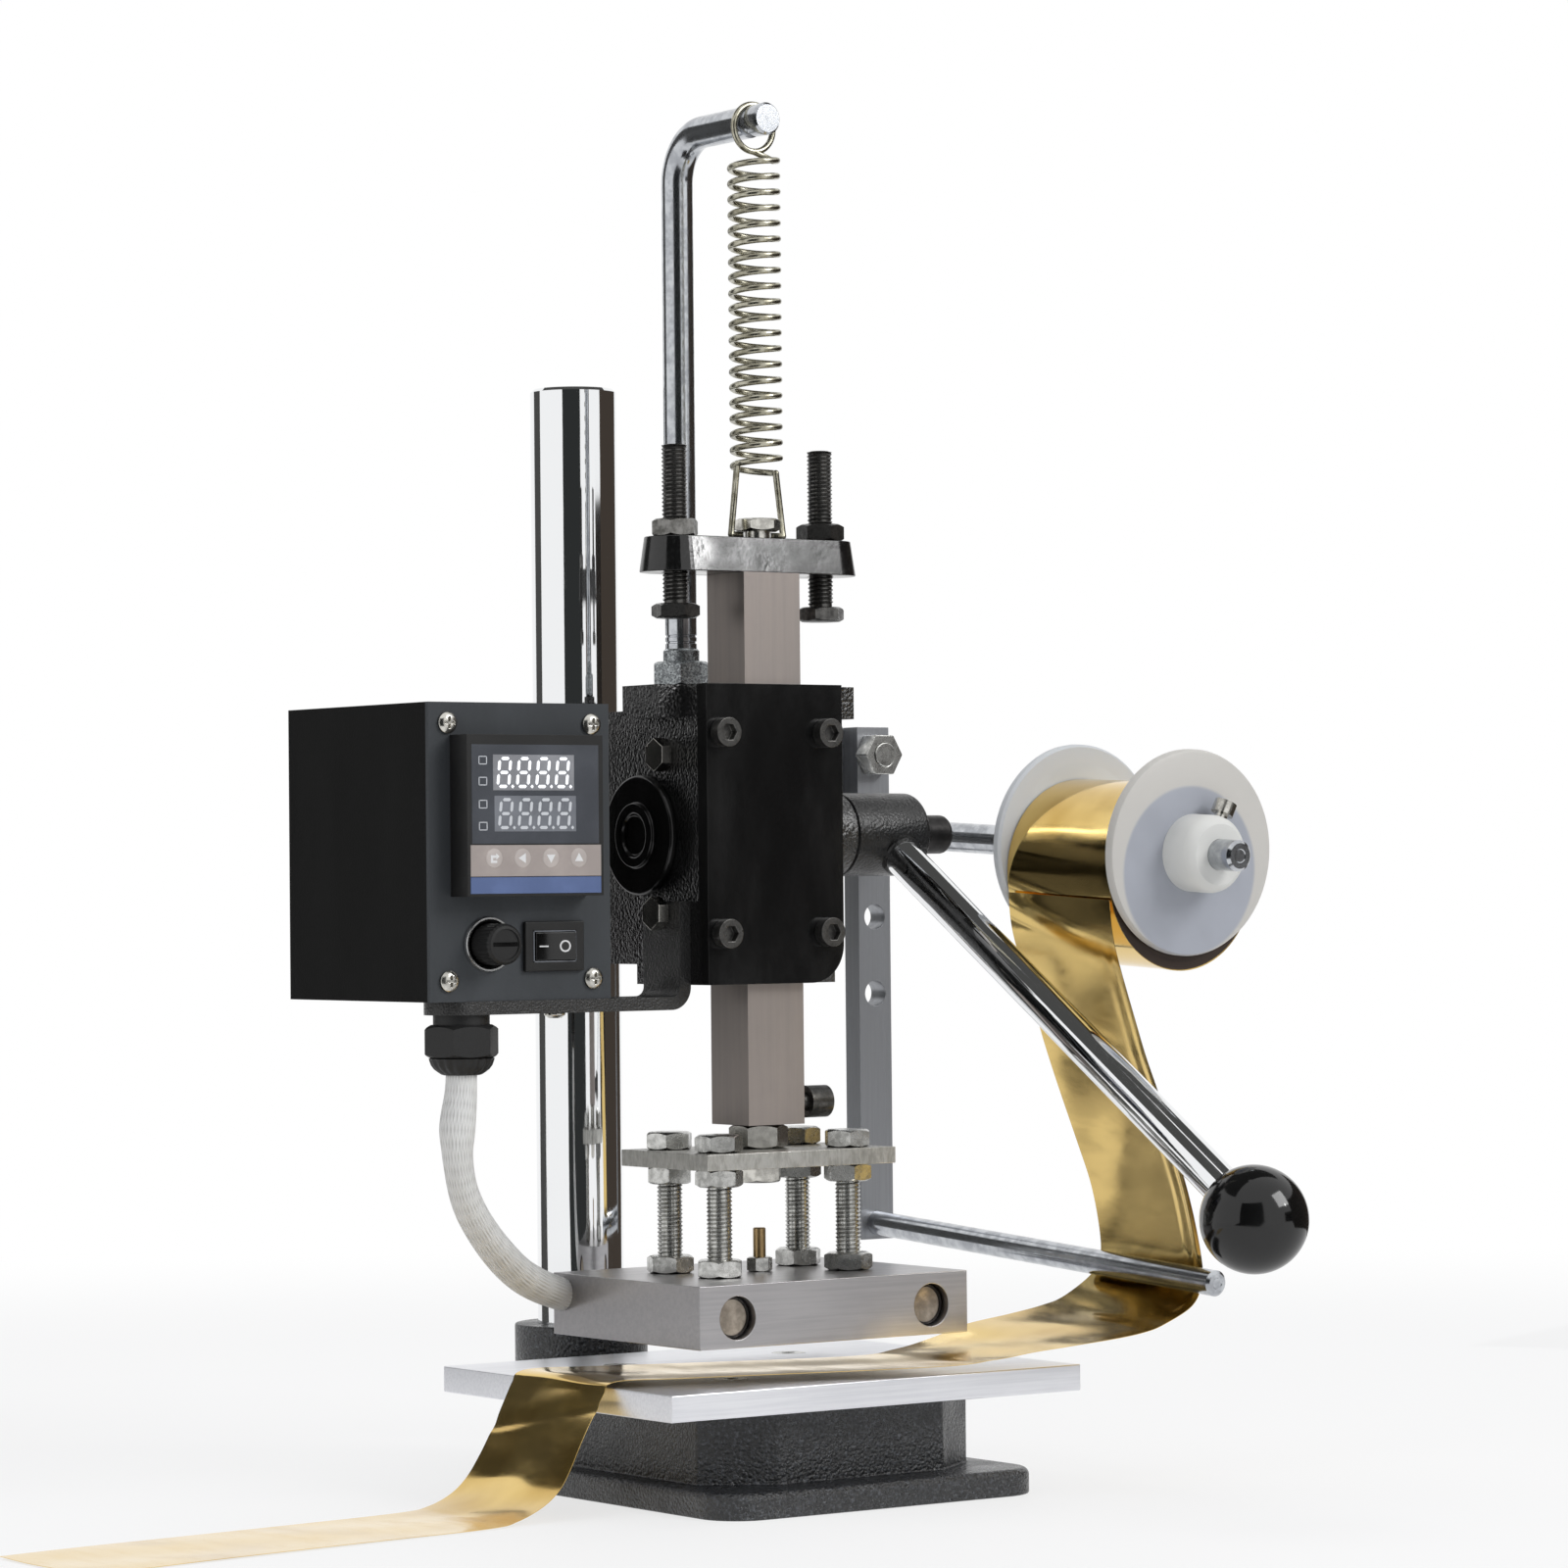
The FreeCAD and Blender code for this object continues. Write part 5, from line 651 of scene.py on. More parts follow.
def set_at(foot: Sequence[float], along: Sequence[float] = (0, 0, 1), turn: float = 0.0) -> Matrix:
    """The matrix that takes a shape on its own Z axis to its place.

    Args:
        foot: where the shape's origin comes.
        along: where its Z axis points.
        turn: its turn about that axis in degrees.

    Returns:
        The 4 x 4 matrix.
    """
    aim = Vector((0, 0, 1)).rotation_difference(Vector(along)).to_matrix().to_4x4()
    return Matrix.Translation(foot) @ aim @ Matrix.Rotation(math.radians(turn), 4, "Z")


class Workpiece:
    """A mesh in the making.  Each shape is made on its own Z axis and then set in place."""

    def __init__(self) -> None:
        """Start with nothing."""
        self.shape = bmesh.new()

    def add(self, part: bmesh.types.BMesh, where: Matrix) -> "Workpiece":
        """Take in a finished part and free it."""
        bmesh.ops.remove_doubles(part, verts=part.verts, dist=4e-7)
        bmesh.ops.transform(part, matrix=where, verts=part.verts)
        mesh = bpy.data.meshes.new("part")
        part.to_mesh(mesh)
        part.free()
        self.shape.from_mesh(mesh)
        bpy.data.meshes.remove(mesh)
        return self

    def turned(self, profile: Sequence[Sequence[float]], where: Matrix, steps: int = 64,
               form: Callable[[Vector], Vector] | None = None) -> "Workpiece":
        """Spin a profile about the Z axis.

        Args:
            profile: (radius, height) points from one end to the other.
            where: the part's place.
            steps: faces around.
            form: moves each corner once the part is spun, for ribs and flats.

        Returns:
            The workpiece.
        """
        part = bmesh.new()
        corners = [part.verts.new((radius, 0.0, height)) for radius, height in profile]
        line = [part.edges.new(pair) for pair in zip(corners, corners[1:])]
        bmesh.ops.spin(part, geom=corners + line, cent=(0, 0, 0), axis=(0, 0, 1),
                       angle=math.tau, steps=steps, use_merge=True)
        if form:
            for corner in part.verts:
                corner.co = form(corner.co)
        return self.add(part, where)

    def hexagon(self, flats: float, low: float, high: float, where: Matrix,
                bore: float = 0.0) -> "Workpiece":
        """A nut or bolt head whose corners are turned off at both ends.

        Args:
            flats: its width across flats.
            low: its lower end on its own axis.
            high: its upper end.
            where: the part's place.
            bore: the radius of the hole through it.

        Returns:
            The workpiece.
        """
        half = flats / 2
        land = 0.92 * half
        fall = (half - land) * math.tan(math.radians(30))
        middle = (low + high) / 2

        def form(corner: Vector) -> Vector:
            """Push a corner of the drum out to the hexagon."""
            reach = math.hypot(corner.x, corner.y)
            if reach < half - 1e-7:
                return corner
            off = (math.atan2(corner.y, corner.x) + math.pi / 6) % (math.pi / 3) - math.pi / 6
            grown = half / math.cos(off)
            drop = (grown - half) * math.tan(math.radians(30))
            height = corner.z - drop if corner.z > middle else corner.z + drop
            return Vector((corner.x * grown / reach, corner.y * grown / reach, height))

        profile = [(bore, low), (land, low), (half, low + fall), (half, high - fall),
                   (land, high), (bore, high)]
        if bore:
            profile.append((bore, low))
        return self.turned(profile, where, 48, form)

    def thread(self, radius: float, depth: float, pitch: float, low: float, high: float,
               where: Matrix, steps: int = 20) -> "Workpiece":
        """A helical thread on a core with a chamfered end.

        Args:
            radius: over the crests.
            depth: from crest to root.
            pitch: from crest to crest.
            low: where the thread starts on its own axis.
            high: where it ends.
            where: the part's place.
            steps: faces in one turn.

        Returns:
            The workpiece.
        """
        turns = math.ceil((high - low) / pitch)
        part = bmesh.new()
        profile = ((radius - depth, low), (radius, low + pitch / 2), (radius - depth, low + pitch))
        corners = [part.verts.new((out, 0.0, height)) for out, height in profile]
        line = [part.edges.new(pair) for pair in zip(corners, corners[1:])]
        bmesh.ops.spin(part, geom=corners + line, cent=(0, 0, 0), axis=(0, 0, 1),
                       dvec=(0, 0, pitch / steps), angle=math.tau * turns, steps=steps * turns,
                       use_merge=False)
        for corner in part.verts:
            corner.co.z = min(corner.co.z, high)
        self.add(part, where)
        root = radius - 0.7 * depth
        end = high + 0.25 * pitch
        return self.turned([(0, low), (root, low), (root, high - 0.5 * pitch),
                            (radius - 0.2 * depth, high - 0.3 * pitch), (root - depth, end),
                            (0, end)], where, 32)

    def block(self, low: Sequence[float], high: Sequence[float], edge: float = 0.0,
              segments: int = 2) -> "Workpiece":
        """A box between two corners with its edges rounded."""
        part = bmesh.new()
        bmesh.ops.create_cube(part, size=1.0)
        spans = [far - near for near, far in zip(low, high)]
        centre = [(far + near) / 2 for near, far in zip(low, high)]
        bmesh.ops.scale(part, vec=spans, verts=part.verts)
        bmesh.ops.translate(part, vec=centre, verts=part.verts)
        if edge:
            bmesh.ops.bevel(part, geom=part.edges, offset=edge, offset_type="OFFSET",
                            segments=segments, profile=0.5, affect="EDGES", clamp_overlap=True,
                            material=-1)
        return self.add(part, Matrix())

    def plate(self, outline: Sequence[Sequence[float]], front: float, back: float) -> "Workpiece":
        """A thin upright plate whose outline is given as X and Z, between two depths in Y."""
        part = bmesh.new()
        corners = [part.verts.new((x, front, z)) for x, z in outline]
        face = part.faces.new(corners)
        pushed = bmesh.ops.extrude_face_region(part, geom=[face])["geom"]
        moved = [thing for thing in pushed if isinstance(thing, bmesh.types.BMVert)]
        bmesh.ops.translate(part, vec=(0, back - front, 0), verts=moved)
        return self.add(part, Matrix())

    def finish(self, name: str, paint: Paint, node: str, replaced: bool = True,
               smooth: float = 32.0) -> bpy.types.Object:
        """Turn the workpiece into a piece of the press."""
        return finish_piece(name, self.shape, paint, node, replaced, smooth)


def ribbed(count: int, deep: float, reach: float, low: float,
           high: float) -> Callable[[Vector], Vector]:
    """What presses grip ribs into the outside of a turned shape.

    Args:
        count: how many ribs go round.
        deep: how deep the hollows between them are.
        reach: corners nearer to the axis than this stay.
        low: where the ribs start on the shape's own axis.
        high: where they end.

    Returns:
        A form for Workpiece.turned.
    """
    def form(corner: Vector) -> Vector:
        """Sink a corner that lies between two ribs."""
        out = math.hypot(corner.x, corner.y)
        if out < reach or not low < corner.z < high:
            return corner
        cut = deep * (0.5 + 0.5 * math.cos(count * math.atan2(corner.y, corner.x)))
        return Vector((corner.x * (1 - cut / out), corner.y * (1 - cut / out), corner.z))

    return form


def as_object(name: str, shape: bmesh.types.BMesh, material: bpy.types.Material,
              smooth: float = 180.0) -> bpy.types.Object:
    """Turn a bmesh into an object at the origin and free it.

    Args:
        name: the object's name.
        shape: its mesh, in metres in the frame.
        material: its only material.
        smooth: edges up to this angle in degrees are shaded smooth.

    Returns:
        The new object.
    """
    mesh = bpy.data.meshes.new(name)
    for face in shape.faces:
        face.smooth = True
    shape.to_mesh(mesh)
    shape.free()
    mesh.set_sharp_from_angle(angle=math.radians(smooth))
    mesh.materials.append(material)
    thing = bpy.data.objects.new(name, mesh)
    bpy.context.scene.collection.objects.link(thing)
    return thing


def finish_piece(name: str, shape: bmesh.types.BMesh, paint: Paint, node: str,
                 replaced: bool = True, smooth: float = 32.0,
                 tidy: bool = True) -> bpy.types.Object:
    """Turn a bmesh into a piece that rides on its node's body.

    Args:
        name: the piece's name.
        shape: its mesh, in metres in the frame.
        paint: its finish.
        node: the CAD node that it belongs to or stands for.
        replaced: whether the piece stands for the node.
        smooth: edges up to this angle in degrees are shaded smooth.
        tidy: whether doubles are merged and normals recalculated first.

    Returns:
        The new object.
    """
    if tidy:
        bmesh.ops.remove_doubles(shape, verts=shape.verts, dist=1e-7)
        bmesh.ops.recalc_face_normals(shape, faces=shape.faces)
    thing = as_object(name, shape, paint.material(), smooth)
    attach(thing, body_of(node))
    slot_of(node)
    if replaced:
        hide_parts(node)
    LOG.info("%s: %d faces", name, len(thing.data.polygons))
    return thing


def copied(node: str) -> bmesh.types.BMesh:
    """A merged copy of a CAD node's mesh, with its flat faces whole again."""
    shape = bmesh.new()
    shape.from_mesh(frame["nodes"][node].data)
    bmesh.ops.remove_doubles(shape, verts=shape.verts, dist=4e-6)
    bmesh.ops.dissolve_degenerate(shape, edges=shape.edges, dist=2e-6)
    bmesh.ops.dissolve_limit(shape, angle_limit=math.radians(0.4), verts=shape.verts,
                             edges=shape.edges, use_dissolve_boundaries=False)
    return shape


def soften(shape: bmesh.types.BMesh, width: float, angle: float = 35.0, segments: int = 2,
           where: Callable[[Vector], bool] | None = None) -> bmesh.types.BMesh:
    """Bevel the edges that turn by more than an angle.

    Args:
        shape: the mesh.
        width: how far the bevel reaches from the edge.
        angle: the least turn in degrees.
        segments: faces across the bevel.
        where: says of an edge's middle whether it is bevelled.

    Returns:
        The same mesh.
    """
    sharp = [edge for edge in shape.edges
             if len(edge.link_faces) == 2 and edge.calc_face_angle(0.0) > math.radians(angle)
             and (where is None or where((edge.verts[0].co + edge.verts[1].co) / 2))]
    bmesh.ops.bevel(shape, geom=sharp, offset=width, offset_type="OFFSET", segments=segments,
                    profile=0.5, affect="EDGES", clamp_overlap=True, material=-1)
    return shape


def even(thing: bpy.types.Object) -> bpy.types.Object:
    """Let large flat faces rule the shading beside their bevels."""
    weigh = thing.modifiers.new("even_faces", "WEIGHTED_NORMAL")
    weigh.keep_sharp = True
    return thing


def softened(node: str, paint: Paint, width: float, segments: int = 2, angle: float = 35.0,
             where: Callable[[Vector], bool] | None = None) -> bpy.types.Object:
    """A CAD node again with its edges broken, as every machined or cast edge is."""
    shape = soften(copied(node), width, angle, segments, where)
    return even(finish_piece(node + "_edged", shape, paint, node, tidy=False, smooth=50.0))


def dress(paint: Paint, *nodes: str) -> None:
    """Give CAD nodes that stay as they are a finish."""
    for name in nodes:
        mesh = frame["nodes"][name].data
        mesh.materials.clear()
        mesh.materials.append(paint.material())


def smooth_line(points: Sequence[Sequence[float]], share: float) -> list[float]:
    """A point on the soft curve through a row of points.

    Args:
        points: the row; each point may have any number of parts.
        share: how far along the row, from 0 to 1.

    Returns:
        The point's parts.
    """
    place = share * (len(points) - 1)
    here = min(int(place), len(points) - 2)
    part = place - here
    rows = [points[max(0, min(len(points) - 1, here + step))] for step in (-1, 0, 1, 2)]
    return [0.5 * (2 * b + (c - a) * part + (2 * a - 5 * b + 4 * c - d) * part ** 2
                   + (3 * b - a - 3 * c + d) * part ** 3)
            for a, b, c, d in zip(*rows)]


# =============================================================================================
# Base
# =============================================================================================

@dataclass
class Base:
    """Cast foot, bright column, milled work table and its screws."""

    column_radius: float = 14 * MM
    column_back: float = 101 * MM
    column_low: float = 6 * MM
    column_high: float = 348 * MM
    column_bevel: float = 1.0 * MM
    casting_edge: float = 1.6 * MM
    table_edge: float = 0.4 * MM
    screw_edge: float = 0.25 * MM

    def column(self) -> None:
        """Ground and plated bar with broken edges."""
        bevel, radius = self.column_bevel, self.column_radius
        low, high = self.column_low, self.column_high
        bar = Workpiece().turned([
            (0, low), (radius - bevel, low), (radius, low + bevel), (radius, low + 2 * bevel),
            (radius, high - 2 * bevel), (radius, high - bevel), (radius - bevel, high), (0, high)],
            set_at((0, self.column_back, 0)), 96)
        bar.finish("column_bar", Paint.CHROME, "column", smooth=20.0)

    def build(self) -> None:
        """Build the base's pieces."""
        softened("base_casting", Paint.CASTING, self.casting_edge, 3, 30.0)
        self.column()
        softened("work_table", Paint.TABLE, self.table_edge)
        softened("table_screws", Paint.ZINC, self.screw_edge)


# =============================================================================================
# Head
# =============================================================================================

@dataclass
class Head:
    """Head casting, cover plate, gib, bearing cap and their fasteners."""

    casting_edge: float = 1.1 * MM
    cover_edge: float = 0.8 * MM
    cap_edge: float = 0.6 * MM
    screw_edge: float = 0.3 * MM
    gib_bolt_edge: float = 0.5 * MM
    clamp_bolt_edge: float = 0.4 * MM

    def build(self) -> None:
        """Build the head's pieces."""
        softened("head_casting", Paint.HEAD, self.casting_edge, 3, 30.0)
        softened("front_cover", Paint.PLATE, self.cover_edge, 3)
        softened("cover_screws", Paint.OXIDE, self.screw_edge)
        softened("bearing_cap", Paint.PLATE, self.cap_edge, 3)
        softened("gib_strip", Paint.RAM, self.screw_edge)
        softened("gib_bolts", Paint.BRIGHT, self.gib_bolt_edge)
        softened("column_clamp_bolts", Paint.ZINC, self.clamp_bolt_edge)


# =============================================================================================
# Ram
# =============================================================================================

@dataclass
class Ram:
    """Ram, crossbar with its stop bolts, and the heating block that hangs below."""

    bolt_radius: float = 4.0 * MM
    bolt_flats: float = 13.0 * MM
    head_tall: float = 5.5 * MM
    nut_tall: float = 5.5 * MM
    pitch: float = 1.25 * MM
    thread_depth: float = 0.65 * MM
    ram_top: float = 282.6 * MM
    ram_bottom: float = 112.5 * MM
    crossbar_top: float = 293.5 * MM
    crossbar_y: float = 2.4 * MM
    crossbar_draft: float = 1.5 * MM
    stop_x: float = 27.5 * MM
    stop_seat: float = 273.0 * MM
    stop_head: float = 4.5 * MM
    stop_top: float = 322.0 * MM
    top_bolt_seat: float = 295.6 * MM
    top_bolt_y: float = -2.4 * MM
    plate_low: float = 100.0 * MM
    plate_top: float = 105.0 * MM
    block_top: float = 67.0 * MM
    hanger_x: float = 24.2 * MM
    hanger_y: float = 13.4 * MM
    hanger_end: float = 59.0 * MM
    heater_x: float = 36.2 * MM
    heater_z: float = 57.0 * MM
    heater_radius: float = 6.5 * MM
    heater_half: float = 37.0 * MM
    bar_edge: float = 0.9 * MM
    steel_edge: float = 0.5 * MM
    block_edge: float = 0.35 * MM
    clamp_edge: float = 0.4 * MM

    def crossbar(self) -> None:
        """Cast bar whose sides lean in towards the top."""
        shape = copied("crossbar")
        middle = (self.ram_top + self.crossbar_top) / 2
        for corner in shape.verts:
            spine = Vector((max(-self.stop_x, min(self.stop_x, corner.co.x)), self.crossbar_y))
            out = corner.co.xy - spine
            if corner.co.z > middle and out.length > 2 * self.bolt_radius:
                corner.co.xy = spine + out * (1 - self.crossbar_draft / out.length)
        even(finish_piece("crossbar_cast", soften(shape, self.bar_edge, 50.0, 3), Paint.BEAM,
                          "crossbar", tidy=False, smooth=50.0))

    def stop_bolts(self) -> None:
        """Two bolts threaded over their whole length, with their heads down."""
        for side, node in ((-1, "stop_bolt_left"), (1, "stop_bolt_right")):
            where = set_at((side * self.stop_x, self.crossbar_y, 0), turn=11.0 * side)
            bolt = Workpiece().hexagon(self.bolt_flats, self.stop_seat - self.stop_head,
                                       self.stop_seat, where)
            bolt.thread(self.bolt_radius, self.thread_depth, self.pitch, self.stop_seat,
                        self.stop_top - 0.3 * self.pitch, where)
            bolt.finish(node + "_threaded", Paint.OXIDE, node)

    def nuts(self) -> None:
        """Dark nuts on the crossbar and bright ones at both ends of the hanging bolts."""
        for side, paint in ((-1, Paint.DARK_NUT), (1, Paint.OXIDE)):
            where = set_at((side * self.stop_x, self.crossbar_y, 0), turn=4.0 - 12.0 * side)
            nut = Workpiece().hexagon(self.bolt_flats, self.crossbar_top,
                                      self.crossbar_top + self.nut_tall, where,
                                      self.bolt_radius + 0.05 * MM)
            nut.finish("stop_nut_right" if side > 0 else "stop_nut_left", paint, "lock_nuts")
        nuts = Workpiece()
        for number, (x, y) in enumerate(self.hangers()):
            for low, extra in ((self.plate_low - self.nut_tall, 7.0), (self.block_top, 23.0)):
                nuts.hexagon(self.bolt_flats, low, low + self.nut_tall,
                             set_at((x, y, 0), turn=extra + 17.0 * number),
                             self.bolt_radius - 0.1 * MM)
        nuts.finish("hanging_nuts", Paint.ZINC, "lock_nuts")

    def hangers(self) -> list[tuple[float, float]]:
        """X and Y of the four hanging bolts."""
        return [(x * self.hanger_x, y * self.hanger_y) for x in (-1, 1) for y in (-1, 1)]

    def hanging_bolts(self) -> None:
        """Four bolts with their heads on the plate and their ends in the block."""
        bolts = Workpiece()
        for number, (x, y) in enumerate(self.hangers()):
            head = set_at((x, y, 0), turn=13.0 * number + 5.0)
            bolts.hexagon(self.bolt_flats, self.plate_top, self.plate_top + self.head_tall, head)
            down = set_at((x, y, self.plate_top), (0, 0, -1))
            bolts.thread(self.bolt_radius, self.thread_depth, self.pitch, 0,
                         self.plate_top - self.hanger_end, down)
        bolts.finish("hanging_bolts", Paint.ZINC, "suspension_bolts")

    def ram_bolts(self) -> None:
        """Crossbar bolt, hanging bolt and its lock nut."""
        bolts = Workpiece()
        top = set_at((0, self.top_bolt_y, 0), turn=9.0)
        bolts.hexagon(self.bolt_flats, self.top_bolt_seat, self.top_bolt_seat + 4 * MM, top)
        bolts.turned([(0, self.ram_top - 15 * MM), (self.bolt_radius, self.ram_top - 15 * MM),
                      (self.bolt_radius, self.top_bolt_seat), (0, self.top_bolt_seat)], top, 32)
        under = set_at((0, 0, 0), turn=20.0)
        bolts.hexagon(self.bolt_flats, self.plate_low - self.head_tall, self.plate_low, under)
        bolts.hexagon(16 * MM, self.plate_top, self.ram_bottom, set_at((0, 0, 0), turn=4.0),
                      self.bolt_radius)
        bolts.turned([(0, self.plate_low), (self.bolt_radius, self.plate_low),
                      (self.bolt_radius, self.ram_bottom + 10 * MM),
                      (0, self.ram_bottom + 10 * MM)], under, 32)
        bolts.finish("ram_bolts_bright", Paint.BRIGHT, "ram_bolts")

    def heaters(self) -> None:
        """Cartridge heaters: a dark rim round a slightly dished, tinted end."""
        radius, half = self.heater_radius - 0.05 * MM, self.heater_half
        rims, discs = Workpiece(), Workpiece()
        for x in (-self.heater_x, self.heater_x):
            for end in (-1, 1):
                where = set_at((x, 0, self.heater_z), (0, end, 0))
                rims.turned([(0.84 * radius, 0), (radius, 0), (radius, half - 0.4 * MM),
                             (radius - 0.4 * MM, half), (0.84 * radius, half),
                             (0.84 * radius, half - 1.2 * MM), (0.84 * radius, 0)], where)
                discs.turned([(0, half - 1.1 * MM), (0.5 * radius, half - 0.95 * MM),
                              (0.78 * radius, half - 0.5 * MM), (0.84 * radius, half - 0.5 * MM),
                              (0.84 * radius, half - 3 * MM)], where)
        rims.finish("heater_rims", Paint.HEATER_RIM, "heater_cartridges")
        discs.finish("heater_ends", Paint.HEATER, "heater_cartridges", smooth=50.0)

    def probe(self) -> None:
        """Thermocouple probe: hexagon foot and a plain pin."""
        foot = Workpiece().hexagon(7 * MM, self.block_top, self.block_top + 4.5 * MM,
                                   set_at((0, 0, 0), turn=8.0))
        foot.finish("probe_foot", Paint.ZINC, "thermocouple_probe")
        low = self.block_top + 4.5 * MM
        pin = Workpiece().turned([(0, low), (1.95 * MM, low), (1.95 * MM, low + 8.7 * MM),
                                  (1.65 * MM, low + 9 * MM), (0, low + 9 * MM)], Matrix(), 32)
        pin.finish("probe_pin", Paint.BRASS, "thermocouple_probe")

    def build(self) -> None:
        """Build the ram's pieces."""
        softened("ram", Paint.RAM, self.steel_edge)
        self.crossbar()
        self.stop_bolts()
        self.nuts()
        self.hanging_bolts()
        self.ram_bolts()
        softened("suspension_plate", Paint.SHEARED, self.steel_edge, 3)
        softened("heating_block", Paint.BLOCK, self.block_edge)
        self.heaters()
        self.probe()
        softened("ram_clamp_screw", Paint.OXIDE, self.clamp_edge)


# =============================================================================================
# Drive
# =============================================================================================

@dataclass
class Drive:
    """Pinion shaft, hub, lever and ball knob."""

    pinion_y: float = 20 * MM
    pinion_z: float = 202 * MM
    hub_radius: float = 13.2 * MM
    hub_low: float = 45 * MM
    hub_high: float = 74 * MM
    hub_round: float = 2.4 * MM
    lever_x: float = 63 * MM
    lever_radius: float = 6 * MM
    lever_angle: float = 32.3
    lever_seat: float = 9 * MM
    lever_end: float = 216 * MM
    knob_radius: float = 16 * MM
    knob_socket: float = 18 * MM
    knob_flat: float = 2.5 * MM

    def lever_line(self) -> Vector:
        """Direction of the lever, forwards and down."""
        angle = math.radians(self.lever_angle)
        return Vector((0, -math.cos(angle), -math.sin(angle)))

    def lever_foot(self) -> Vector:
        """Where the lever's middle line meets the shaft's."""
        return Vector((self.lever_x, self.pinion_y, self.pinion_z))

    def hub(self) -> None:
        """Cast hub with a rounded outer rim and a rounded collar where the lever enters."""
        radius, low, high, bend = self.hub_radius, self.hub_low, self.hub_high, self.hub_round
        corner = [(radius - bend + bend * math.cos(math.radians(turn)),
                   high - bend + bend * math.sin(math.radians(turn))) for turn in range(0, 91, 15)]
        where = set_at((0, self.pinion_y, self.pinion_z), (1, 0, 0))
        hub = Workpiece().turned([(8 * MM, low), (radius - 0.6 * MM, low),
                                  (radius, low + 0.6 * MM), *corner, (8 * MM, high)], where)
        hub.turned([(0, self.lever_seat), (self.lever_radius + 1.0 * MM, self.lever_seat),
                    (self.lever_radius + 0.9 * MM, 13.2 * MM),
                    (self.lever_radius + 0.1 * MM, 13.9 * MM), (0, 13.9 * MM)],
                   set_at(self.lever_foot(), self.lever_line()))
        hub.finish("hub_cast", Paint.HUB, "lever_hub")

    def lever(self) -> None:
        """Plated lever bar."""
        bar = Workpiece().turned([(0, self.lever_seat), (self.lever_radius, self.lever_seat),
                                  (self.lever_radius, self.lever_end), (0, self.lever_end)],
                                 set_at(self.lever_foot(), self.lever_line()), 96)
        bar.finish("lever_bar", Paint.CHROME, "lever", smooth=25.0)

    def knob(self) -> None:
        """Polished ball with a small flat where the lever enters."""
        reach = self.lever_end - self.knob_socket + self.knob_radius
        centre = self.lever_foot() + self.lever_line() * reach
        start = math.asin((self.knob_radius - self.knob_flat) / self.knob_radius)
        arc = [start + (math.pi / 2 + start) * step / 40 for step in range(41)]
        flat = -(self.knob_radius - self.knob_flat)
        profile = [(self.lever_radius, flat + 1.2 * MM), (self.lever_radius + 0.2 * MM, flat)]
        profile += [(self.knob_radius * math.cos(turn - 2 * start),
                     self.knob_radius * math.sin(turn - 2 * start)) for turn in arc]
        profile[-1] = (0, self.knob_radius)
        ball = Workpiece().turned(profile, set_at(centre, self.lever_line()), 72)
        ball.finish("knob_ball", Paint.GLOSS, "ball_knob", smooth=40.0)

    def build(self) -> None:
        """Build the drive's pieces."""
        softened("pinion_shaft", Paint.SHAFT, 1.8 * MM, 4, where=lambda spot: spot.x > 0.08)
        self.hub()
        self.lever()
        self.knob()


# =============================================================================================
# Spring gear
# =============================================================================================

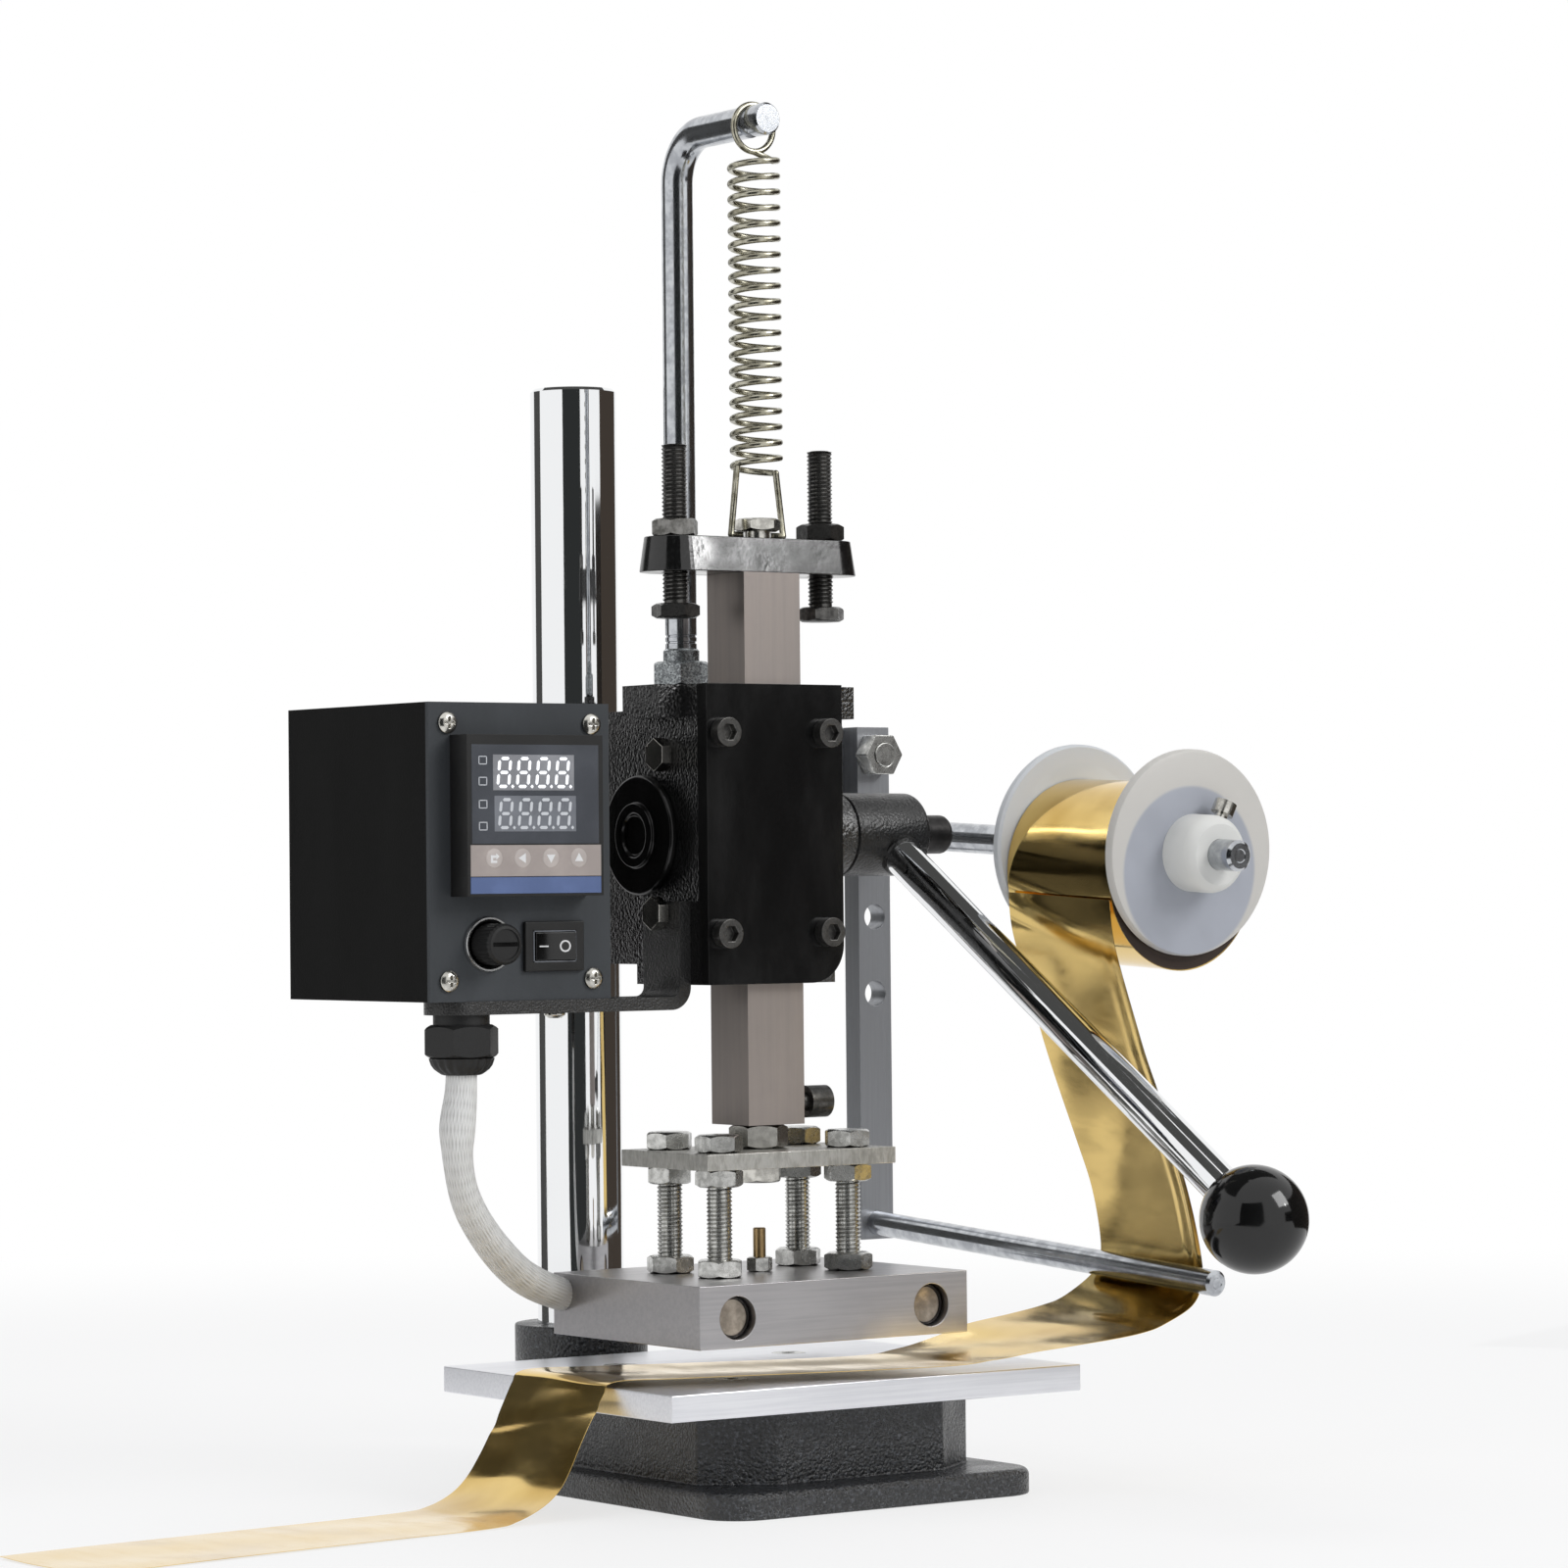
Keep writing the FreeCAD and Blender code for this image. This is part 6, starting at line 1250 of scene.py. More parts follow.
@dataclass
class SpringGear:
    """Bent rod with its nut, and the return spring that hangs from it."""

    rod_radius: float = 5 * MM
    rod_y: float = 39.8 * MM
    rod_low: float = 231 * MM
    rod_high: float = 423 * MM
    rod_bend: float = 15 * MM
    rod_front: float = -10.2 * MM
    groove_back: float = -0.5 * MM
    groove_front: float = -4.3 * MM
    groove_deep: float = 0.9 * MM
    nut_low: float = 249 * MM
    nut_tall: float = 8 * MM
    nut_flats: float = 17 * MM
    collar_top: float = 261 * MM
    collar_radius: float = 5.7 * MM
    rings: Sequence[float] = (263.0 * MM, 265.0 * MM)
    wire_plating: float = 0.1 * MM

    def rod(self) -> None:
        """Plated rod: up, round the bend, forward to a groove and a sawn end."""
        part = bmesh.new()
        bmesh.ops.create_circle(part, segments=48, radius=self.rod_radius, cap_ends=True,
                                matrix=Matrix.Translation((0, self.rod_y, self.rod_low)))
        rim = [edge for edge in part.edges if edge.is_boundary] or list(part.edges)

        def push(rim: list, offset: Sequence[float], radius: float, centre: Vector) -> list:
            """Draw the open rim out by an offset and give its end a radius."""
            grown = bmesh.ops.extrude_edge_only(part, edges=rim)["geom"]
            corners = [thing for thing in grown if isinstance(thing, bmesh.types.BMVert)]
            bmesh.ops.translate(part, vec=offset, verts=corners)
            for corner in corners:
                out = corner.co - centre
                corner.co = centre + out.normalized() * radius
            return [thing for thing in grown if isinstance(thing, bmesh.types.BMEdge)
                    and thing.is_boundary]

        radius = self.rod_radius
        level = self.rod_low
        stations = [(ring + shift, radius - cut) for ring in self.rings
                    for shift, cut in ((-0.4 * MM, 0.0), (-0.2 * MM, 0.35 * MM),
                                       (0.2 * MM, 0.35 * MM), (0.4 * MM, 0.0))]
        stations.append((self.rod_high - self.rod_bend, radius))
        for height, size in stations:
            rim = push(rim, (0, 0, height - level), size, Vector((0, self.rod_y, height)))
            level = height
        corners = list({corner for edge in rim for corner in edge.verts})
        bent = bmesh.ops.spin(part, geom=rim + corners, angle=math.pi / 2, steps=16,
                              cent=(0, self.rod_y - self.rod_bend, self.rod_high - self.rod_bend),
                              axis=(1, 0, 0))["geom_last"]
        rim = [thing for thing in bent if isinstance(thing, bmesh.types.BMEdge)]
        place = self.rod_y - self.rod_bend
        for ahead, size in ((self.groove_back, radius), (self.groove_back - 0.2 * MM,
                            radius - self.groove_deep), (self.groove_front + 0.2 * MM,
                            radius - self.groove_deep), (self.groove_front, radius),
                            (self.rod_front + 0.7 * MM, radius), (self.rod_front, radius * 0.86),
                            (self.rod_front, radius * 0.02)):
            rim = push(rim, (0, ahead - place, 0), size, Vector((0, ahead, self.rod_high)))
            place = ahead
        bar = Workpiece().add(part, Matrix())
        bar.finish("spring_rod_bent", Paint.ROD, "spring_rod", smooth=30.0)

    def nut(self) -> None:
        """Galvanised nut with a short collar above it."""
        where = set_at((0, self.rod_y, 0), turn=24.0)
        nut = Workpiece().hexagon(self.nut_flats, self.nut_low, self.nut_low + self.nut_tall,
                                  where, self.rod_radius)
        top = self.nut_low + self.nut_tall
        nut.turned([(self.rod_radius, top), (self.collar_radius, top),
                    (self.collar_radius, self.collar_top - 0.6 * MM),
                    (self.collar_radius - 0.6 * MM, self.collar_top),
                    (self.rod_radius, self.collar_top)], where, 48)
        nut.finish("spring_rod_nut_plated", Paint.SPANGLE, "spring_rod_nut")

    def spring(self) -> None:
        """The spring between the rod and the crossbar, copied with its wire a little thicker."""
        shape = bmesh.new()
        shape.from_mesh(frame["nodes"]["return_spring"].data)
        bmesh.ops.remove_doubles(shape, verts=shape.verts, dist=4e-6)
        shape.normal_update()
        for corner in shape.verts:
            corner.co += corner.normal * self.wire_plating
        wire = as_object("return_spring_wire", shape, Paint.SPRING.material(), 50.0)
        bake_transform(wire)
        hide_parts("return_spring")

    def build(self) -> None:
        """Build the spring gear's pieces."""
        self.rod()
        self.nut()
        self.spring()


# =============================================================================================
# Temperature control
# =============================================================================================

@dataclass
class Control:
    """Control box with its controller, fuse, switch, glands and heater sleeve."""

    face_left: float = -114.0 * MM
    face_top: float = 231.7 * MM
    face_front: float = -14.5 * MM
    key_drop: float = 36.7 * MM
    fuse: Sequence[float] = (-101.4 * MM, -5.0 * MM, 169.5 * MM)
    switch: Sequence[float] = (-78.5 * MM, -6.6 * MM, 168.6 * MM)
    gland_x: float = -104.8 * MM
    gland_y: float = 4.5 * MM
    gland_top: float = 148.5 * MM
    sleeve_radius: float = 4.6 * MM
    sleeve_side: Sequence[float] = (0.55, -0.83, 0.0)
    sleeve_widths: Sequence[float] = (1.0, 1.02, 1.12, 1.16, 1.02, 0.96, 0.97, 1.02, 1.06, 1.1,
                                      1.12, 1.12, 1.1)
    sleeve_route: Sequence[Sequence[float]] = (
        (-0.1048, 0.0045, 0.1365), (-0.1048, 0.0045, 0.1258), (-0.1081, 0.0027, 0.1141),
        (-0.1072, 0.0031, 0.1018), (-0.1023, 0.0059, 0.0907), (-0.0875, 0.0141, 0.0766),
        (-0.0682, 0.0249, 0.0649), (-0.0499, 0.0350, 0.0605))

    def spot(self, right: float, down: float) -> tuple[float, float]:
        """X and Z of a place on the controller's face, in millimetres from its corner."""
        return self.face_left + right * MM, self.face_top - down * MM

    def patch(self, name: str, paint: Paint, node: str, span: Sequence[float],
              proud: float) -> bpy.types.Object:
        """A thin rounded plate on the controller's face.

        Args:
            name: the piece's name.
            paint: its finish.
            node: the node that it belongs to.
            span: left, right, top and bottom in millimetres from the face's corner.
            proud: how far it stands out of the face.

        Returns:
            The new piece.
        """
        left, top = self.spot(span[0], span[2])
        right, bottom = self.spot(span[1], span[3])
        plate = Workpiece().block((left, self.face_front - proud, bottom),
                                  (right, self.face_front + 0.3 * MM, top), 0.08 * MM, 1)
        return plate.finish(name, paint, node, replaced=False)

    def digits(self, name: str, paint: Paint, node: str, left: float, right: float, top: float,
               bottom: float, proud: float) -> None:
        """Four seven-segment figures, each with its point."""
        outlines = []
        pitch = (right - left) / 4
        tall = (bottom - top) * 0.74
        wide = pitch * 0.56
        stroke = tall * 0.115
        lean = 0.1
        first = (top + bottom) / 2 - tall / 2
        for number in range(4):
            start = left + pitch * (number + 0.14)
            for level in (0.0, 0.5, 1.0):
                down = first + level * tall
                outlines.append(self.bar(start + stroke, start + wide - stroke, down, down,
                                         stroke, lean, first + tall))
            for side in (0.0, wide):
                for level in (0.0, 0.5):
                    outlines.append(self.bar(start + side, start + side,
                                             first + level * tall + stroke,
                                             first + (level + 0.5) * tall - stroke, stroke,
                                             lean, first + tall))
            dot = start + wide + 1.5 * stroke
            outlines.append(self.bar(dot, dot, first + tall - stroke * 0.1,
                                     first + tall + stroke * 0.1, stroke, 0.0, 0.0))
        marks = Workpiece()
        for outline in outlines:
            marks.plate(outline, self.face_front - proud, self.face_front)
        marks.finish(name, paint, node, replaced=False)

    def bar(self, left: float, right: float, top: float, bottom: float, stroke: float,
            lean: float, foot: float) -> list[tuple[float, float]]:
        """Outline of one lit segment with pointed ends, leaning as figures do.

        Args:
            left: where its middle line starts.
            right: where that line ends.
            top: how far down it starts.
            bottom: how far down it ends.
            stroke: its width.
            lean: how far it leans to the right for each millimetre above the foot.
            foot: how far down the figure stands.

        Returns:
            The outline as X and Z.
        """
        half = stroke / 2
        if abs(right - left) > abs(bottom - top):
            outline = [(left - half, top), (left, top - half), (right, top - half),
                       (right + half, top), (right, top + half), (left, top + half)]
        else:
            outline = [(left, top - half), (left + half, top), (left + half, bottom),
                       (left, bottom + half), (left - half, bottom), (left - half, top)]
        return [self.spot(right_by + lean * (foot - down), down) for right_by, down in outline]

    def controller(self) -> None:
        """The controller's case, displays, lamps and strips."""
        case = "controller_case"
        softened(case, Paint.CASE, 0.7 * MM, 3)
        dress(Paint.DISPLAY, "controller_window")
        self.patch("controller_field", Paint.FACE, case, (1.6, 46.4, 3.0, 32.4), 0.1 * MM)
        self.patch("upper_display", Paint.DISPLAY, case, (9.0, 37.6, 6.0, 16.6), 0.2 * MM)
        self.patch("lower_display", Paint.DIM_DISPLAY, case, (9.4, 38.2, 18.2, 28.8), 0.2 * MM)
        self.digits("upper_digits", Paint.DIGITS, case, 9.6, 36.9, 5.7, 16.9, 0.3 * MM)
        self.digits("lower_digits", Paint.DIM_DIGITS, case, 10.0, 37.5, 17.9, 29.1, 0.3 * MM)
        self.patch("key_strip_plate", Paint.KEY_STRIP, case, (1.0, 47.0, 32.8, 42.1), 0.25 * MM)
        self.patch("lower_strip", Paint.BLUE, case, (1.0, 47.0, 42.3, 47.2), 0.2 * MM)
        lamps = Workpiece()
        for down in (7.7, 13.9, 20.7, 27.2):
            for span in ((4.0, 6.9, -1.25, -1.0), (4.0, 6.9, 1.0, 1.25), (4.0, 4.25, -1.25, 1.25),
                         (6.65, 6.9, -1.25, 1.25)):
                left, top = self.spot(span[0], down + span[2])
                right, bottom = self.spot(span[1], down + span[3])
                lamps.block((left, self.face_front - 0.2 * MM, bottom),
                            (right, self.face_front, top))
        lamps.finish("lamp_outlines", Paint.DIM_DIGITS, case, replaced=False)

    def keys(self) -> None:
        """Four keys, each with its printed sign."""
        level = self.face_top - self.key_drop
        signs = {
            1: ((-1.3, 0.9), (0.6, 0.9), (0.6, 1.5), (1.7, 0.5), (0.6, -0.5), (0.6, 0.1),
                (-0.5, 0.1), (-0.5, -0.7), (0.9, -0.7), (0.9, -1.4), (-1.3, -1.4)),
            2: ((-1.5, 0.0), (1.0, 1.5), (1.0, -1.5)),
            3: ((0.0, -1.5), (1.5, 1.0), (-1.5, 1.0)),
            4: ((0.0, 1.5), (-1.5, -1.0), (1.5, -1.0))}
        for number, outline in signs.items():
            node = f"controller_key_{number}"
            low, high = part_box(node)
            middle = (low[0] + high[0]) / 2
            radius = (high[0] - low[0]) / 2
            where = set_at((middle, high[1], level), (0, -1, 0))
            cap = Workpiece().turned([(0, 0), (radius, 0), (radius, 1.35 * MM),
                                      (radius - 0.35 * MM, 1.7 * MM),
                                      (radius - 0.9 * MM, 1.8 * MM), (0, 1.7 * MM)], where, 40)
            cap.finish(f"key_cap_{number}", Paint.KEYS, node)
            sign = Workpiece().plate([(middle + x * MM, level + z * MM) for x, z in outline],
                                     low[1] - 0.02 * MM, low[1] + 0.3 * MM)
            sign.finish(f"key_sign_{number}", Paint.GLOWING_PRINT, node, replaced=False)

    def fuse_holder(self) -> None:
        """Bright ring, dark dish and a ribbed cap with a slot."""
        where = set_at(self.fuse, (0, -1, 0))
        ring = Workpiece().turned([(7.3 * MM, 0), (8.4 * MM, 0), (8.4 * MM, 0.9 * MM),
                                   (8.0 * MM, 1.6 * MM), (7.5 * MM, 1.6 * MM),
                                   (7.3 * MM, 1.2 * MM), (7.3 * MM, 0)], where, 72)
        ring.finish("fuse_ring", Paint.RING, "fuse_holder")
        dish = Workpiece().turned([(7.3 * MM, 1.1 * MM), (6.6 * MM, 0.3 * MM),
                                   (6.6 * MM, -14 * MM), (5.0 * MM, -24 * MM), (0, -24 * MM)],
                                  where, 48)
        dish.finish("fuse_dish", Paint.CASE, "fuse_holder")
        grip = ribbed(28, 0.22 * MM, 6.1 * MM, 1.9 * MM, 9.2 * MM)
        cap = Workpiece().turned([(0, -9 * MM), (4.3 * MM, -9 * MM), (4.3 * MM, 0.4 * MM),
                                  (5.9 * MM, 0.4 * MM), (6.2 * MM, 0.8 * MM), (6.2 * MM, 2.0 * MM),
                                  (6.2 * MM, 9.0 * MM), (6.1 * MM, 9.6 * MM),
                                  (5.4 * MM, 10.4 * MM), (4.6 * MM, 10.5 * MM),
                                  (4.5 * MM, 10.1 * MM), (0, 10.1 * MM)], where, 168, grip)
        cap.finish("fuse_grip", Paint.CASE, "fuse_cap", smooth=40.0)
        x, y, z = self.fuse
        slot = Workpiece().block((x - 4.2 * MM, y - 10.3 * MM, z - 0.6 * MM),
                                 (x + 4.2 * MM, y - 10.0 * MM, z + 0.6 * MM), 0.05 * MM, 1)
        slot.finish("fuse_slot_mark", Paint.GLOSS, "fuse_cap", replaced=False)

    def rocker(self) -> None:
        """Switch frame with a pale inner line, and the rocker with its two signs."""
        softened("rocker_frame", Paint.CASE, 0.4 * MM)
        x, front, z = self.switch
        line = Workpiece()
        for left, right, low, high in ((-7.6, 7.6, 4.4, 4.7), (-7.6, 7.6, -4.7, -4.4),
                                       (-7.6, -7.3, -4.7, 4.7), (7.3, 7.6, -4.7, 4.7)):
            line.block((x + left * MM, front - 0.08 * MM, z + low * MM),
                       (x + right * MM, front + 0.2 * MM, z + high * MM))
        line.finish("switch_line", Paint.DIM_DISPLAY, "rocker_frame", replaced=False)
        softened("rocker", Paint.GLOSS, 0.25 * MM)
        low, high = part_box("rocker")
        middle = (low[0] + high[0]) / 2
        signs = Workpiece()
        rise = (high[0] - low[0]) / 2
        dash_y = front - 0.14 * MM
        signs.block((middle - 5.6 * MM, dash_y - 0.06 * MM, z - 0.2 * MM),
                    (middle - 2.4 * MM, dash_y + 0.3 * MM, z + 0.2 * MM))
        tilt = math.atan2(1.2 * MM, rise)
        ring_at = Vector((middle + 3.3 * MM, front - 1.2 * MM * 3.3 * MM / rise - 0.06 * MM, z))
        signs.turned([(1.3 * MM, -0.1 * MM), (1.8 * MM, -0.1 * MM), (1.8 * MM, 0.03 * MM),
                      (1.3 * MM, 0.03 * MM), (1.3 * MM, -0.1 * MM)],
                     set_at(ring_at, (-math.sin(tilt), -math.cos(tilt), 0)), 32)
        signs.finish("switch_signs", Paint.GLOWING_PRINT, "rocker", replaced=False)

    def gland(self) -> None:
        """Sleeve gland: neck, hexagon and a ribbed dome that closes on the sleeve."""
        where = set_at((self.gland_x, self.gland_y, self.gland_top), (0, 0, -1), 14.0)
        body = Workpiece().turned([(self.sleeve_radius, -10 * MM), (6 * MM, -10 * MM),
                                   (6 * MM, 0), (8.5 * MM, 0), (8.5 * MM, 3 * MM),
                                   (self.sleeve_radius, 3 * MM)], where, 48)
        body.hexagon(20 * MM, 3 * MM, 13 * MM, where, self.sleeve_radius)
        grip = ribbed(20, 0.5 * MM, 6.2 * MM, 13.4 * MM, 17.2 * MM)
        body.turned([(self.sleeve_radius, 13 * MM), (9.9 * MM, 13 * MM), (9.8 * MM, 13.6 * MM),
                     (9.3 * MM, 15.0 * MM), (8.4 * MM, 16.2 * MM), (7.2 * MM, 17.1 * MM),
                     (6.1 * MM, 17.8 * MM), (5.4 * MM, 18 * MM), (self.sleeve_radius, 17.6 * MM),
                     (self.sleeve_radius, 13 * MM)], where, 120, grip)
        inside = self.gland_top + 5.2 * MM
        body.hexagon(14 * MM, inside, inside + 4 * MM, set_at((self.gland_x, self.gland_y, 0)),
                     6 * MM)
        body.finish("sleeve_gland_ribbed", Paint.GLAND, "sleeve_gland", smooth=40.0)

    def sleeve(self) -> None:
        """Braided sleeve from the gland to the block; it swells where it leaves the gland."""
        curve = bpy.data.curves.new("sleeve_line", "CURVE")
        curve.dimensions = "3D"
        curve.resolution_u = 24
        line = curve.splines.new("NURBS")
        line.points.add(len(self.sleeve_route) - 1)
        for point, place in zip(line.points, self.sleeve_route):
            point.co = (*place, 1.0)
        line.order_u = 3
        line.use_endpoint_u = True
        guide = bpy.data.objects.new("sleeve_line", curve)
        traced = bpy.data.meshes.new_from_object(guide)
        path = [corner.co.copy() for corner in traced.vertices]
        bpy.data.objects.remove(guide)
        bpy.data.meshes.remove(traced)
        length = sum((b - a).length for a, b in zip(path, path[1:]))
        LOG.info("sleeve: %.4f m", length)
        widths = [(width,) for width in self.sleeve_widths]
        tube = bmesh.new()
        around, along = 66, 150
        bmesh.ops.create_grid(tube, x_segments=along, y_segments=around, size=0.5, calc_uvs=True)
        skin = tube.loops.layers.uv.verify()
        for face in tube.faces:
            for loop in face.loops:
                loop[skin].uv = ((loop.vert.co.x + 0.5) * length / (math.tau * self.sleeve_radius),
                                 loop.vert.co.y + 0.5)
        for corner in tube.verts:
            share = corner.co.x + 0.5
            turn = (corner.co.y + 0.5) * math.tau
            here = Vector(smooth_line(path, share))
            ahead = Vector(smooth_line(path, min(1.0, share + 0.01)))
            behind = Vector(smooth_line(path, max(0.0, share - 0.01)))
            along_it = (ahead - behind).normalized()
            side = Vector(self.sleeve_side)
            side = (side - along_it * side.dot(along_it)).normalized()
            other = along_it.cross(side)
            strands = 1 + 0.016 * math.cos(22 * turn) + 0.012 * math.sin(3 * turn + 9 * share)
            reach = self.sleeve_radius * smooth_line(widths, share)[0] * strands
            corner.co = here + (side * math.cos(turn) + other * math.sin(turn)) * reach
        bmesh.ops.remove_doubles(tube, verts=tube.verts, dist=1e-7)
        for loop_edges in self.open_ends(tube):
            bmesh.ops.contextual_create(tube, geom=loop_edges)
        bmesh.ops.recalc_face_normals(tube, faces=tube.faces)
        sleeve = as_object("heater_sleeve_braided", tube, Paint.SLEEVE.material())
        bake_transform(sleeve)
        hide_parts("heater_sleeve")
        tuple(path[0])

    @staticmethod
    def open_ends(tube: bmesh.types.BMesh) -> list[list]:
        """The rims of a tube that is open at both ends."""
        left = {edge for edge in tube.edges if edge.is_boundary}
        rims = []
        while left:
            rim = [left.pop()]
            corners = set(rim[0].verts)
            while True:
                beside = [edge for edge in left if corners.intersection(edge.verts)]
                if not beside:
                    break
                for edge in beside:
                    left.discard(edge)
                    corners.update(edge.verts)
                    rim.append(edge)
            rims.append(rim)
        return rims

    def build(self) -> None:
        """Build the control box's pieces."""
        softened("box_bracket", Paint.STRAP, 0.6 * MM)
        softened("control_box_shell", Paint.BOX, 0.5 * MM, 3)
        softened("control_panel", Paint.PANEL, 0.4 * MM)
        softened("box_screws", Paint.BRIGHT, 0.12 * MM, 1)
        softened("power_gland", Paint.GLAND, 0.5 * MM)
        softened("solid_state_relay", Paint.CASE, 0.6 * MM)
        self.controller()
        self.keys()
        self.fuse_holder()
        self.rocker()
        self.gland()
        self.sleeve()


# =============================================================================================
# Foil gear
# =============================================================================================

@dataclass
class FoilGear:
    """Arm, bar and rods, the spool with its roll, and the web of foil."""

    rod_foot: Sequence[float] = (104.5 * MM, 80 * MM, 203.6 * MM)
    guide_foot: Sequence[float] = (104.5 * MM, 80 * MM, 73.4 * MM)
    rod_droop: float = 3.0
    guide_droop: float = 3.4
    rod_radius: float = 4.8 * MM
    rod_length: float = 188 * MM
    guide_radius: float = 4.0 * MM
    guide_length: float = 175 * MM
    flange_rear: float = 109.4 * MM
    flange_gap: float = 52 * MM
    flange_radius: float = 31.9 * MM
    flange_thick: float = 4 * MM
    hub_radius: float = 12 * MM
    hub_long: float = 13 * MM
    roll_drop: float = 7.75 * MM
    roll_radius: float = 29 * MM
    roll_width: float = 51 * MM
    core_radius: float = 14.8 * MM
    web_width: float = 50 * MM
    film_thick: float = 0.15 * MM
    arm_edge: float = 0.4 * MM
    bolt_edge: float = 0.5 * MM
    web_stations: Sequence[Sequence[float]] = (
        (0.0752, -0.0554, 0.1820, 0.0013), (0.0769, -0.0554, 0.1685, 0.0013),
        (0.0855, -0.0554, 0.1440, 0.0012), (0.0920, -0.0554, 0.1270, 0.0012),
        (0.1014, -0.0554, 0.1036, 0.0012), (0.1072, -0.0554, 0.0878, 0.0015),
        (0.1106, -0.0554, 0.0720, 0.0020), (0.1102, -0.0554, 0.0642, 0.0026),
        (0.1060, -0.0554, 0.0584, 0.0034), (0.0950, -0.0554, 0.0529, 0.0028),
        (0.0870, -0.0554, 0.0510, 0.0027), (0.0750, -0.0540, 0.0492, 0.0025),
        (0.0610, -0.0508, 0.0471, 0.0019), (0.0505, -0.0475, 0.0446, 0.0005),
        (0.0380, -0.0435, 0.0420, 0.0), (0.0200, -0.0380, 0.0404, 0.0),
        (-0.0500, -0.0145, 0.0402, 0.0), (-0.0700, -0.0080, 0.0404, 0.0),
        (-0.0768, -0.0062, 0.0393, 0.0), (-0.0786, -0.0060, 0.0364, 0.0),
        (-0.0812, -0.0060, 0.0322, 0.0), (-0.0863, -0.0060, 0.0230, 0.0),
        (-0.0905, -0.0060, 0.0153, 0.0), (-0.0950, -0.0060, 0.0090, 0.0),
        (-0.1010, -0.0062, 0.0044, 0.0), (-0.1100, -0.0075, 0.0013, 0.0),
        (-0.1210, -0.0100, 0.0006, 0.0), (-0.1600, -0.0140, 0.0006, 0.0),
        (-0.2220, -0.0210, 0.0006, 0.0), (-0.2620, -0.0270, 0.0006, 0.0))

    def along(self, droop: float) -> Vector:
        """Direction of a rod that points forwards and droops a little."""
        angle = math.radians(droop)
        return Vector((0, -math.cos(angle), -math.sin(angle)))

    def rods(self) -> None:
        """Spool rod and guide rod with turned ends."""
        for node, foot, droop, radius, length in (
                ("spool_rod", self.rod_foot, self.rod_droop, self.rod_radius, self.rod_length),
                ("guide_rod", self.guide_foot, self.guide_droop, self.guide_radius,
                 self.guide_length)):
            rod = Workpiece().turned([
                (0, -7.5 * MM), (radius, -7.5 * MM), (radius, length - 0.9 * MM),
                (radius - 0.9 * MM, length), (0.45 * radius, length),
                (0.4 * radius, length - 0.2 * MM), (0, length - 0.2 * MM)],
                set_at(foot, self.along(droop)), 64)
            rod.finish(node + "_turned", Paint.ROD, node, smooth=25.0)

    def flange(self, node: str, start: float, outward: int, paint: Paint) -> None:
        """A spool flange: rounded disc and hub.

        Args:
            node: the node that it stands for.
            start: the disc's inner face along the rod.
            outward: 1 where the hub points along the rod, or -1.
            paint: the disc's finish.
        """
        where = set_at(self.rod_foot, self.along(self.rod_droop))
        bore = self.rod_radius + 0.05 * MM
        thick, rim = self.flange_thick, self.flange_radius
        disc = [(bore, 0), (rim - 0.8 * MM, 0), (rim, 0.8 * MM), (rim, thick - 1.4 * MM),
                (rim - 0.5 * MM, thick - 0.4 * MM), (rim - 1.4 * MM, thick),
                (self.hub_radius, thick)]
        end = thick + self.hub_long
        hub = [(self.hub_radius, thick), (self.hub_radius, end - 4 * MM),
               (self.hub_radius - 0.35 * MM, end - 2.4 * MM),
               (self.hub_radius - 1.3 * MM, end - 0.9 * MM), (self.hub_radius - 2.6 * MM, end),
               (bore, end)]
        for name, profile, finish in (("disc", disc, paint), ("hub", hub, Paint.FLANGE_HUB)):
            shifted = [(radius, start + outward * height) for radius, height in profile]
            part = Workpiece().turned(shifted, where, 96)
            part.finish(f"{node}_{name}", finish, node, smooth=30.0)

    def roll(self) -> None:
        """Wound foil: a bright skin and the dark edges of its turns."""
        axis = self.along(self.rod_droop)
        across = Vector((0, -axis.z, axis.y)).normalized()
        if across.z > 0:
            across = -across
        foot = Vector(self.rod_foot) + across * self.roll_drop
        where = set_at(foot, axis)
        low = self.flange_rear + self.flange_gap / 2 - self.roll_width / 2
        high = low + self.roll_width
        radius = self.roll_radius

        def form(corner: Vector) -> Vector:
            """Let the outer turns ride a little high and low along the roll."""
            reach = math.hypot(corner.x, corner.y)
            if reach < radius - 0.3 * MM:
                return corner
            turn = math.atan2(corner.y, corner.x)
            sink = 0.12 * MM * (1 + math.sin(3 * turn + corner.z * 90))
            return Vector((corner.x * (1 - sink / reach), corner.y * (1 - sink / reach),
                           corner.z))

        steps = 12
        skin = [(radius, low + (high - low) * step / steps) for step in range(steps + 1)]
        gold = Workpiece().turned([(radius - 0.4 * MM, low), *skin, (radius - 0.4 * MM, high)],
                                  where, 120, form)
        gold.finish("foil_roll_skin", Paint.ROLL, "foil_roll", smooth=50.0)
        edges = Workpiece()
        for level in (low + 0.02 * MM, high - 0.02 * MM):
            edges.turned([(self.core_radius, level), (radius - 0.35 * MM, level)], where, 96)
        edges.finish("foil_roll_edges", Paint.LAYERS, "foil_roll")

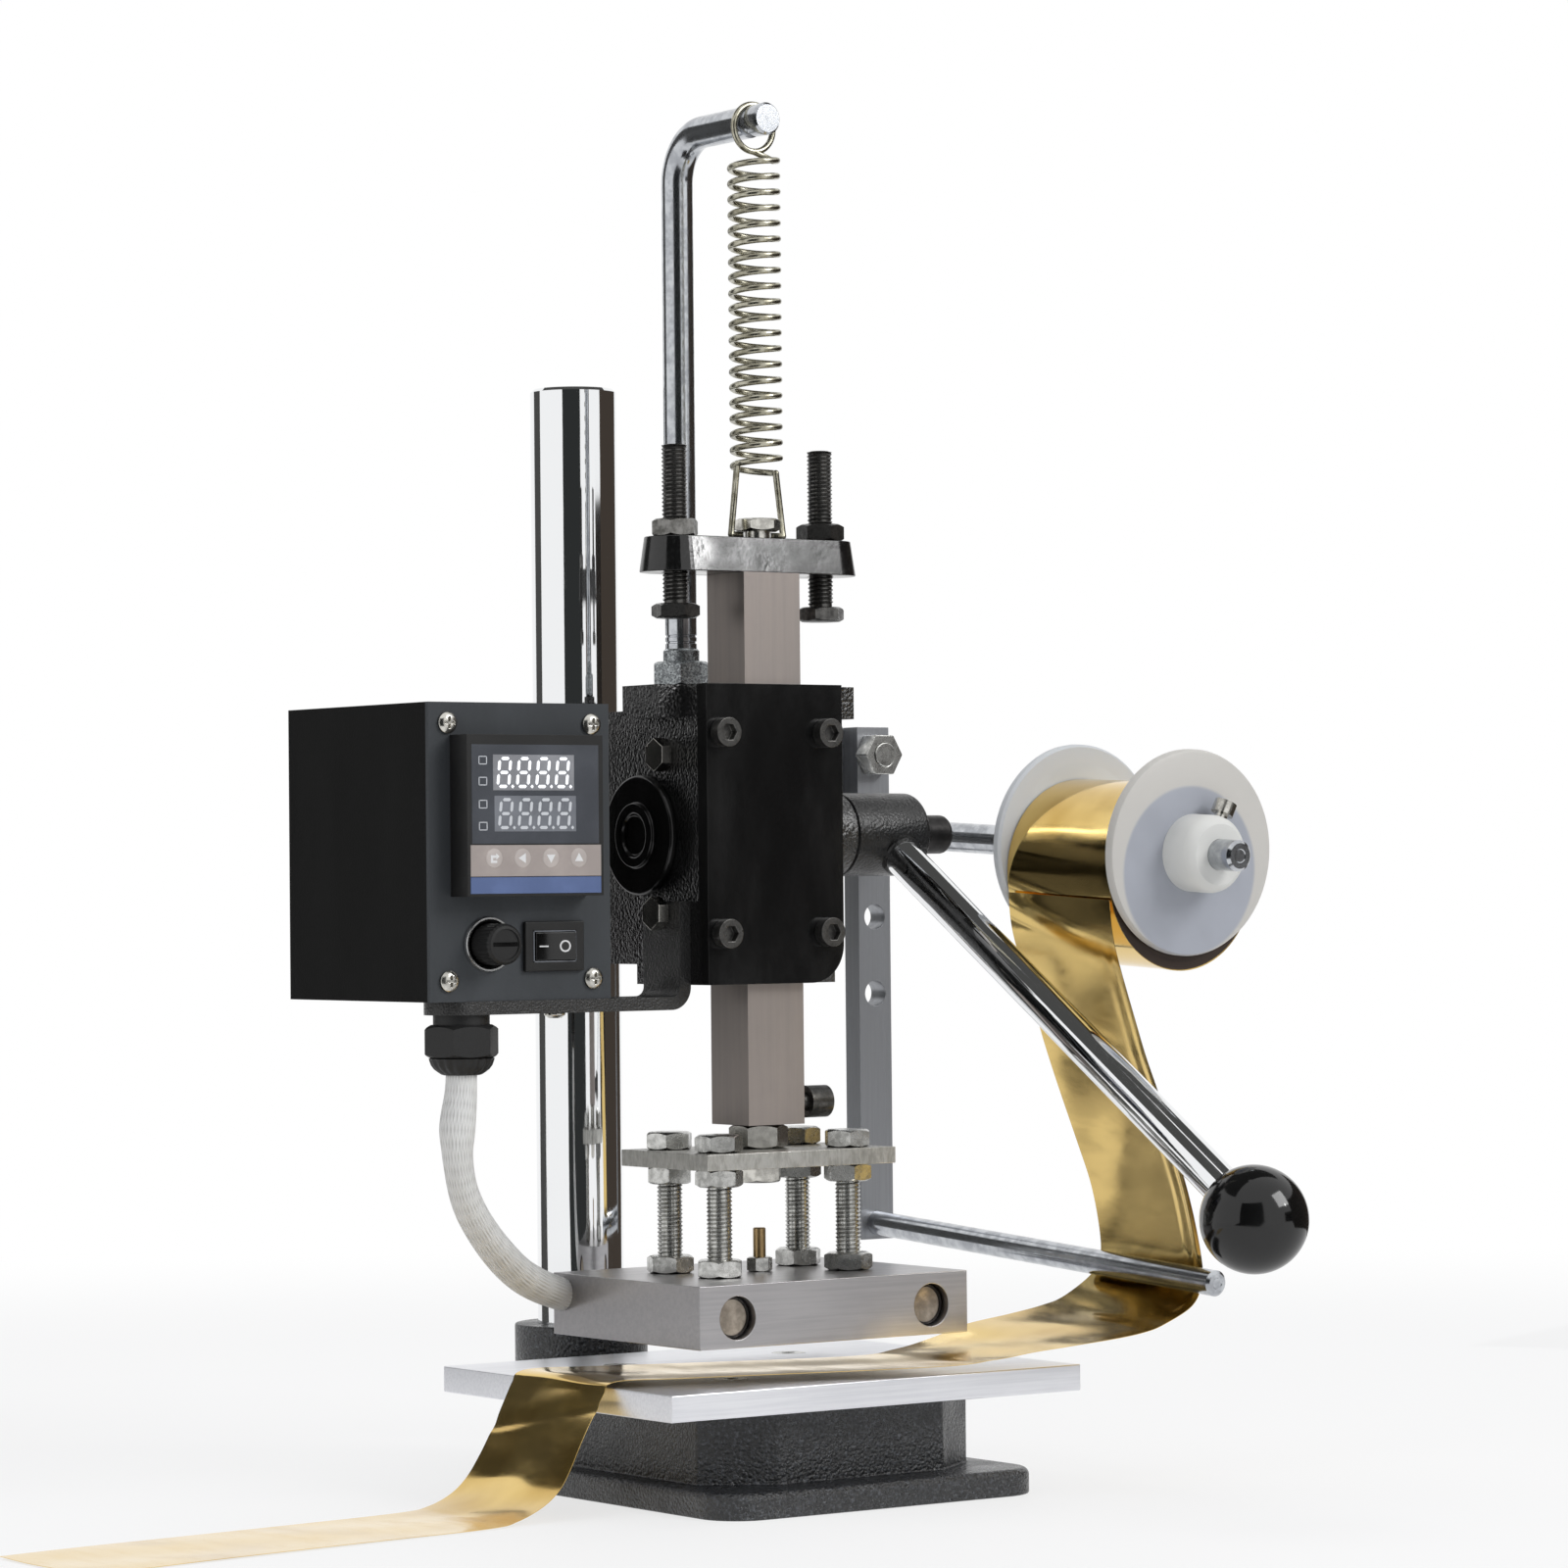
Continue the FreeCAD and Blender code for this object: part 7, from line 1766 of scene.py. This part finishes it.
    def web(self) -> None:
        """The foil from the roll, round the guide rod, under the block and over the table."""
        strip = bmesh.new()
        along, across = 300, 42
        bmesh.ops.create_grid(strip, x_segments=along, y_segments=across, size=0.5, calc_uvs=True)
        skin = strip.loops.layers.uv.verify()
        for face in strip.faces:
            for loop in face.loops:
                loop[skin].uv = (loop.vert.co.x + 0.5, loop.vert.co.y + 0.5)
        for corner in strip.verts:
            corner.co = self.on_web(corner.co.x + 0.5, corner.co.y + 0.5)
        bmesh.ops.recalc_face_normals(strip, faces=strip.faces)
        bmesh.ops.solidify(strip, geom=list(strip.faces), thickness=self.film_thick)
        film = as_object("foil_web_film", strip, Paint.WEB.material(), 50.0)
        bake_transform(film)
        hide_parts("foil_web")

    def on_web(self, share: float, side: float) -> Vector:
        """A point of the film.

        Args:
            share: how far along it, from the roll to the loose end.
            side: how far across it, from the rear edge to the front edge.

        Returns:
            The point.
        """
        x, y, z, lift = smooth_line(self.web_stations, share)
        ahead = smooth_line(self.web_stations, min(1.0, share + 0.004))
        behind = smooth_line(self.web_stations, max(0.0, share - 0.004))
        along = Vector((ahead[0] - behind[0], 0, ahead[2] - behind[2])).normalized()
        normal = Vector((-along.z, 0, along.x))
        back = 1 - 2 * side
        middle = Vector((x, y, z)) + Vector((0, self.web_width / 2, lift)) * back
        return middle + normal * self.crinkle(share, side)

    @staticmethod
    def crinkle(share: float, side: float) -> float:
        """How far the film stands off its line."""
        fold = 0.25 * MM * math.sin(46 * share + 3.1 * side) * math.sin(5.3 * side + 11 * share)
        pucker = 0.35 * MM * math.exp(-((share - 0.06 - 0.05 * side) / 0.012) ** 2)
        crease = 0.45 * MM * math.exp(-((share - 0.72 + 0.03 * side) / 0.008) ** 2)
        gather = max(0.0, side - 0.8) * max(0.0, 1 - abs(share - 0.17) / 0.14) * 4
        pleat = 0.5 * MM * gather * math.sin(62 * side + 8 * share)
        return fold + pucker + crease + pleat - 1.1 * MM * gather

    def build(self) -> None:
        """Build the foil gear's pieces."""
        softened("foil_arm", Paint.ALUMINIUM, self.arm_edge)
        softened("foil_bar", Paint.BAR, self.arm_edge)
        softened("bracket_bolts", Paint.ZINC, self.bolt_edge)
        self.rods()
        self.flange("rear_flange", self.flange_rear, -1, Paint.REAR_DISC)
        self.flange("front_flange", self.flange_rear + self.flange_gap, 1, Paint.FRONT_DISC)
        dress(Paint.BRIGHT, "front_flange_screw")
        dress(Paint.CARD, "foil_core")
        self.roll()
        self.web()


# =============================================================================================
# Studio
# =============================================================================================

@dataclass
class Studio:
    """Floor, world, lamps and camera."""

    place: Sequence[float] = (-0.9333, -1.3268, 0.1872)
    yaw: float = 35.44
    pitch: float = 1.07
    roll: float = -0.55
    focal_pixels: float = 5347.4
    picture_pixels: float = 1600.0
    sensor: float = 36.0
    floor_half: float = 8.0
    fade_start: float = 0.55
    fade_end: float = 1.1
    flag_distance: float = 1.7

    def camera(self) -> None:
        """Place the camera."""
        yaw, pitch, roll = (math.radians(turn) for turn in (self.yaw, self.pitch, self.roll))
        ahead = Vector((math.sin(yaw) * math.cos(pitch), math.cos(yaw) * math.cos(pitch),
                        math.sin(pitch)))
        level = Vector((math.cos(yaw), -math.sin(yaw), 0))
        above = level.cross(ahead)
        right = math.cos(roll) * level + math.sin(roll) * above
        up = math.cos(roll) * above - math.sin(roll) * level
        view = Matrix((right, up, -ahead)).transposed().to_4x4()
        view.translation = Vector(self.place)
        lens = bpy.data.cameras.new("studio_camera")
        lens.sensor_width = self.sensor
        lens.lens = self.focal_pixels / self.picture_pixels * self.sensor
        lens.clip_start = 0.05
        lens.clip_end = 50.0
        camera = bpy.data.objects.new("studio_camera", lens)
        camera.matrix_world = view
        bpy.context.scene.collection.objects.link(camera)
        bpy.context.scene.camera = camera

    def world(self) -> None:
        """White backdrop for the camera, glass and metal, and soft fill for the rest."""
        world = bpy.data.worlds.new("studio_world")
        world.use_nodes = True
        nodes, links = world.node_tree.nodes, world.node_tree.links
        nodes.clear()
        output = nodes.new("ShaderNodeOutputWorld")
        mix = nodes.new("ShaderNodeMixShader")
        rays = nodes.new("ShaderNodeLightPath")
        seen = nodes.new("ShaderNodeMath")
        seen.operation = "MAXIMUM"
        either = nodes.new("ShaderNodeMath")
        either.operation = "MAXIMUM"
        links.new(rays.outputs["Is Camera Ray"], seen.inputs[0])
        links.new(rays.outputs["Is Glossy Ray"], seen.inputs[1])
        links.new(seen.outputs[0], either.inputs[0])
        links.new(rays.outputs["Is Transmission Ray"], either.inputs[1])
        fill = nodes.new("ShaderNodeBackground")
        fill.inputs["Color"].default_value = (0.93, 0.95, 1.0, 1.0)
        fill.inputs["Strength"].default_value = 0.42
        white = nodes.new("ShaderNodeBackground")
        white.inputs["Color"].default_value = (1.0, 1.0, 1.0, 1.0)
        white.inputs["Strength"].default_value = 1.0
        links.new(either.outputs[0], mix.inputs[0])
        links.new(fill.outputs[0], mix.inputs[1])
        links.new(white.outputs[0], mix.inputs[2])
        links.new(mix.outputs[0], output.inputs[0])
        bpy.context.scene.world = world

    def floor(self) -> None:
        """Pale floor that keeps the press's shadow and fades to white away from it."""
        art = Shader("studio_floor")
        x, y, _ = art.split(art.coordinates())
        away = (x * x + y * y) ** 0.5
        rays = art.node("ShaderNodeLightPath", {}, {}, "Is Camera Ray")
        glossy = Value(art, rays.socket.node.outputs["Is Glossy Ray"])
        seen = rays.maths("MAXIMUM", glossy)
        fade = art.spread(away, self.fade_start, self.fade_end, 0.72, 1.0)
        art.surface(Base_Color=(0.86, 0.86, 0.86), Roughness=0.6)
        white = art.node("ShaderNodeEmission", {}, {"Strength": 1.0})
        mixed = art.node("ShaderNodeMixShader", {}, {0: fade * seen, 2: white})
        art.links.new(art.principled.outputs[0], mixed.socket.node.inputs[1])
        art.links.new(mixed.socket, art.output.inputs[0])
        shape = bmesh.new()
        bmesh.ops.create_grid(shape, x_segments=1, y_segments=1, size=self.floor_half)
        self.stand("studio_floor", shape, art.material)

    @staticmethod
    def stand(name: str, shape: bmesh.types.BMesh,
              material: bpy.types.Material) -> bpy.types.Object:
        """Put up a thing that belongs to the studio."""
        thing = as_object(name, shape, material)
        return thing

    def lamp(self, name: str, place: Sequence[float], target: Sequence[float], width: float,
             height: float, power: float) -> bpy.types.Object:
        """One soft box that faces a point."""
        light = bpy.data.lights.new(name, "AREA")
        light.shape = "RECTANGLE"
        light.size = width
        light.size_y = height
        light.energy = power
        lamp = bpy.data.objects.new(name, light)
        facing = Vector(target) - Vector(place)
        lamp.matrix_world = Matrix.Translation(place) @ facing.to_track_quat(
            "-Z", "Y").to_matrix().to_4x4()
        bpy.context.scene.collection.objects.link(lamp)
        return lamp

    def flag(self, name: str, start: float, end: float, low: float, high: float,
             shade: Colour, apron: float = 0.0) -> None:
        """A dark curved screen that only shows in polished surfaces.

        Args:
            name: its name.
            start: the bearing in degrees from +X where it starts.
            end: the bearing where it ends.
            low: its lower edge.
            high: its upper edge.
            shade: its colour.
            apron: how near its level part comes to the middle, or 0 for none.
        """
        shape = bmesh.new()
        bearing = math.radians(start)
        way = Vector((math.cos(bearing), math.sin(bearing), 0))
        spots = [(self.flag_distance, low + 2 * MM), (self.flag_distance, high)]
        if apron:
            spots.insert(0, (apron, low + 2 * MM))
        corners = [shape.verts.new(way * out + Vector((0, 0, level))) for out, level in spots]
        sides = [shape.edges.new(pair) for pair in zip(corners, corners[1:])]
        bmesh.ops.spin(shape, geom=corners + sides, cent=(0, 0, 0), axis=(0, 0, 1),
                       angle=math.radians(end - start), steps=24, use_merge=False)
        art = Shader(name)
        glow = art.node("ShaderNodeEmission", {}, {"Color": (*shade, 1.0), "Strength": 1.0})
        art.links.new(glow.socket, art.output.inputs[0])
        card = self.stand(name, shape, art.material)
        card.visible_camera = False
        card.visible_diffuse = False
        card.visible_shadow = False
        card.visible_transmission = False

    def build(self) -> None:
        """Set up the whole studio."""
        scene = bpy.context.scene
        scene.view_settings.view_transform = "Standard"
        self.camera()
        self.world()
        self.floor()
        self.lamp("key_box", (0.9, -1.5, 1.3), (0, 0, 0.2), 0.9, 0.9, 17.0)
        side = self.lamp("side_box", (-1.7, -0.5, 0.9), (0, 0, 0.2), 0.8, 1.2, 5.5)
        top = self.lamp("top_box", (0.1, 0.5, 1.8), (0, 0, 0.1), 1.2, 1.2, 10.0)
        side.visible_glossy = top.visible_glossy = False
        self.flag("flag_near", 205, 254, 0.0, 1.35, (0.028, 0.03, 0.03), 0.55)
        self.flag("flag_high", 0, 180, 1.9, 2.3, (0.07, 0.07, 0.068), 0.1)
        self.lamp("strip_box", (0.905, -1.32, 0.775), (0, 0, 0.28), 0.07, 0.1, 0.5)
        self.flag("flag_rear", 106, 134, 0.0, 1.15, (0.07, 0.07, 0.068), 0.55)
        self.flag("flag_front", 297, 314, 0.02, 0.44, (0.02, 0.017, 0.015))
        self.flag("flag_right", 314, 384, 0.0, 1.0, (0.055, 0.044, 0.036), 0.55)


def main() -> None:
    """Build the studio and every assembly of the press."""
    logging.basicConfig(level=logging.INFO, format="%(message)s")
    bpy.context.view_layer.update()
    for part in (Studio(), Base(), Head(), Ram(), Drive(), SpringGear(), Control(), FoilGear()):
        LOG.info("building %s", type(part).__name__)
        part.build()


if __name__ == "__main__":
    main()
